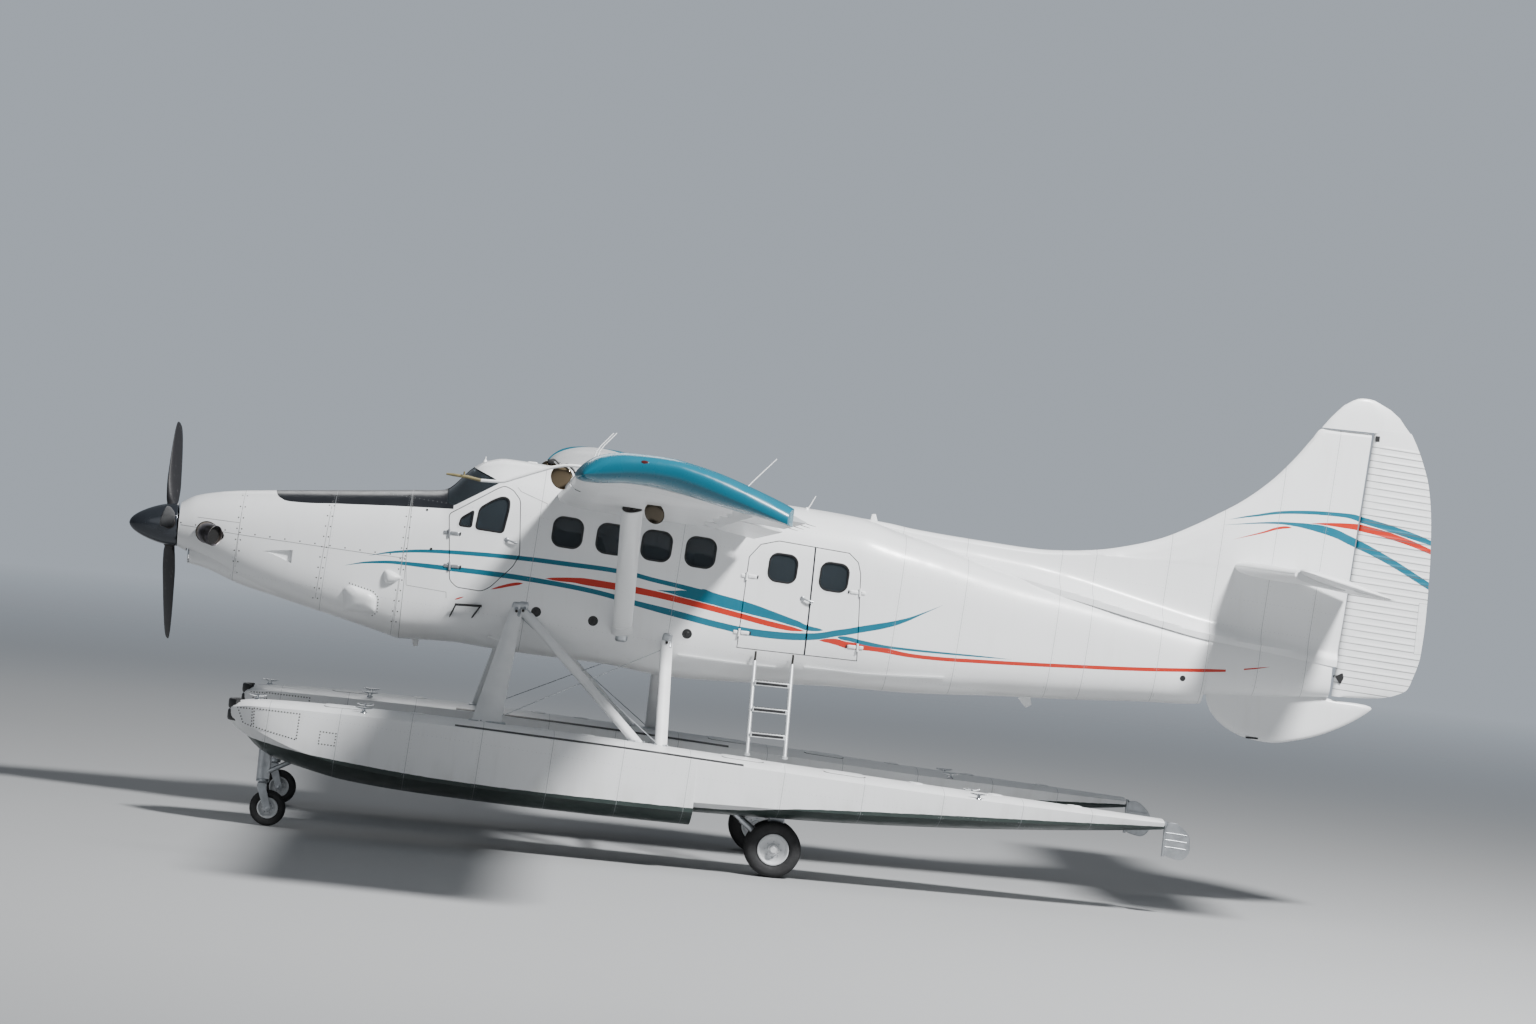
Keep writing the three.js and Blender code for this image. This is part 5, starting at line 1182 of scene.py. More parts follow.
FIN_EDGE = [  # z, leading edge x, half thickness
    (2.65, 3.0, 0.092), (3.2, 2.76, 0.09), (3.494, 2.6, 0.084), (3.511, 2.886, 0.084),
    (3.55, 3.203, 0.082), (3.623, 3.511, 0.08), (3.729, 3.827, 0.078), (3.901, 4.162, 0.075),
    (4.044, 4.396, 0.072), (4.201, 4.633, 0.07), (4.442, 4.91, 0.066), (4.704, 5.135, 0.06),
    (4.92, 5.289, 0.054), (5.028, 5.365, 0.05),
]
CREST = [  # x, top z of the fairing and fin, spread of the fairing as a share of the body's half width
    (0.7, 3.624, 0.1), (0.85, 3.612, 0.12), (1.047, 3.596, 0.15), (1.298, 3.565, 0.2), (1.938, 3.522, 0.45),
    (2.6, 3.494, 0.72), (2.886, 3.511, 0.78), (3.203, 3.55, 0.82), (3.511, 3.623, 0.85), (3.827, 3.729, 0.85),
    (4.162, 3.901, 0.85), (4.396, 4.044, 0.85), (4.633, 4.201, 0.85), (4.91, 4.442, 0.82), (5.135, 4.704, 0.8),
    (5.289, 4.92, 0.8), (5.365, 5.024, 0.8), (5.42, 5.028, 0.8), (5.9, 5.028, 0.8),
]
RUDDER_TOP = (5.968, 5.056)
RUDDER_LEAN = 0.0524
RUDDER_BACK = [  # z, x
    (2.305, 5.94), (2.321, 6.197), (2.366, 6.394), (2.446, 6.535), (2.548, 6.576), (2.805, 6.638), (3.158, 6.652),
    (3.658, 6.641), (4.156, 6.604), (4.527, 6.543), (4.816, 6.438), (5.054, 6.312), (5.07, 6.3),
]
HORN = [  # z, front x, back x, half thickness
    (5.04, 5.374, 6.32, 0.049), (5.137, 5.443, 6.232, 0.044), (5.214, 5.507, 6.168, 0.038),
    (5.29, 5.577, 6.065, 0.03), (5.345, 5.66, 5.945, 0.018), (5.372, 5.715, 5.88, 0.01),
    (5.38, 5.76, 5.83, 0.002),
]
VENTRAL = [(4.48, 2.3), (4.457, 2.181), (4.526, 2.013), (4.678, 1.877), (4.89, 1.786), (5.144, 1.758),
    (5.293, 1.771), (5.637, 1.863), (5.927, 2.005), (6.139, 2.152), (6.225, 2.25), (5.7, 2.262), (5.65, 2.33)]
ELEVATOR_HINGE = (5.342, 3.475)
ELEVATOR_DROOP = math.radians(12)


def hinge_x(z):
    return RUDDER_TOP[0] - (RUDDER_TOP[1] - z) * RUDDER_LEAN


def fin_part():
    """Fin and its fairing as upright slices. At each x the half width falls from the body's back by the
    exponential of height, never below the fin's own thickness, and rounds off to nothing at the crest."""
    xs = np.concatenate([np.linspace(0.7, 5.2, 112), np.linspace(5.2, 5.892, 30)[1:]])[:, None]
    top, spread = smooth(CREST, xs[:, 0]).T[:, :, None]
    w, body_top = smooth(SKIN, np.minimum(xs[:, 0], 5.72)).T[:2, :, None]
    start = np.minimum(body_top - 0.1, top - 0.06)
    z = start + (top - start) * np.linspace(0, 1, 60)
    edge = np.array(FIN_EDGE)
    fin_front, fin_rear = np.interp(z, edge[3:, 0], edge[3:, 1], left=1.0), hinge_x(z) - 0.076
    s = np.clip((xs - fin_front) / (fin_rear - fin_front), 0, 1)
    fin = np.interp(z, edge[:, 0], edge[:, 2]) * np.interp(s, [0, 0.02, 0.05, 0.15, 0.35, 0.7, 1],
        [0.12, 0.4, 0.6, 0.84, 1, 0.95, 0.8])
    fin = np.where(xs < 2.886, np.interp(xs, [0.7, 1.05, 1.94, 2.886], [0.06, 0.08, 0.105, 0.084]), fin)
    above = np.maximum(z - body_top + 0.03, 0)
    flare = spread * w * np.exp(-above / 0.085) * np.clip((top - body_top) / 0.3, 0.1, 1)
    radius = np.minimum(0.05, (top - start) * 0.4)
    down = np.clip((z - (top - radius)) / radius, 0, 1)
    half = np.sqrt(fin ** 2 + flare ** 2) * np.sqrt(np.clip(1 - down ** 2, 0, 1))
    side = np.stack([np.minimum(xs, fin_rear), half, z], -1)
    return surface(np.concatenate([side, (side * (1, -1, 1))[:, -2::-1]], 1))


def horn_section(front, back, half, sides, rise):
    """Streamlined section of a balance horn, there and back: places along it, and heights from a table."""
    s = (1 - np.cos(np.linspace(0, np.pi, sides))) / 2
    along, up = front + s * (back - front), half * np.interp(s, *rise)
    return np.concatenate([along, along[:, -2:0:-1]], 1), np.concatenate([up, -up[:, -2:0:-1]], 1)


def beaded(ring_x, ring_y, back, steps, crest):
    """Arc, flat and mirrored flat of a tail surface, from the arc's points to its thin rear edge. crest gives the
    height of the beads on the flats from the share of the way back and the place along."""
    t = np.linspace(0, 1, steps)[1:]
    flat_x = ring_x[:, -1:] + t * (back - ring_x[:, -1:])
    flat_y = ring_y[:, -1:] + t * (-0.005 - ring_y[:, -1:]) - crest(t, flat_x)
    return (np.concatenate([ring_x, flat_x, flat_x[:, ::-1]], 1), np.concatenate([ring_y, flat_y, -flat_y[:, ::-1]],
        1))


def rudder_part(bead, pitch):
    """Rudder blade: an arc about the hinge line, then flats to the rear edge. Beads stand off the flats by the
    eighth power of a cosine of the height along the cabin line, except round the trim tab."""
    z = np.concatenate([np.linspace(2.305, 2.56, 22), np.linspace(2.56, 5.07, 300)[1:]])[:, None]
    nose = 0.046 + 0.016 * np.clip((5.056 - z) / 2.75, 0, 1)
    arc = np.radians(np.linspace(80, 280, 13))

    def crest(t, flat_x):
        level = z + (flat_x - 6.0) * math.tan(DATUM_TILT)
        high = np.cos(np.pi * level / pitch) ** 8 * bead * np.clip(np.minimum(t - 0.06, 0.97 - t) / 0.05, 0, 1)
        high = high * np.clip((z - 2.45) / 0.1, 0, 1) * np.clip((4.95 - z) / 0.05, 0, 1)
        return np.where((flat_x > 6.56) & (np.abs(z - 3.082) < 0.263), 0, high)

    back = smooth(RUDDER_BACK, z[:, 0])
    x, y = beaded(hinge_x(z) + nose * np.cos(arc), nose * np.sin(arc), back, 14, crest)
    return surface(np.stack([x, y, z + 0 * x], -1))


def tailplane_part():
    """Tailplane half: straight leading and rear edges, with a section that thickens to two fifths of its chord."""
    y = np.linspace(-0.005, 2.92, 30)[:, None]
    t = y / 2.92
    front, half, z_front = 4.61 + 0.162 * t, 0.078 - 0.02 * t, 3.53 + 0.012 * t
    s = 1 - np.cos(np.linspace(0, np.pi / 2, 24))
    h = np.interp(s, [0, 0.01, 0.05, 0.16, 0.4, 0.75, 1], [0, 0.25, 0.55, 0.85, 1, 0.92, 0.72])
    s, h = np.concatenate([s, s[:0:-1]]), np.concatenate([h, -h[:0:-1]])
    x = front + s * (ELEVATOR_HINGE[0] - 0.058 - front)
    return surface(np.stack(np.broadcast_arrays(x, -y, z_front + s * (ELEVATOR_HINGE[1] - z_front) + h * half), -1))


def elevator_place(u, y, v):
    c, s = math.cos(ELEVATOR_DROOP), math.sin(ELEVATOR_DROOP)
    return np.stack(np.broadcast_arrays(ELEVATOR_HINGE[0] + u * c + v * s, -y, ELEVATOR_HINGE[1] - u * s + v * c),
        -1)


def elevator_part(bead, pitch):
    """Elevator half: an arc about the hinge line, then beaded flats, with a horn ahead of the hinge at the tip."""
    y = np.linspace(0.15, 3.19, 220)[:, None]
    length, nose = smooth([(0.15, 0.47, 0.05), (1.0, 0.465, 0.048), (2.94, 0.415, 0.042), (3.19, 0.396, 0.038)],
        y[:, 0]).T[:, :, None]
    arc = np.radians(np.linspace(80, 280, 12))
    u, v = beaded(nose * np.cos(arc), nose * np.sin(arc), length, 10, lambda t, _: np.cos(np.pi * y / pitch) ** 8
        * bead * np.clip(np.minimum(t - 0.06, 0.95 - t) / 0.05, 0, 1))
    horn_y = np.linspace(2.935, 3.23, 16)[:, None]
    front, half, rear = smooth([(2.935, -0.54, 0.052, 0.396), (3.12, -0.54, 0.046, 0.396), (3.2, -0.5, 0.03, 0.35),
        (3.23, -0.42, 0.006, 0.3)], horn_y[:, 0]).T[:, :, None]
    horn_u, horn_v = horn_section(front, rear, half, 22, ([0, 0.02, 0.06, 0.2, 0.45, 0.7, 1],
        [0, 0.35, 0.6, 0.9, 1, 0.7, 0.1]))
    return joined([surface(elevator_place(u, y, v)), surface(elevator_place(horn_u, horn_y, horn_v))])


def make_tail(props):
    piece("fin_skin", fin_part(), "body", replaces=("fin",))
    z, front, back, half = np.array(HORN).T[:, :, None]
    x, y = horn_section(front, back, half, 20, ([0, 0.02, 0.06, 0.15, 0.35, 0.7, 1], [0, 0.32, 0.6, 0.85, 1, 0.8,
        0.1]))
    piece("rudder_skin", [rudder_part(props.bead_height, props.bead_pitch), surface(np.stack([x, y, z + 0 * x],
        -1))], "rudder", "rudder", replaces=("rudder",), sharp=40)
    half = tailplane_part()
    piece("tailplane_skin", [half, on_side(half, STARBOARD)], "plain_white", replaces=("tailplane",))
    half = elevator_part(props.bead_height, props.bead_pitch)
    bar = rod((ELEVATOR_HINGE[0], 0, ELEVATOR_HINGE[1]), (0, 1, 0), (-0.17, -0.05, 0.05, 0.17), 0.034, 24)
    piece("elevator_skin", [half, on_side(half, STARBOARD), bar], "plain_white", "elevator", replaces=("elevator",),
        sharp=40)
    middle, share = np.mean(VENTRAL, 0), np.array([0.02, 0.4, 0.7, 0.88, 0.96, 1.0])[:, None, None]
    rim = np.array([1, 1, 1, 0.9, 0.62, 0.06])[:, None] * 0.028
    flat = middle + share * (softened(VENTRAL, 2) - middle)
    half = np.stack([flat[..., 0], np.broadcast_to(rim, flat.shape[:2]), flat[..., 1]], -1)
    piece("ventral_fin_skin", surface(np.concatenate([half, (half * (1, -1, 1))[-2::-1]])), "plain_white",
        replaces=("ventral_fin",), sharp=60)


# ---- floats and their struts

FLOAT_Y, STEP_X, STERN_X = 1.5, -0.758, 3.94
AT_FLOAT = (0, -FLOAT_Y, 0)
STEP_LENGTH, DECK_CROWN = 0.001, 2.4
FLOAT = [  # x, deck z, deck edge z, chine z, keel z, deck half width, chine half width
    (-5.378, 1.13, 1.12, 1.085, 1.06, 0.04, 0.04), (-5.365, 1.165, 1.138, 1.066, 1.02, 0.13, 0.118),
    (-5.34, 1.19, 1.15, 1.05, 0.975, 0.19, 0.17), (-5.2, 1.228, 1.18, 1.0, 0.88, 0.33, 0.3),
    (-5.024, 1.24, 1.19, 0.925, 0.73, 0.41, 0.39), (-4.637, 1.25, 1.198, 0.793, 0.613, 0.47, 0.47),
    (-4.129, 1.254, 1.2, 0.69, 0.52, 0.5, 0.515), (-3.4, 1.25, 1.196, 0.63, 0.47, 0.505, 0.53),
    (-2.3, 1.222, 1.165, 0.605, 0.44, 0.505, 0.53), (-1.3, 1.19, 1.13, 0.59, 0.43, 0.5, 0.525),
    (STEP_X, 1.165, 1.105, 0.588, 0.43, 0.495, 0.52),
]
FLOAT_REAR = [(STEP_X + STEP_LENGTH, 1.165, 1.105, 0.69, 0.56, 0.495, 0.505), (0.5, 1.11, 1.05, 0.715, 0.59, 0.47,
    0.47), (1.7, 1.055, 1.0, 0.765, 0.65, 0.415, 0.4), (2.8, 1.01, 0.965, 0.82, 0.735, 0.335, 0.31),
    (3.65, 0.975, 0.94, 0.87, 0.82, 0.24, 0.215), (STERN_X, 0.962, 0.935, 0.89, 0.855, 0.2, 0.18)]
FLOAT_STRUTS = {  # top, foot, chord at the top and foot, thickness
    "front": ((-2.665, -0.735, 2.35), (-2.862, -1.48, 1.2), 0.125, 0.3, 0.095),
    "diagonal": ((-2.6, -0.735, 2.36), (-1.33, -1.45, 1.17), 0.1, 0.1, 0.07),
    "rear": ((-1.13, -0.73, 2.19), (-1.112, -1.47, 1.16), 0.125, 0.125, 0.08),
}
BRACE_WIRES = (((-2.64, -0.745, 2.3), (-1.16, -1.46, 1.205)), ((-1.135, -0.742, 2.12), (-2.8, -1.455, 1.265)))
SPREADERS = {"front": -2.9, "rear": -1.112}
SPREADER_Z, SPREADER_RADIUS, SPREADER_REACH = 1.01, 0.052, FLOAT_Y - 0.44
DECK_HATCHES = (-4.25, -0.3, 0.72)
SIDE_PANELS = ([(-5.295, 1.15), (-5.15, 1.16), (-5.14, 0.985), (-5.23, 1.01)], [(-5.13, 1.165), (-4.68, 1.16),
    (-4.69, 0.905), (-5.12, 0.985)], [(-4.462, 1.01), (-4.305, 1.005), (-4.315, 0.885), (-4.47, 0.89)])
BUMPER_X, BUMPER_SWEEP, BUMPER_HALF = -5.383, 0.075, 0.165


def float_values(x):
    """The columns of the float's tables at x, from the table ahead of the step or the one behind it."""
    x = np.asarray(x, float)
    rows = np.where(x[..., None] <= STEP_X, smooth(FLOAT, np.minimum(x, STEP_X)), smooth(FLOAT_REAR,
        np.maximum(x, STEP_X + STEP_LENGTH)))
    return np.moveaxis(rows, -1, 0)


def deck_height(x, y):
    """Height of the port float's deck at x and at y from its own middle line."""
    deck, edge, _, _, half, _ = float_values(x)
    return deck - (deck - edge) * np.clip(np.abs(y) / half, 0, 1) ** DECK_CROWN


def on_deck(flat, out):
    """Points over x, y places measured from the port float's middle line, a distance above its deck."""
    return np.stack([flat[..., 0], flat[..., 1] - FLOAT_Y, deck_height(flat[..., 0], flat[..., 1]) + out], -1)


def float_side(x, z):
    """Half width of a float at x and z, between its chine and its deck edge: a line with a slight belly."""
    _, edge, chine, _, half, chine_half = float_values(x)
    t = np.clip((z - chine) / (edge - chine), 0, 1)
    return chine_half + (half - chine_half) * t + 0.02 * half * t * (1 - t)


def float_part():
    """Float hull: a crowned deck, nearly flat sides and a hollow vee bottom, joined at hard edges, as half
    sections mirrored about the middle line. The step is two stations a millimetre apart."""
    tables = ((FLOAT, 0.09), (FLOAT_REAR, 0.11))
    xs = [stations(table[0][0], table[-1][0], step, table) for table, step in tables]
    rows = np.concatenate([smooth(table, x) for (table, _), x in zip(tables, xs)])
    deck, edge, chine, keel, half, chine_half = rows.T[:, :, None]
    t, s, b = np.linspace(0, 1, 12), np.linspace(0, 1, 7)[1:], np.linspace(0, 1, 9)[1:]
    y = np.concatenate([half * t, half + (chine_half - half) * s + 0.02 * half * s * (1 - s), chine_half * (1 - b)],
        1)
    z = np.concatenate([deck - (deck - edge) * t ** DECK_CROWN, edge + (chine - edge) * s, chine
        + (keel - chine) * (b + 0.17 * np.sin(np.pi * b))], 1)
    right = np.stack([np.concatenate(xs)[:, None] + 0 * y, y, z], -1)
    return moved(surface(np.concatenate([right, (right * (1, -1, 1))[:, -2:0:-1]], 1)), AT_FLOAT)


def deck_plate(outline, out):
    """A plate lying on the port float's deck over an x, y outline measured from its middle line."""
    share = np.linspace(1, 0.03, 6)[:, None, None]
    flat = inward(outline, share)
    edge = np.where(share[..., 0] > 0.999, 0.6, 1.0)
    return surface(np.concatenate([on_deck(flat, out * edge)[::-1], on_deck(flat, -0.004)]))


def cleat_part(x, y):
    """Mooring cleat: a waisted post under a bar whose ends taper and lift."""
    along = np.linspace(-1, 1, 17)
    bar = tube(np.stack([0.085 * along, 0 * along, 0.04 + 0.01 * along ** 2], 1), 0.012
        * (1 - 0.55 * np.abs(along) ** 2.5))
    post = turned([(-0.004, 0), (-0.004, 0.034), (0.006, 0.03), (0.016, 0.018), (0.04, 0.014), (0.04, 0)],
        (0, 0, 0), (0, 0, 1), 20)
    return moved(joined([bar, post]), on_deck(np.array([x, y]), 0))


def float_side_studs(places):
    """Studs at x, z places on both sides of the port float."""
    x, z = places.T
    return moved(joined([studs(np.stack([x, way * float_side(x, z), z], 1), (0, way, 0), 0.0075, 0.0025)
        for way in (-1, 1)]), AT_FLOAT)


def fitting(at, run, chord, thick):
    """Forked end fitting of a strut: two lugs and a bolt through them."""
    across = unit(np.cross(run, (1, 0, 0)))
    block = rounded_block((-chord * 0.4, -thick * 0.42, -0.055), (chord * 0.4, thick * 0.42, 0.075), 0.014)
    return joined([moved(block, at, np.stack([np.cross(across, run), across, run], 1)),
        rod(at, across, (-0.062, -0.02, 0.02, 0.062), 0.017)])


def bow_bumper():
    """Black rubber block round a float's bow: bent strips of superellipse section, with a groove between them."""
    a, k = np.linspace(-1, 1, 17), ring_angles(20)
    u, v = (np.sign(w) * np.abs(w) ** 0.5 for w in (np.cos(k), np.sin(k)))
    path = np.stack([BUMPER_X + BUMPER_SWEEP * np.abs(a) ** 2.2, BUMPER_HALF * a, 0 * a], 1)[:, None]
    slope = 2.2 * BUMPER_SWEEP / BUMPER_HALF * np.sign(a) * np.abs(a) ** 1.2
    outward = unit(np.stack([-np.ones(17), slope, 0 * a], 1))[:, None]
    strips = [surface(path + outward * (0.03 * u - 0.012)[:, None] + np.outer((z0 + z1) / 2 + (z1 - z0) / 2 * v,
        (0, 0, 1))) for z0, z1 in ((1.01, 1.12), (1.126, 1.226))]
    return moved(joined(strips), AT_FLOAT)


def make_floats():
    bracket = rounded_block((STERN_X - 0.03, -0.045, 0.862), (STERN_X + 0.0255, 0.045, 0.94), 0.01)
    both("float_{}_hull", [float_part(), moved(bracket, AT_FLOAT)], "float", replaces="float_{}", sharp=24)
    covers = [deck_plate(oblong(x, 0, 0.4, 0.46, 0.07), 0.007) for x in DECK_HATCHES]
    covers += [deck_plate(circle(x, 0, 0.075), 0.01) for x in (-3.55, -2.3, -1.85, 1.45, 2.25, 3.05)]
    both("deck_covers_{}", covers, "plain_white")
    rubber = [deck_plate(oblong(x, 0, 0.425, 0.485, 0.075), 0.002) for x in DECK_HATCHES]
    rubber += [ribbon([(-3.162, way * 0.46), (-2.3, way * 0.46), (-1.3, way * 0.455), (-0.3, way * 0.447)], 0.05,
        on_deck, 0.0045, -0.004, 0.08) for way in (-1, 1)]
    both("deck_rubber_{}", [*rubber, bow_bumper()], "black")
    both("cleats_{}", [cleat_part(x, y) for x, y in ((-4.065, -0.36), (-4.065, 0.36), (2.05, -0.36), (2.05, 0.36),
        (-5.12, 0))], "bright")
    screws = np.concatenate([spaced(corners + corners[:1], 0.03) for corners in SIDE_PANELS])
    both("panel_screws_{}", float_side_studs(screws), "dark_metal")
    bolts = [(x + dx, dy) for x in (-2.86, -1.33, -1.112) for dx in (-0.05, 0.05) for dy in (-0.05, 0.07)]
    fittings = [studs(on_deck(np.array(bolts), 0.014), (0, 0, 1), 0.01, 0.006, 6)]
    for strut, (top, foot, chord_top, chord_foot, thick) in FLOAT_STRUTS.items():
        name = "float_strut_" + strut + "_{}"
        both(name + "_skin", faired(top, foot, chord_top, chord_foot, thick, 14, 44), "strut", replaces=name)
        run = unit(np.subtract(foot, top))
        x, y, _ = foot - run * 0.085
        pad = rounded_block((-chord_foot * 0.62, -0.075, -0.016), (chord_foot * 0.62, 0.075, 0.01), 0.012)
        fittings += [fitting(top + run * 0.02, run, chord_top, thick), moved(pad, on_deck(np.array([x, y
            + FLOAT_Y]), 0.004))]
    both("strut_fittings_{}", fittings, "metal", sharp=40)
    wires = [rod(a, np.subtract(b, a), np.linspace(0, 1, 5), 0.0045, 8) for a, b in BRACE_WIRES]
    both("brace_wires_{}", wires, "metal")
    collar = [(-0.03, 0.05), (-0.03, 0.066), (0, 0.07), (0.03, 0.066), (0.03, 0.05)]
    for name, x in SPREADERS.items():
        bar = rod((x, 0, SPREADER_Z), (0, 1, 0), np.linspace(-SPREADER_REACH, SPREADER_REACH, 9), SPREADER_RADIUS,
            36)
        collars = [turned(collar, (x, way * (SPREADER_REACH - 0.075), SPREADER_Z), (0, 1, 0), 36)
            for way in (-1, 1)]
        piece(f"spreader_bar_{name}_skin", [bar, *collars], "strut", replaces=("spreader_bar_" + name,))


# ---- landing gear, water rudders and ladder

MAIN = {"x": 0.092, "z": 0.28, "radius": 0.28, "width": 0.15, "half": 0.132, "rim": 0.15, "axle": 0.026}
NOSE = {"x": -4.915, "z": 0.18, "radius": 0.18, "width": 0.11, "rim": 0.098, "axle": 0.016}
CASTOR_X, CASTOR_Z = -4.99, 0.43


def tyre_part(gear, grooves):
    """Tyre: a closed superellipse turned about the axle, with grooves that follow a bell curve on the tread and
    a raised ring on each side."""
    a = ring_angles(72)
    half, height = gear["width"] / 2, (gear["radius"] - gear["rim"]) / 2
    r = lobe(a, 2.5)
    along, out = half * r * np.cos(a), height * r * np.sin(a)
    tread = out > height * 0.7
    for place in grooves:
        out = out - tread * 0.008 * np.exp(-((along - place * half) / 0.0045) ** 2)
    along = along + np.sign(along) * 0.0025 * np.exp(-((out - height * 0.15) / 0.006) ** 2) * (np.abs(along) > half
        * 0.8)
    profile = np.stack([np.clip(along, -half, half), gear["rim"] + height + out], 1)
    return turned(np.concatenate([profile, profile[:1]]), (0, 0, 0), (0, 1, 0), 80)


def rim_part(gear, bore):
    """Wheel rim: dished both ways between its two flanges, about a bored hub."""
    w, r = gear["width"] / 2 * 0.8, gear["rim"]
    half = [(w, r + 0.006), (w + 0.004, r - 0.004), (w - 0.008, r - 0.014), (w * 0.45, r - 0.026),
        (w * 0.25, r * 0.62), (w * 0.3, r * 0.42), (w * 0.86, r * 0.34), (w * 0.86, bore)]
    return turned(half + [(-a, b) for a, b in half[::-1]] + half[:1], (0, 0, 0), (0, 1, 0), 64)


def rim_bolts(gear, count):
    w = gear["width"] / 2 * 0.8 * 0.28 + 0.001
    ring = circle(0, 0, gear["rim"] * 0.53, count)
    return joined([studs(np.insert(ring, 1, way * w, axis=1), (0, way, 0), 0.0075, 0.007, 6) for way in (-1, 1)])


def make_gear(props):
    grooves = np.linspace(-0.55, 0.55, props.tyre_grooves)
    x, z = MAIN["x"], MAIN["z"]
    reach = MAIN["half"] + MAIN["width"] / 2 + 0.012
    axle = [rod((x, -FLOAT_Y, z), (0, reach, 0), (-1, -0.3, 0.3, 1), MAIN["axle"], 32)]
    axle += [turned([(0, 0), (0, 0.036), (0.012, 0.034), (0.018, 0.02), (0.019, 0)], (x, way * (reach - 0.019)
        - FLOAT_Y, z), (0, way, 0), 28) for way in (-1, 1)]
    for gear, bore, bolts, shifts, more, body, names in ((MAIN, 0.024, 8, (-MAIN["half"], MAIN["half"]), axle,
        "main_wheels_{}", ("main_tyres", "main_hubs", "main_hub")), (NOSE, NOSE["axle"] + 0.0006, 6, (0,), [],
        "nose_wheel_{}", ("nose_tyre", "nose_hub", "nose_hub"))):
        parts = tyre_part(gear, grooves), rim_part(gear, bore), rim_bolts(gear, bolts)
        tyres, rims, heads = ([moved(part, (gear["x"], shift - FLOAT_Y, gear["z"])) for shift in shifts]
            for part in parts)
        both(names[0] + "_{}", tyres, "tyre", body, body, 50)
        both(names[1] + "_{}", rims + more, "hub", body, sharp=35)
        both(names[2] + "_bolts_{}", heads, "metal", body, sharp=40)
    leg = plate(rounded([(x - 0.06, z - 0.06), (x + 0.06, z - 0.06), (x + 0.105, 0.64), (x - 0.068, 0.64)], 0.045),
        -FLOAT_Y - 0.034, -FLOAT_Y + 0.034, 0.012)
    bore = rod((x, -FLOAT_Y, z), (0, 1, 0), (-0.08, -0.02, 0.02, 0.08), MAIN["axle"] + 0.001, 32)
    for name, side in SIDES:
        holder = carved(solid(f"main_gear_leg_{name}_skin", on_side(leg, side), "metal"), on_side(bore, side),
            "metal")
        placed(tidied(holder), replaces=("main_gear_leg_" + name,))
    stays = [tube([(-0.42, 0, 0.6), (-0.29, 0, 0.5), (-0.15, 0, 0.402), (-0.045, 0, 0.33)], 0.027, 24),
        tube([(-0.335, 0, 0.535), (-0.24, 0, 0.467), (-0.19, 0, 0.431)], 0.036, 24), tube([(0.075, 0.028, 0.62),
        (0.07, 0.03, 0.5), (0.055, 0.03, 0.36)], 0.006, 10)]
    both("main_gear_stay_{}", moved(joined(stays), (x, -FLOAT_Y, 0)), "metal")
    castor = (CASTOR_X, -FLOAT_Y, CASTOR_Z)
    parts = [faired((0, 0, 0.0004), (0, 0, float_values(CASTOR_X)[3] + 0.1 - CASTOR_Z), 0.13, 0.13, 0.08, 8),
        tube([(0.02, 0, 0.09), (0.15, 0, 0.165), (0.27, 0, 0.233), (0.4, 0, 0.308)], 0.024, 24),
        turned([(0, 0.03), (0, 0.062), (0.012, 0.066), (0.03, 0.06), (0.034, 0.03)], (0, 0, 0.001), (0, 0, 1), 32)]
    both("nose_gear_leg_{}_skin", moved(joined(parts), castor), "metal",
        replaces="nose_gear_leg_{}")
    nx, nz = NOSE["x"] - CASTOR_X, NOSE["z"] - CASTOR_Z
    inner, outer = NOSE["width"] / 2 + 0.01, NOSE["width"] / 2 + 0.028
    arm = rounded([(-0.045, -0.004), (-0.045, -0.05), (nx - 0.034, nz - 0.02), (nx + 0.02, nz - 0.034),
        (nx + 0.034, nz + 0.01), (0.045, -0.05), (0.045, -0.004)], 0.02)
    fork = [rounded_block((-0.045, -outer, -0.03), (0.045, outer, 0), 0.012), plate(arm, -outer, -inner, 0.004),
        plate(arm, inner, outer, 0.004), rod((nx, 0, nz), (0, outer, 0), (-1.02, -0.3, 0.3, 1.02), NOSE["axle"],
        28)]
    fork += [studs([(nx, way * (outer + 0.001), nz)], (0, way, 0), 0.02, 0.008, 6) for way in (-1, 1)]
    both("nose_fork_{}_skin", moved(joined(fork), castor), "metal", "nose_fork_{}", "nose_fork_{}")


def make_water_rudders():
    blade = rounded([(0, 0.935), (0.12, 0.935), (0.255, 0.82), (0.27, 0.64), (0.19, 0.56), (0, 0.6)], 0.06)
    parts = [plate(blade, -0.009, 0.009, 0.004), rod((0, 0, 0), (0, 0, 1), (0.59, 0.7, 0.83, 0.945), 0.016, 24),
        rod((0.02, 0, 0.925), (0, 1, 0), (-0.075, -0.03, 0.03, 0.075), 0.007, 12)]
    parts += [tube([(0.01, y, z), (0.1, y, z - 0.004), (0.225, y, z - 0.012)], 0.006, 10)
        for z in (0.69, 0.76, 0.83) for y in (-0.008, 0.008)]
    both("water_rudder_{}_skin", moved(joined(parts), (STERN_X + 0.042, -FLOAT_Y, 0)), "metal", "water_rudder_{}",
        "water_rudder_{}")


LADDER_RAILS, LADDER_TREADS = (-0.229, 0.15), (1.87, 1.61, 1.36)
LADDER_TOP, LADDER_FOOT = (-0.73, 2.15), (-1.15, 1.0)  # y and z of two points on the rails' line


def ladder_y(z):
    (y0, z0), (y1, z1) = LADDER_TOP, LADDER_FOOT
    return y0 + (z0 - z) / (z0 - z1) * (y1 - y0)


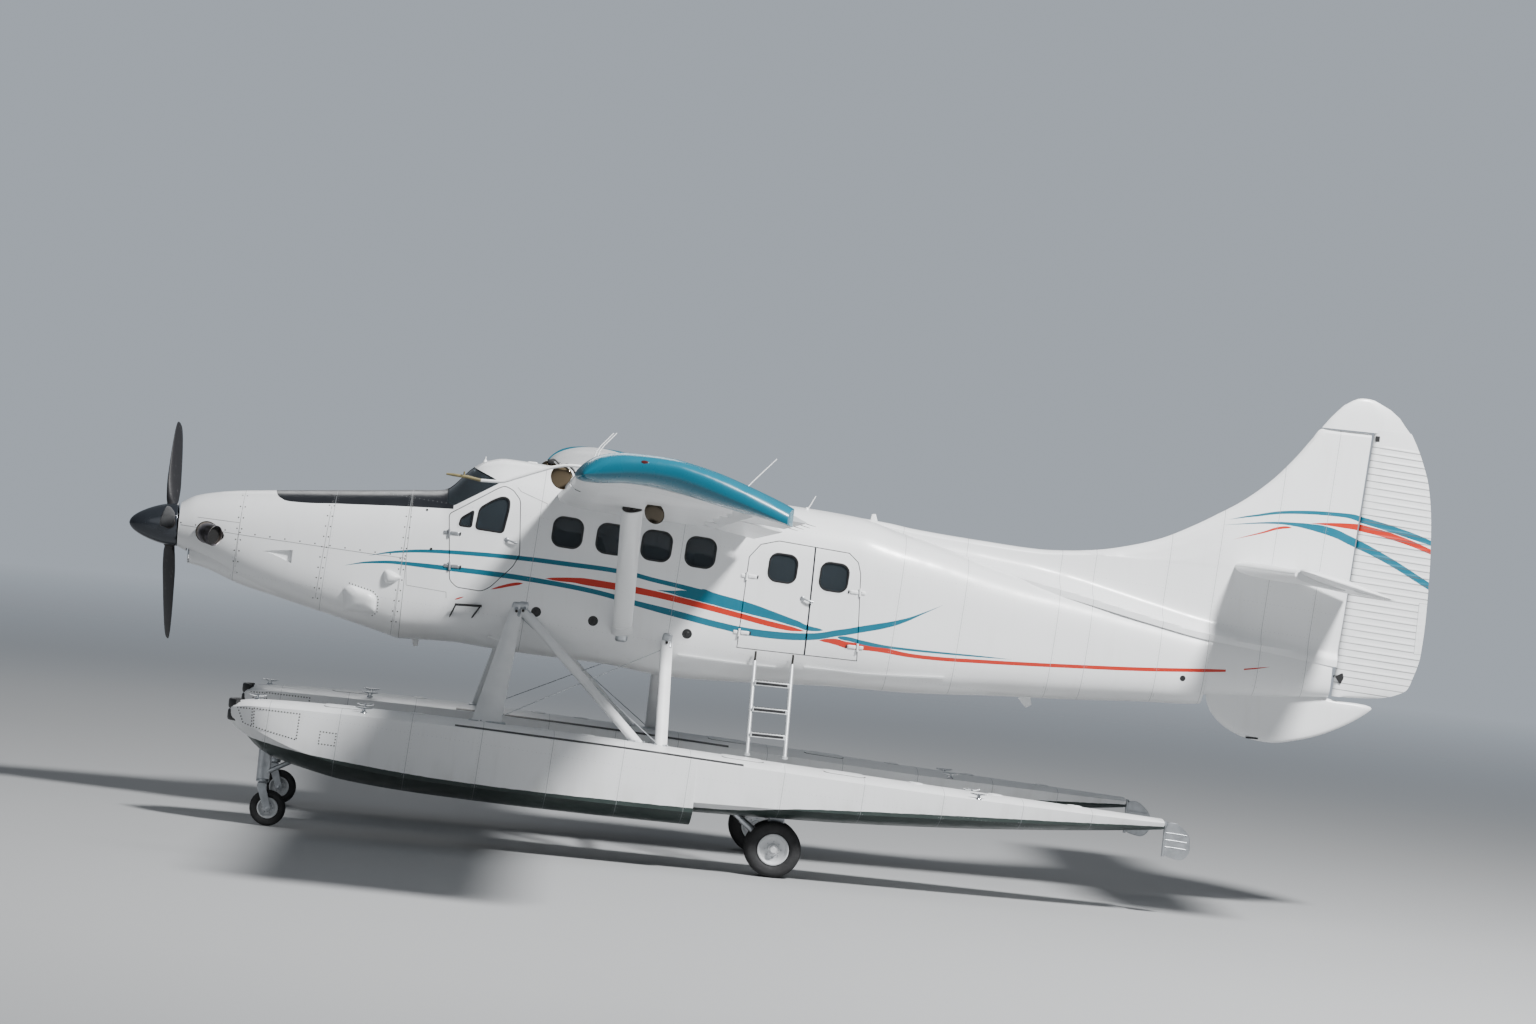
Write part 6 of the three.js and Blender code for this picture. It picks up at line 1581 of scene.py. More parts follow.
def make_ladder():
    front, back = LADDER_RAILS
    zs, xs = np.linspace(2.085, 1.15, 12), np.linspace(front + 0.05, back - 0.05, 10)
    foot = [(0, 0), (0, 0.034), (0.022, 0.03), (0.028, 0.021), (0.028, 0)]
    rails = [tube(np.stack([0 * zs + x, ladder_y(zs), zs], 1), 0.021, 24) for x in LADDER_RAILS]
    rails += [turned(foot, (x, ladder_y(1.145), 1.15), (0, 0, 1), 24) for x in LADDER_RAILS]
    grips = []
    for z in LADDER_TREADS:
        y = ladder_y(z)
        rails.append(rounded_block((front + 0.01, y - 0.045, z - 0.024), (back - 0.01, y + 0.045, z + 0.024),
            0.008))
        grips.append(rounded_block((front + 0.03, y - 0.0465, z - 0.013), (back - 0.03, y - 0.044, z + 0.013),
            0.001))
        grips += [studs(np.stack([xs, 0 * xs + y + dy, 0 * xs + z + 0.0245], 1), (0, 0, 1), 0.01, 0.0025, 10)
            for dy in (-0.028, 0, 0.028)]
    piece("boarding_ladder_skin", rails, "rail", replaces=("boarding_ladder",))
    piece("ladder_grips", grips, "black")
    hooks = [tube([(x, -0.742, 2.075), (x, -0.775, 2.11), (x, -0.79, 2.15), (x, -0.786, 2.185)], 0.011)
        for x in LADDER_RAILS]
    piece("ladder_hooks", hooks, "dark_metal")


# ---- fittings on the body and doors

HINGES = (  # body, two points on the port hinge line, and the way the door lies from it
    ("pilot_door", ((-3.381, -0.748, 2.72), (-3.417, -0.741, 3.05)), 1),
    ("cabin_door_front", ((-0.419, -0.796, 2.357), (-0.401, -0.802, 2.929)), 1),
    ("cabin_door_rear", ((0.787, -0.779, 2.325), (0.753, -0.792, 2.876)), -1),
)
LEVERS = {"pilot_door": (-2.838, 3.04, 0.105, 0.022), "cabin_door_front": (0.183, 2.76, 0.108, 0.026)}
LEVER_MOUNT = [(-2.868, 3.0), (-2.716, 2.996), (-2.716, 3.08), (-2.868, 3.084)]
COWL_SPLIT = [(-6.12, 2.84), (-5.96, 2.832), (-5.494, 2.805), (-4.85, 2.782), (-4.164, 2.756), (-3.83, 2.75)]
COWL_BANDS = [[(-5.505, 3.2), (-5.52, 2.9), (-5.53, 2.42)], [(-4.61, 3.3), (-4.64, 2.9), (-4.69, 2.25)],
    [(-3.83, 3.38), (-3.845, 3.0), (-3.88, 2.1)]]
BODY_SEAMS = [[(-3.819, 2.732), (-3.793, 2.482), (-3.387, 2.454), (-3.381, 2.394)], [(-2.778, 3.574),
    (-2.743, 3.537), (-2.468, 3.442), (-2.471, 3.416)]]
SCOOP = [(-4.418, 2.385), (-4.35, 2.425), (-4.13, 2.375), (-4.072, 2.32), (-4.069, 2.18), (-4.105, 2.15),
    (-4.4, 2.16)]
SCOOP_FLANGE = [(-4.425, 2.405), (-4.35, 2.448), (-4.12, 2.396), (-4.048, 2.33), (-4.046, 2.165), (-4.095, 2.128),
    (-4.405, 2.14)]
SCOOP_RIVETS = [(-4.36, 2.44), (-4.12, 2.386), (-4.056, 2.325), (-4.056, 2.172), (-4.1, 2.138)]
BLISTER = [(-4.029, 2.618), (-3.955, 2.612), (-3.842, 2.56), (-3.905, 2.49), (-4.003, 2.469), (-4.03, 2.54)]
BODY_PORTS = ((-2.469, 2.35), (-1.891, 2.319), (-0.938, 2.286))
BELLY_STRAKES = ([(-1.007, 2.063), (-0.6, 2.047), (-0.282, 2.036), (-0.01, 2.034)], [(0.272, 2.068), (0.854, 2.057),
    (1.706, 2.104)])
BELLY_DRAIN = [(-2.921, 2.048), (-2.88, 2.039), (-2.84, 2.03), (-2.797, 2.02)]
STEP_LEGS = (((-3.33, 2.201), (-3.277, 2.342)), ((-3.11, 2.214), (-3.028, 2.353)))
WHIPS = ([(-2.055, -0.3, 3.8), (-2.03, -0.3, 3.99), (-1.866, -0.3, 4.22)], [(-2.02, -0.26, 3.8),
    (-1.998, -0.26, 3.995), (-1.834, -0.26, 4.223)], [(-0.56, -0.4, 3.69), (-0.457, -0.4, 3.828),
    (-0.198, -0.4, 4.13)], [(0.16, -0.35, 3.64), (0.182, -0.35, 3.68), (0.239, -0.35, 3.798)],
    [(-3.13, 0, 3.78), (-3.13, 0, 3.81), (-3.128, 0, 3.845)])
WHIP_FEET = ((-2.052, -0.3), (-2.017, -0.26), (-0.552, -0.4), (0.162, -0.35), (-3.13, 0))


def door_bodies(name):
    """The bodies a port door pattern is used for, each with its side."""
    if name == "pilot_door":
        return (("pilot_door_left", PORT), ("pilot_door_right", STARBOARD))
    if name == "cabin_door_front":
        return (("cabin_door_front", PORT), ("cabin_door_right", STARBOARD))
    return (("cabin_door_rear", PORT),)


def hinge_parts(point, axis, way):
    """One hinge in three lists: the door's middle knuckle and strap, the shell's two knuckles and strap, and the
    tip of the door's strap."""
    middle, upper, lower = (rod(point, axis, np.linspace(a, b, 4), 0.0115, 20) for a,
        b in ((-0.0168, 0.0168), (0.0174, 0.04), (-0.04, -0.0174)))
    strap, seat, tip = (skin_dome(oblong(point[0] + way * (near + far) / 2, point[2], abs(far - near), 0.038,
        0.012), 0.0125, 4, 8) for near, far in ((0.012, 0.104), (-0.012, -0.06), (0.106, 0.12)))
    return [middle, strap], [upper, lower, seat], [tip]


def lever_part(x, z, length, fall):
    """Door handle: a bar that rises from a round boss and thickens towards its free end."""
    t = np.linspace(0, 1, 14)
    path = on_skin(np.stack([x + length * t, z - fall * t], 1), 0.01 + 0.022 * np.sin(np.pi * 0.8 * t) ** 0.5)
    return joined([tube(path, 0.0085 + 0.0045 * t ** 2), skin_dome(circle(x, z, 0.028, 28), 0.012, 4, 7)])


def make_hinges():
    mount = rounded(LEVER_MOUNT, 0.02)
    mount_plate = [skin_plate(mount, 0.0035, -0.003), skin_studs(spaced(shrunk(mount, 0.011), 0.038), PORT, 0.004,
        0.002, 0.0035)]
    for name, (low, high), way in HINGES:
        finish = "metal" if name == "pilot_door" else "plain_white"
        axis = unit(np.subtract(high, low))
        door, shell, tips = (a + b for a, b in zip(*(hinge_parts(point, axis, way) for point in (low, high))))
        for body, side in door_bodies(name):
            piece(body + "_hinges", door, finish, body, side=side)
            piece(body + "_hinge_tips", tips, "black", body, side=side)
            piece(body + "_hinge_seats", shell, finish, side=side)
            if name in LEVERS:
                piece(body + "_handle", lever_part(*LEVERS[name]), "metal", body, side=side)
            if name == "pilot_door":
                piece(body + "_handle_plate", mount_plate, "plain_white", body, side=side)


def make_cowl_fittings():
    lines = [skin_ribbon(COWL_SPLIT, 0.0045), *(skin_ribbon(band, 0.004) for band in COWL_BANDS),
        skin_ribbon([(-5.955, 2.935), (-5.52, 2.925)], 0.004)]
    both("cowl_seams_{}", lines, "joint")
    rows = [spaced(band, 0.105) + (shift, 0) for band in COWL_BANDS for shift in (0.024, -0.024)]
    heads = np.concatenate([spaced(COWL_SPLIT, 0.155) + (0, 0.022), *rows])
    both("cowl_fasteners_{}", lambda side: skin_studs(heads, side, 0.0075, 0.0022), "dark_metal")
    domes = [skin_dome(rounded(SCOOP, 0.035), 0.082, 3.2, 14), skin_plate(rounded(SCOOP_FLANGE, 0.035), 0.002,
        -0.003, 6), skin_dome(rounded(BLISTER, 0.04), 0.064, 2.4, 14)]
    both("cowl_blisters_{}", domes, "plain_white", sharp=50)
    rim = spaced(SCOOP_RIVETS, 0.032)
    both("blister_rivets_{}", lambda side: skin_studs(rim, side, 0.007, 0.0025, 0.002), "dark_metal")
    both("body_seams_{}", [skin_ribbon(line, 0.0045) for line in BODY_SEAMS], "joint")
    both("body_vents_{}", [skin_plate(circle(x, z, r, 24), 0.0012, -0.004, 4) for x, z,
        r in ((-3.662, 3.253, 0.012), (-3.581, 2.868, 0.014), (4.163, 2.339, 0.03))], "black")
    piece("cowl_rear_seam", hoop(-3.8182, 0.0045), "joint")


def make_fittings():
    both("port_rings_{}", [skin_frame(circle(*at, 0.063, 36), 0.012, 0.0035, -0.004) for at in BODY_PORTS],
        "plain_white")
    cups = [skin_plate(circle(*at, 0.052), 0.0012, -0.006, 6) for at in BODY_PORTS]
    both("port_cups_{}", cups + [skin_dome(circle(*at, 0.026, 24), 0.007, 3, 8) for at in BODY_PORTS], "black")
    both("belly_strakes_{}", [*(skin_ribbon(line, 0.016, 0.02) for line in BELLY_STRAKES),
        tube(on_skin(np.array(BELLY_DRAIN), 0.012), 0.012)], "plain_white")
    t = np.linspace(0, 1, 8)[:, None]
    step = [tube(on_skin(foot + np.subtract(head, foot) * t, 0.06 * t[:, 0] - 0.012), 0.008, 14) for foot,
        head in STEP_LEGS]
    step.append(rod((-3.287, -skin_side(-3.15, 2.347) - 0.048, 2.342), (0.27, 0, 0.011), np.linspace(0, 1, 6),
        0.012))
    both("pilot_step_{}", step, "black")
    seats, bolts = [], [(-1.6, -0.83, 2.262)]
    for (x, y, z), *_ in FLOAT_STRUTS.values():
        outline = [(x - 0.055, z - 0.005), (x + 0.045, z - 0.005), (x + 0.055, z + 0.08), (x - 0.045, z + 0.083)]
        seats.append(skin_dome(rounded(outline, 0.03), 0.018, 4, 8))
        bolts.append((x, y - 0.075, z - 0.01))
    outline = [(-1.655, 2.135), (-1.525, 2.135), (-1.535, 2.255), (-1.645, 2.255)]
    both("strut_seats_{}", [*seats, skin_dome(rounded(outline, 0.04), 0.026, 4, 10)], "metal")
    both("strut_bolts_{}", studs(bolts, (0, -1, 0), 0.016, 0.014, 6), "dark_metal", sharp=30)
    whips = [tube(curve_through(points, 8), np.linspace(0.008, 0.005, 8), 12) for points in WHIPS]
    foot = [(-0.02, 0), (-0.02, 0.026), (0.008, 0.022), (0.022, 0.011), (0.024, 0)]
    whips += [turned(foot, (x, y, skin_top(x, y)), (0, 0, 1), 24) for x, y in WHIP_FEET]
    hatch = rounded_block((-2.7, -0.05, 3.8), (-2.6, 0.05, 3.842), 0.012)
    piece("roof_whips", [*whips, hatch], "plain_white")
    blades = [faired((x0, 0, z0), (x1, 0, z1), root, tip, thick, 8, 32) for x0, z0, x1, z1, root, tip,
        thick in ((0.88, 3.59, 0.872, 3.674, 0.085, 0.04, 0.016), (2.6, 1.985, 2.66, 1.88, 0.13, 0.07, 0.016),
        (-3.652, 1.935, -3.64, 1.852, 0.085, 0.045, 0.03))]
    piece("blade_antennas", blades, "plain_white")


# ---- fittings on the wing and tail

MIRRORS = (  # name, finish, centre of each port mirror, its radius and the way it faces
    ("front", "mirror", (-2.409, -4, 3.743), 0.11, (-0.4, -0.88, -0.25)),
    # the rear mirror's darker finish is painted shade
    ("rear", "dark_mirror", (-1.6, -6.5, 3.53), 0.095, (-0.46, -0.82, -0.34)),
)
PITOT_Y = -7
PITOT_BOOM = [  # x, z
    (-3.178, 3.666), (-3.002, 3.672), (-2.853, 3.725), (-2.694, 3.791), (-2.535, 3.852), (-2.426, 3.876),
    (-2.328, 3.88), (-2.17, 3.84),
]
PITOT_HEAD = [(-3.479, 3.692), (-3.42, 3.69), (-3.35, 3.687), (-3.29, 3.684), (-3.17, 3.666)]


def mirror_part(centre, radius, axis):
    """Round convex mirror: a shallow dome in a rolled rim, with a dished back."""
    face = [(0.022 * math.cos(t), radius * math.sin(t)) for t in np.linspace(0, np.pi / 2, 12)]
    back = [(-0.004, radius + 0.004), (-0.02, radius * 0.86), (-0.03, radius * 0.4), (-0.032, 0)]
    return turned([*face, (0.002, radius + 0.006), *back], centre, axis)


def landing_light():
    """Lens over the leading edge: the wing's own section, set ahead of it, and a smaller one behind."""
    s = chord_steps(0.055, 12)
    shares = np.concatenate([s[::-1], s[1:]])
    heights = np.concatenate([wing_height(s, True)[::-1], wing_height(s, False)[1:]])
    lens = wing_place(shares - 0.0025, heights, np.linspace(6.2, 6.42, 10)[:, None])
    inner = wing_place(shares + 0.003, heights * 0.9, np.linspace(6.205, 6.415, 10)[:, None])
    return surface(np.concatenate([lens, inner[::-1], lens[:1]]), ends=False)


def fuel_cap(y):
    """A round cap lying on the top of the wing."""
    centre, ahead, out = (wing_place(s, wing_height(s, True), t) for s, t in ((0.3, y), (0.31, y), (0.3, y + 0.02)))
    normal = unit(np.cross(out - centre, ahead - centre))
    return turned([(-0.004, 0), (-0.004, 0.055), (0.003, 0.055), (0.005, 0.049), (0.005, 0.018), (0.009, 0.014),
        (0.01, 0)], centre, normal * np.sign(normal[2]), 36)


def make_wing_fittings():
    for which, finish, *shape in MIRRORS:
        both("float_mirror_" + which + "_{}", mirror_part(*shape), finish, sharp=50)
    front = [(-2.26, -4, 3.735), (-2.31, -4, 3.825), (-2.375, -4, 3.872), (-2.405, -4, 3.85),
        (-2.397, -3.98, 3.813)]
    rear = [(-1.586, -6.474, 3.54), (-1.58, -6.455, 3.59), (-1.595, -6.48, 3.69)]
    both("mirror_stalks_{}", [tube(curve_through(front, 14), 0.01), tube(curve_through(rear, 8), 0.01),
        rounded_block((-2.439, -4.028, 3.821), (-2.367, -3.97, 3.871), 0.01), rounded_block((-1.62, -6.515, 3.6),
        (-1.568, -6.466, 3.642), 0.008)], "black")
    boom, head = (np.insert(line, 1, PITOT_Y, axis=1) for line in (PITOT_BOOM, PITOT_HEAD))
    piece("pitot_boom", tube(curve_through(boom, 34), 0.0135, 20), "plain_white")
    piece("pitot_head", [tube(head, [0.009, 0.013, 0.0145, 0.0145, 0.0145], 20), rod((-3.322, PITOT_Y, 0),
        (0, 0, 1), (3.68, 3.695, 3.71, 3.727), 0.008, 14), rod((-3.322, PITOT_Y, 3.724), (0, 1, 0),
        (-0.03, -0.01, 0.01, 0.03), 0.0065, 12)], "khaki")
    both("landing_light_{}", landing_light(), "lamp")
    nav = turned([(-0.04, 0), (-0.03, 0.01), (0, 0.019), (0.028, 0.022), (0.05, 0.018), (0.06, 0.008), (0.062, 0)],
        (-1.79, -8.817, 3.975), (-1, 0, 0), 28)
    for (name, side), finish in zip(SIDES, ("red_lamp", "green_lamp")):
        piece("tip_lamp_" + name, nav, finish, side=side)
    both("fuel_caps_{}", [fuel_cap(y) for y in (1.9, 3.6)], "bright")
    angle = WING_INCIDENCE + math.radians(AILERON_DROOP)
    wick = tube([(0, 0, 0), (0.03, 0, -0.008), (0.07, 0, -0.016), (0.1, 0, -0.022)], [0.003, 0.003, 0.002, 0.0015],
        8)
    edge = np.array([math.cos(angle), 0, -math.sin(angle)]) * 0.46
    both("static_wicks_{}", [moved(wick, hinge_at(y) + edge) for y in (6, 6.8, 7.6, 8.3)], "black", "aileron_{}")
    cuffs = [faired((-1.59, -0.775, 2.236), (-1.5975, -0.98, 2.314), 0.222, 0.203, 0.086, 8, 44),
        faired((-1.7352, -4.42, 3.512), (-1.7362, -4.446, 3.5211), 0.206, 0.206, 0.084, 4, 44)]
    both("wing_strut_cuffs_{}", cuffs, "strut")
    mouth = [faired((-1.736, -4.4405, 3.5192), (-1.7363, -4.448, 3.5218), 0.186, 0.186, 0.07, 3, 44)]
    mouth += [rod((x, -4.43, 3.516), (0, -1, 0.348), (0, 0.06, 0.12, 0.19), 0.013, 14) for x in (-1.766, -1.716)]
    both("wing_strut_mouth_{}", mouth, "dark_metal")


def make_tail_fittings():
    """Black plates at the foot of the rudder, under the ventral fin and at the rudder's top hinge: painted shade
    standing in for the slots there.
    """
    slots = [plate(rounded([(5.764, 2.51), (5.844, 2.556), (5.859, 2.501), (5.829, 2.432)], 0.015), -0.075, -0.06,
        0.003), plate(oblong(4.985, 1.791, 0.13, 0.018, 0.006), -0.0295, -0.02, 0.001),
        plate(oblong(5.952, 4.981, 0.044, 0.06, 0.008), -0.048, -0.03, 0.002)]
    both("tail_slots_{}", slots, "black")


# ---- cabin

PILOT_SEAT_X, PASSENGER_ROWS = -3.01, (-2.2, -1.5, -0.8)
SEATS = (  # name, x of each row, distance of the seats from the middle, finish
    ("pilot_seats", (PILOT_SEAT_X,), 0.33, "leather"), ("passenger_seats", PASSENGER_ROWS, 0.38, "cloth"),
)
DIAL_Y, DIAL_Z = (-0.5, -0.38, -0.26, 0.26, 0.38, 0.5), (3.165, 3.045)
SCREEN_Z = (3.17, 3.085, 3.0)


def seat_parts():
    """One seat about a point of the floor: its pads, a tube frame on two rails, and the belt, a flat strap with
    its buckle that follows the crown of the pad."""
    pads = [cushion((0.205, 0, 0.352), (0.43, 0.42, 0.125), 0.04, seams=(-0.35, 0.25)),
        cushion((0.478, 0, 0.64), (0.105, 0.415, 0.56), 0.16, crown=3), cushion((0.53, 0, 0.88), (0.08, 0.27, 0.12),
        0.16, crown=2.6)]
    bars = [rod((x, 0, z), (0, 0.17, 0), (-1, -0.3, 0.3, 1), 0.011, 14) for x, z in ((0.1, 0.286), (0.32, 0.286),
        (0.512, 0.79))]
    for y in (-0.17, 0.17):
        bent = [(0.05, 0.02), (0.05, 0.2), (0.075, 0.292), (0.22, 0.286), (0.375, 0.292), (0.445, 0.42),
            (0.52, 0.83)]
        leg = [(0.36, 0.29), (0.362, 0.2), (0.366, 0.1), (0.37, 0.02)]
        bars += [tube(curve_through(np.insert(bent, 1, y, axis=1), 36), 0.0125, 14), tube(np.insert(leg, 1, y,
            axis=1), 0.0125, 14), rounded_block((0.005, y - 0.016, 0), (0.425, y + 0.016, 0.02), 0.004)]
    t = np.linspace(-1, 1, 25)[:, None]
    u, v = np.array([(-0.022, -0.0015), (-0.022, 0.0015), (0.022, 0.0015), (0.022, -0.0015)]).T
    crown = 0.3546 + 0.0625 * (1 - 0.16 * t ** 2 - 0.55 * t ** 8)
    strap = surface(np.stack(np.broadcast_arrays(0.225 + u, 0.205 * t, crown + v), -1))
    buckle = rounded_block((0.2, -0.022, 0.414), (0.25, 0.022, 0.426), 0.004)
    return joined(pads), joined(bars), joined([strap, buckle])


def make_seats():
    for name, rows, offset, finish in SEATS:
        pads, bars, belts = ([moved(part, (x, y, FLOOR_Z + 0.0004)) for x in rows for y in (-offset, offset)]
            for part in seat_parts())
        piece(name + "_pads", pads, finish, replaces=(name,), sharp=70)
        piece(name + "_frames", bars, "rail")
        piece(name + "_belts", belts, "black")


def panel_x(z):
    """x of the instrument panel's face, which leans ahead at its top."""
    return -3.35 - (z - 2.8) / 0.49 * 0.01


def make_cabin():
    """Carpet, dials, screens, knobs, control wheels, pedals and levers."""
    xs = stations(FIREWALL_X + 0.06, CABIN_REAR_X - 0.06, 0.12)
    w, top, bottom, n = smooth(SKIN, xs).T
    middle, half = (top - ROOF + bottom + WALL) / 2, (top - bottom - ROOF - WALL) / 2
    reach = (w - WALL) * (1 - np.clip(np.abs(FLOOR_Z + 0.004 - middle) / half, 0, 1) ** n) ** (1 / n) - 0.012
    carpet = [np.stack([xs, way * reach, 0 * xs + FLOOR_Z + lift], 1) for way, lift in ((-1, -0.002), (1, -0.002),
        (1, 0.003), (-1, 0.003))]
    piece("cabin_carpet", surface(np.stack(carpet, 1)), "carpet")
    centre, ahead, a = (0, 0, 0), (1, 0, 0), np.linspace(-2.2, 2.2, 11)
    rim = turned([(-0.004, 0.03), (-0.004, 0.054), (0.006, 0.054), (0.009, 0.05), (0.009, 0.045), (0.002, 0.043),
        (0.002, 0.03), (-0.004, 0.03)], centre, ahead, 40)
    face = turned([(-0.002, 0), (-0.002, 0.044), (0.0035, 0.044), (0.004, 0)], centre, ahead, 40)
    ticks = studs(np.stack([0 * a + 0.004, 0.036 * np.sin(a), 0.036 * np.cos(a)], 1), ahead, 0.0022, 0.0005, 6)
    rims, faces, marks = [], [], []
    for y, z in [(y, z) for y in DIAL_Y for z in DIAL_Z]:
        turn, at = 2.1 * math.sin(7 * y + 11 * z), (panel_x(z), y, z)
        needle = rod((0.0052, 0, 0), (0, 0.032 * math.sin(turn), 0.032 * math.cos(turn)), (-0.2, 0.2, 0.6, 1),
            [0.0016, 0.0014, 0.001, 0.0005], 6)
        rims.append(moved(rim, at))
        faces.append(moved(face, at))
        marks += [moved(ticks, at), moved(needle, at)]
    faces += [rounded_block((panel_x(z) - 0.004, -0.105, z - 0.036), (panel_x(z) + 0.006, 0.105, z + 0.036), 0.003)
        for z in SCREEN_Z]
    rims += [turned([(0, 0.01), (0.016, 0.009), (0.018, 0.006), (0.018, 0)], (panel_x(z) + 0.005, y, z), ahead, 20)
        for z in (*SCREEN_Z, 2.915) for y in (-0.135, 0.135)]
    piece("dial_rims", rims, "black")
    piece("dial_faces", faces, "dial")
    piece("dial_marks", marks, "marks")
    a = np.linspace(0.55, 2 * np.pi - 0.55, 40)
    wheel = joined([tube([(-3.36, 0, 2.93), (-3.3, 0, 2.932), (-3.22, 0, 2.936), (-3.165, 0, 2.94)], 0.016, 20),
        tube(np.stack([0 * a - 3.155, 0.155 * np.sin(a), 2.945 + 0.1 * np.cos(a)], 1), 0.0125),
        rod((-3.158, -0.15, 2.935), (0, 0.3, 0), np.linspace(0, 1, 7), 0.011, 14), turned([(-0.02, 0),
        (-0.02, 0.034), (0.012, 0.034), (0.016, 0.028), (0.016, 0)], (-3.16, 0, 2.937), ahead, 28)])
    pedal = joined([rounded_block((-3.64, -0.045, 2.215), (-3.615, 0.045, 2.33), 0.008),
        tube([(-3.628, 0, 2.225), (-3.634, 0, 2.2), (-3.642, 0, 2.17), (-3.65, 0, 2.148)], 0.009, 12)])
    lever = joined([tube([(-3.285, 0, 2.87), (-3.275, 0, 2.91), (-3.262, 0, 2.95), (-3.255, 0, 2.975)], 0.006, 12),
        turned([(-0.016, 0), (-0.014, 0.012), (0, 0.016), (0.014, 0.012), (0.016, 0)], (-3.254, 0, 2.985),
        (0, 0, 1), 20)])
    quadrant = rounded_block((-3.345, -0.09, 2.8), (-3.23, 0.09, 2.88), 0.015)
    piece("control_wheels", [moved(wheel, (0, y, 0)) for y in (-0.33, 0.33)] + [quadrant], "board")
    levers = [moved(part, (0, y, 0)) for part, ys in ((pedal, (-0.415, -0.245, 0.245, 0.415)),
        (lever, (-0.055, 0, 0.055))) for y in ys]
    piece("control_levers", levers, "dark_metal")


# ---- stage

FOCAL, IMAGE_WIDTH = 5091, 1536  # both in pixels of the photograph
VIEW_CENTRE = (-0.258, 0, 4.05)  # the point of the aircraft that is seen at the horizon
VIEW_DROP = 46  # pixels from the photograph's middle up to the horizon
VIEW_ANGLES = (3.3, 0.4, 6)  # degrees of yaw, bank and pitch


def make_stage(props):
    """A round pale floor under a plain sky, soft lamps, and the camera at the photograph's angle."""
    FINISH["floor"] = paved("floor_paint", props.floor_colour, props.floor_reach)
    ring = np.insert(circle(0, 0, props.floor_reach, 128), 2, 0, axis=1)
    new_object("floor", (ring, [list(range(len(ring)))]), "floor")

    world = bpy.data.worlds.new("studio")
    bpy.context.scene.world = world
    world.use_nodes = True
    tree = world.node_tree
    background = tree.nodes["Background"]
    background.inputs["Color"].default_value = shade(props.sky_colour)
    strength = tree.nodes.new("ShaderNodeMapRange")
    strength.inputs["To Min"].default_value = props.sky_strength
    strength.inputs["To Max"].default_value = props.backdrop
    tree.links.new(tree.nodes.new("ShaderNodeLightPath").outputs["Is Camera Ray"], strength.inputs["Value"])
    tree.links.new(strength.outputs[0], background.inputs["Strength"])
    for name, place, aim, size, power in (("key", (12, -17, 24), (0, 0, 2.8), 4.5, props.key_power),
        ("fill", (-16, -18, 9), (0, 0, 2.4), 14, props.fill_power), ("rim", (-4, 20, 16), (0, 0, 3), 12,
        3 * props.fill_power)):
        lamp = bpy.data.lights.new(name, "AREA")
        lamp.shape, lamp.size, lamp.energy = "DISK", size, power
        holder = bpy.data.objects.new(name, lamp)
        turn = (Vector(aim) - Vector(place)).to_track_quat("-Z", "Y").to_matrix().to_4x4()
        holder.matrix_world = Matrix.Translation(place) @ turn
        bpy.context.scene.collection.objects.link(holder)

    yaw, bank, pitch = (math.radians(angle) for angle in VIEW_ANGLES)
    drop = math.atan(VIEW_DROP / FOCAL)
    c, s, cb, sb = math.cos(pitch), math.sin(pitch), math.cos(bank), math.sin(bank)
    turn = np.array([[1, 0, 0], [0, cb, -sb], [0, sb, cb]]) @ np.array([[c, 0, s], [0, 1, 0], [-s, 0, c]])
    ahead, right = (np.array(v) for v in ((math.sin(yaw), math.cos(yaw), 0), (math.cos(yaw), -math.sin(yaw), 0)))
    up = np.array([0, 0, 1.0])
    look, above = ahead * math.cos(drop) - up * math.sin(drop), up * math.cos(drop) + ahead * math.sin(drop)
    matrix = np.eye(4)
    matrix[:3, :3] = turn.T @ np.stack([right, above, -look], 1)
    matrix[:3, 3] = turn.T @ (-props.camera_distance * ahead) + VIEW_CENTRE
    camera = bpy.data.cameras.new("camera")
    camera.sensor_width, camera.lens, camera.clip_end = 36, 36 * FOCAL / IMAGE_WIDTH, 400
    holder = bpy.data.objects.new("camera", camera)
    holder.matrix_world = Matrix(matrix.tolist())
    bpy.context.scene.collection.objects.link(holder)
    bpy.context.scene.camera = holder


# ---- settings, operators and panel


class FloatplanePaint(bpy.types.PropertyGroup):
    """Colours of the paint and glass."""

    white: FloatVectorProperty(name="White", description="Main paint", subtype="COLOR", min=0, max=1,
        default=(0.8, 0.81, 0.815))
    teal: FloatVectorProperty(name="Teal", description="Stripes and wing tips", subtype="COLOR", min=0, max=1,
        default=(0.002, 0.122, 0.185))
    red: FloatVectorProperty(name="Red", description="Thin stripes", subtype="COLOR", min=0, max=1,
        default=(0.46, 0.02, 0.007))
    float_bottom: FloatVectorProperty(name="Float bottom", description="Paint under the floats", subtype="COLOR",
        min=0, max=1, default=(0.012, 0.022, 0.02))
    spinner: FloatVectorProperty(name="Spinner", description="Paint of the spinner", subtype="COLOR", min=0, max=1,
        default=(0.04, 0.046, 0.056))
    glass_tint: FloatVectorProperty(name="Glass", description="Tint of the windows", subtype="COLOR", min=0, max=1,
        default=(0.22, 0.27, 0.31))


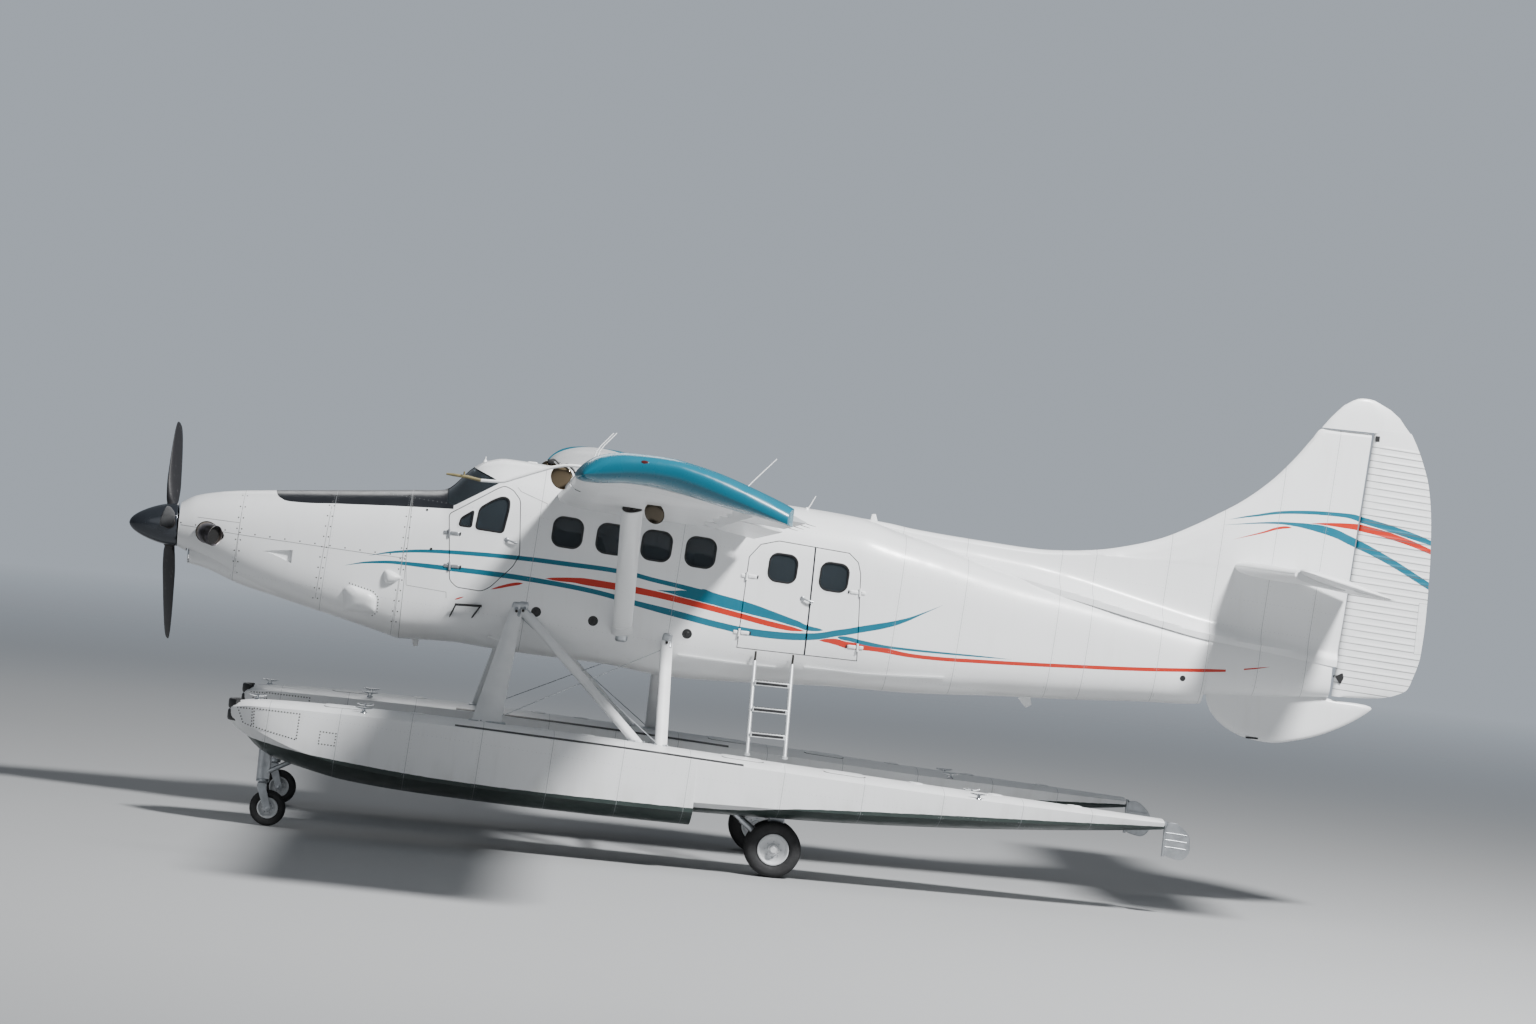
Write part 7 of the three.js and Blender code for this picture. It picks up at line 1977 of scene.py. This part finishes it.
class FloatplaneSkins(bpy.types.PropertyGroup):
    """Sizes of the skins, windows and tyres."""

    window_frame: FloatProperty(name="Window frame", description="Width of the rubber round a cabin window",
        default=0.019, min=0.005, max=0.06, subtype="DISTANCE", unit="LENGTH")
    glass_thickness: FloatProperty(name="Glass", description="Thickness of a side pane", default=0.005, min=0.002,
        max=0.012, subtype="DISTANCE", unit="LENGTH")
    bead_height: FloatProperty(name="Bead height", description="How far the beads of the tail stand out",
        default=0.005, min=0, max=0.02, subtype="DISTANCE", unit="LENGTH")
    bead_pitch: FloatProperty(name="Bead pitch", description="Distance between beads on the tail",
        default=RUDDER_PITCH, min=0.03, max=0.2, subtype="DISTANCE", unit="LENGTH")
    tyre_grooves: IntProperty(name="Tyre grooves", description="Grooves round each tread", default=5, min=0, max=9)


class FloatplaneStage(bpy.types.PropertyGroup):
    """Floor, lamps and camera."""

    floor_colour: FloatVectorProperty(name="Floor", description="Colour of the floor", subtype="COLOR", min=0,
        max=1, default=(0.33, 0.335, 0.34))
    floor_reach: FloatProperty(name="Floor reach", description="Radius of the floor", default=110.0, min=20,
        max=400, subtype="DISTANCE", unit="LENGTH")
    sky_colour: FloatVectorProperty(name="Sky", description="Colour of the light from all round", subtype="COLOR",
        min=0, max=1, default=(0.8, 0.89, 1.0))
    sky_strength: FloatProperty(name="Sky strength", description="Strength of the light from all round",
        default=0.18, min=0, max=5)
    backdrop: FloatProperty(name="Backdrop", description="Brightness of the sky behind the aircraft", default=0.5,
        min=0, max=5)
    key_power: FloatProperty(name="Key", description="Power of the main lamp", default=22500.0, min=0, unit="POWER")
    fill_power: FloatProperty(name="Fill", description="Power of the soft lamps", default=320.0, min=0,
        unit="POWER")
    camera_distance: FloatProperty(name="Camera distance",
        description="From the camera to the middle of the aircraft", default=52.0, min=5, max=200,
        subtype="DISTANCE", unit="LENGTH")


class FLOATPLANE_OT_finishes(bpy.types.Operator):
    """Make every paint, metal, rubber, glass and cloth finish"""

    bl_idname = "floatplane.finishes"
    bl_label = "Finishes"

    def execute(self, context):
        make_finishes(context.scene.floatplane_paint)
        return {"FINISHED"}


class FLOATPLANE_OT_body(bpy.types.Operator):
    """Build the fuselage skin with its doors, windows and windshield"""

    bl_idname = "floatplane.body"
    bl_label = "Body, doors and glass"

    def execute(self, context):
        make_body(context.scene.floatplane_skins)
        return {"FINISHED"}


class FLOATPLANE_OT_cowling(bpy.types.Operator):
    """Build the engine cowling with its inlet, seams and fasteners"""

    bl_idname = "floatplane.cowling"
    bl_label = "Cowling"

    def execute(self, context):
        make_cowling()
        make_cowl_fittings()
        return {"FINISHED"}


class FLOATPLANE_OT_propeller(bpy.types.Operator):
    """Build the spinner, the propeller blades and the exhaust pipes"""

    bl_idname = "floatplane.propeller"
    bl_label = "Propeller and exhausts"

    def execute(self, context):
        make_propeller()
        return {"FINISHED"}


class FLOATPLANE_OT_wings(bpy.types.Operator):
    """Build the wings with their tips, flaps, ailerons and struts"""

    bl_idname = "floatplane.wings"
    bl_label = "Wings"

    def execute(self, context):
        make_wings()
        make_wing_fittings()
        return {"FINISHED"}


class FLOATPLANE_OT_tail(bpy.types.Operator):
    """Build the fin, rudder, tailplane, elevator and ventral fin"""

    bl_idname = "floatplane.tail"
    bl_label = "Tail"

    def execute(self, context):
        make_tail(context.scene.floatplane_skins)
        make_tail_fittings()
        return {"FINISHED"}


class FLOATPLANE_OT_floats(bpy.types.Operator):
    """Build the floats with their struts, covers and cleats"""

    bl_idname = "floatplane.floats"
    bl_label = "Floats"

    def execute(self, context):
        make_floats()
        return {"FINISHED"}


class FLOATPLANE_OT_gear(bpy.types.Operator):
    """Build the wheels, legs, water rudders and boarding ladder"""

    bl_idname = "floatplane.gear"
    bl_label = "Landing gear and ladder"

    def execute(self, context):
        make_gear(context.scene.floatplane_skins)
        make_water_rudders()
        make_ladder()
        return {"FINISHED"}


class FLOATPLANE_OT_fittings(bpy.types.Operator):
    """Build the hinges, handles, ports, steps and antennas"""

    bl_idname = "floatplane.fittings"
    bl_label = "Fittings"

    def execute(self, context):
        make_hinges()
        make_fittings()
        return {"FINISHED"}


class FLOATPLANE_OT_cabin(bpy.types.Operator):
    """Build the seats, carpet, dials and controls"""

    bl_idname = "floatplane.cabin"
    bl_label = "Cabin"

    def execute(self, context):
        make_seats()
        make_cabin()
        for node, finish in (("instrument_panel", "board"), ("engine_block", "dark_metal")):
            for slot in bpy.data.objects[node].material_slots:
                slot.material = FINISH[finish]
        return {"FINISHED"}


class FLOATPLANE_OT_stage(bpy.types.Operator):
    """Lay the floor, hang the lamps and set the camera"""

    bl_idname = "floatplane.stage"
    bl_label = "Stage"

    def execute(self, context):
        make_stage(context.scene.floatplane_stage)
        return {"FINISHED"}


STEPS = (
    FLOATPLANE_OT_finishes, FLOATPLANE_OT_stage, FLOATPLANE_OT_body, FLOATPLANE_OT_cowling, FLOATPLANE_OT_propeller,
    FLOATPLANE_OT_wings, FLOATPLANE_OT_tail, FLOATPLANE_OT_floats, FLOATPLANE_OT_gear, FLOATPLANE_OT_fittings,
    FLOATPLANE_OT_cabin,
)
GROUPS = {"floatplane_paint": FloatplanePaint, "floatplane_skins": FloatplaneSkins,
    "floatplane_stage": FloatplaneStage}


class FLOATPLANE_PT_sidebar(bpy.types.Panel):
    """The building steps and their settings"""

    bl_label = "Floatplane"
    bl_idname = "FLOATPLANE_PT_sidebar"
    bl_space_type = "VIEW_3D"
    bl_region_type = "UI"
    bl_category = "Floatplane"

    def draw(self, context):
        for step in STEPS:
            self.layout.operator(step.bl_idname)
        for group in GROUPS:
            settings = getattr(context.scene, group)
            box = self.layout.box()
            for name in settings.__annotations__:
                box.prop(settings, name)


def register():
    for cls in (*GROUPS.values(), *STEPS, FLOATPLANE_PT_sidebar):
        bpy.utils.register_class(cls)
    for name, group in GROUPS.items():
        setattr(bpy.types.Scene, name, PointerProperty(type=group))


def unregister():
    for name in GROUPS:
        delattr(bpy.types.Scene, name)
    for cls in (FLOATPLANE_PT_sidebar, *reversed(STEPS), *reversed(tuple(GROUPS.values()))):
        bpy.utils.unregister_class(cls)


def main():
    register()
    for step in STEPS:
        group, name = step.bl_idname.split(".")
        getattr(getattr(bpy.ops, group), name)()


if __name__ == "__main__":
    main()
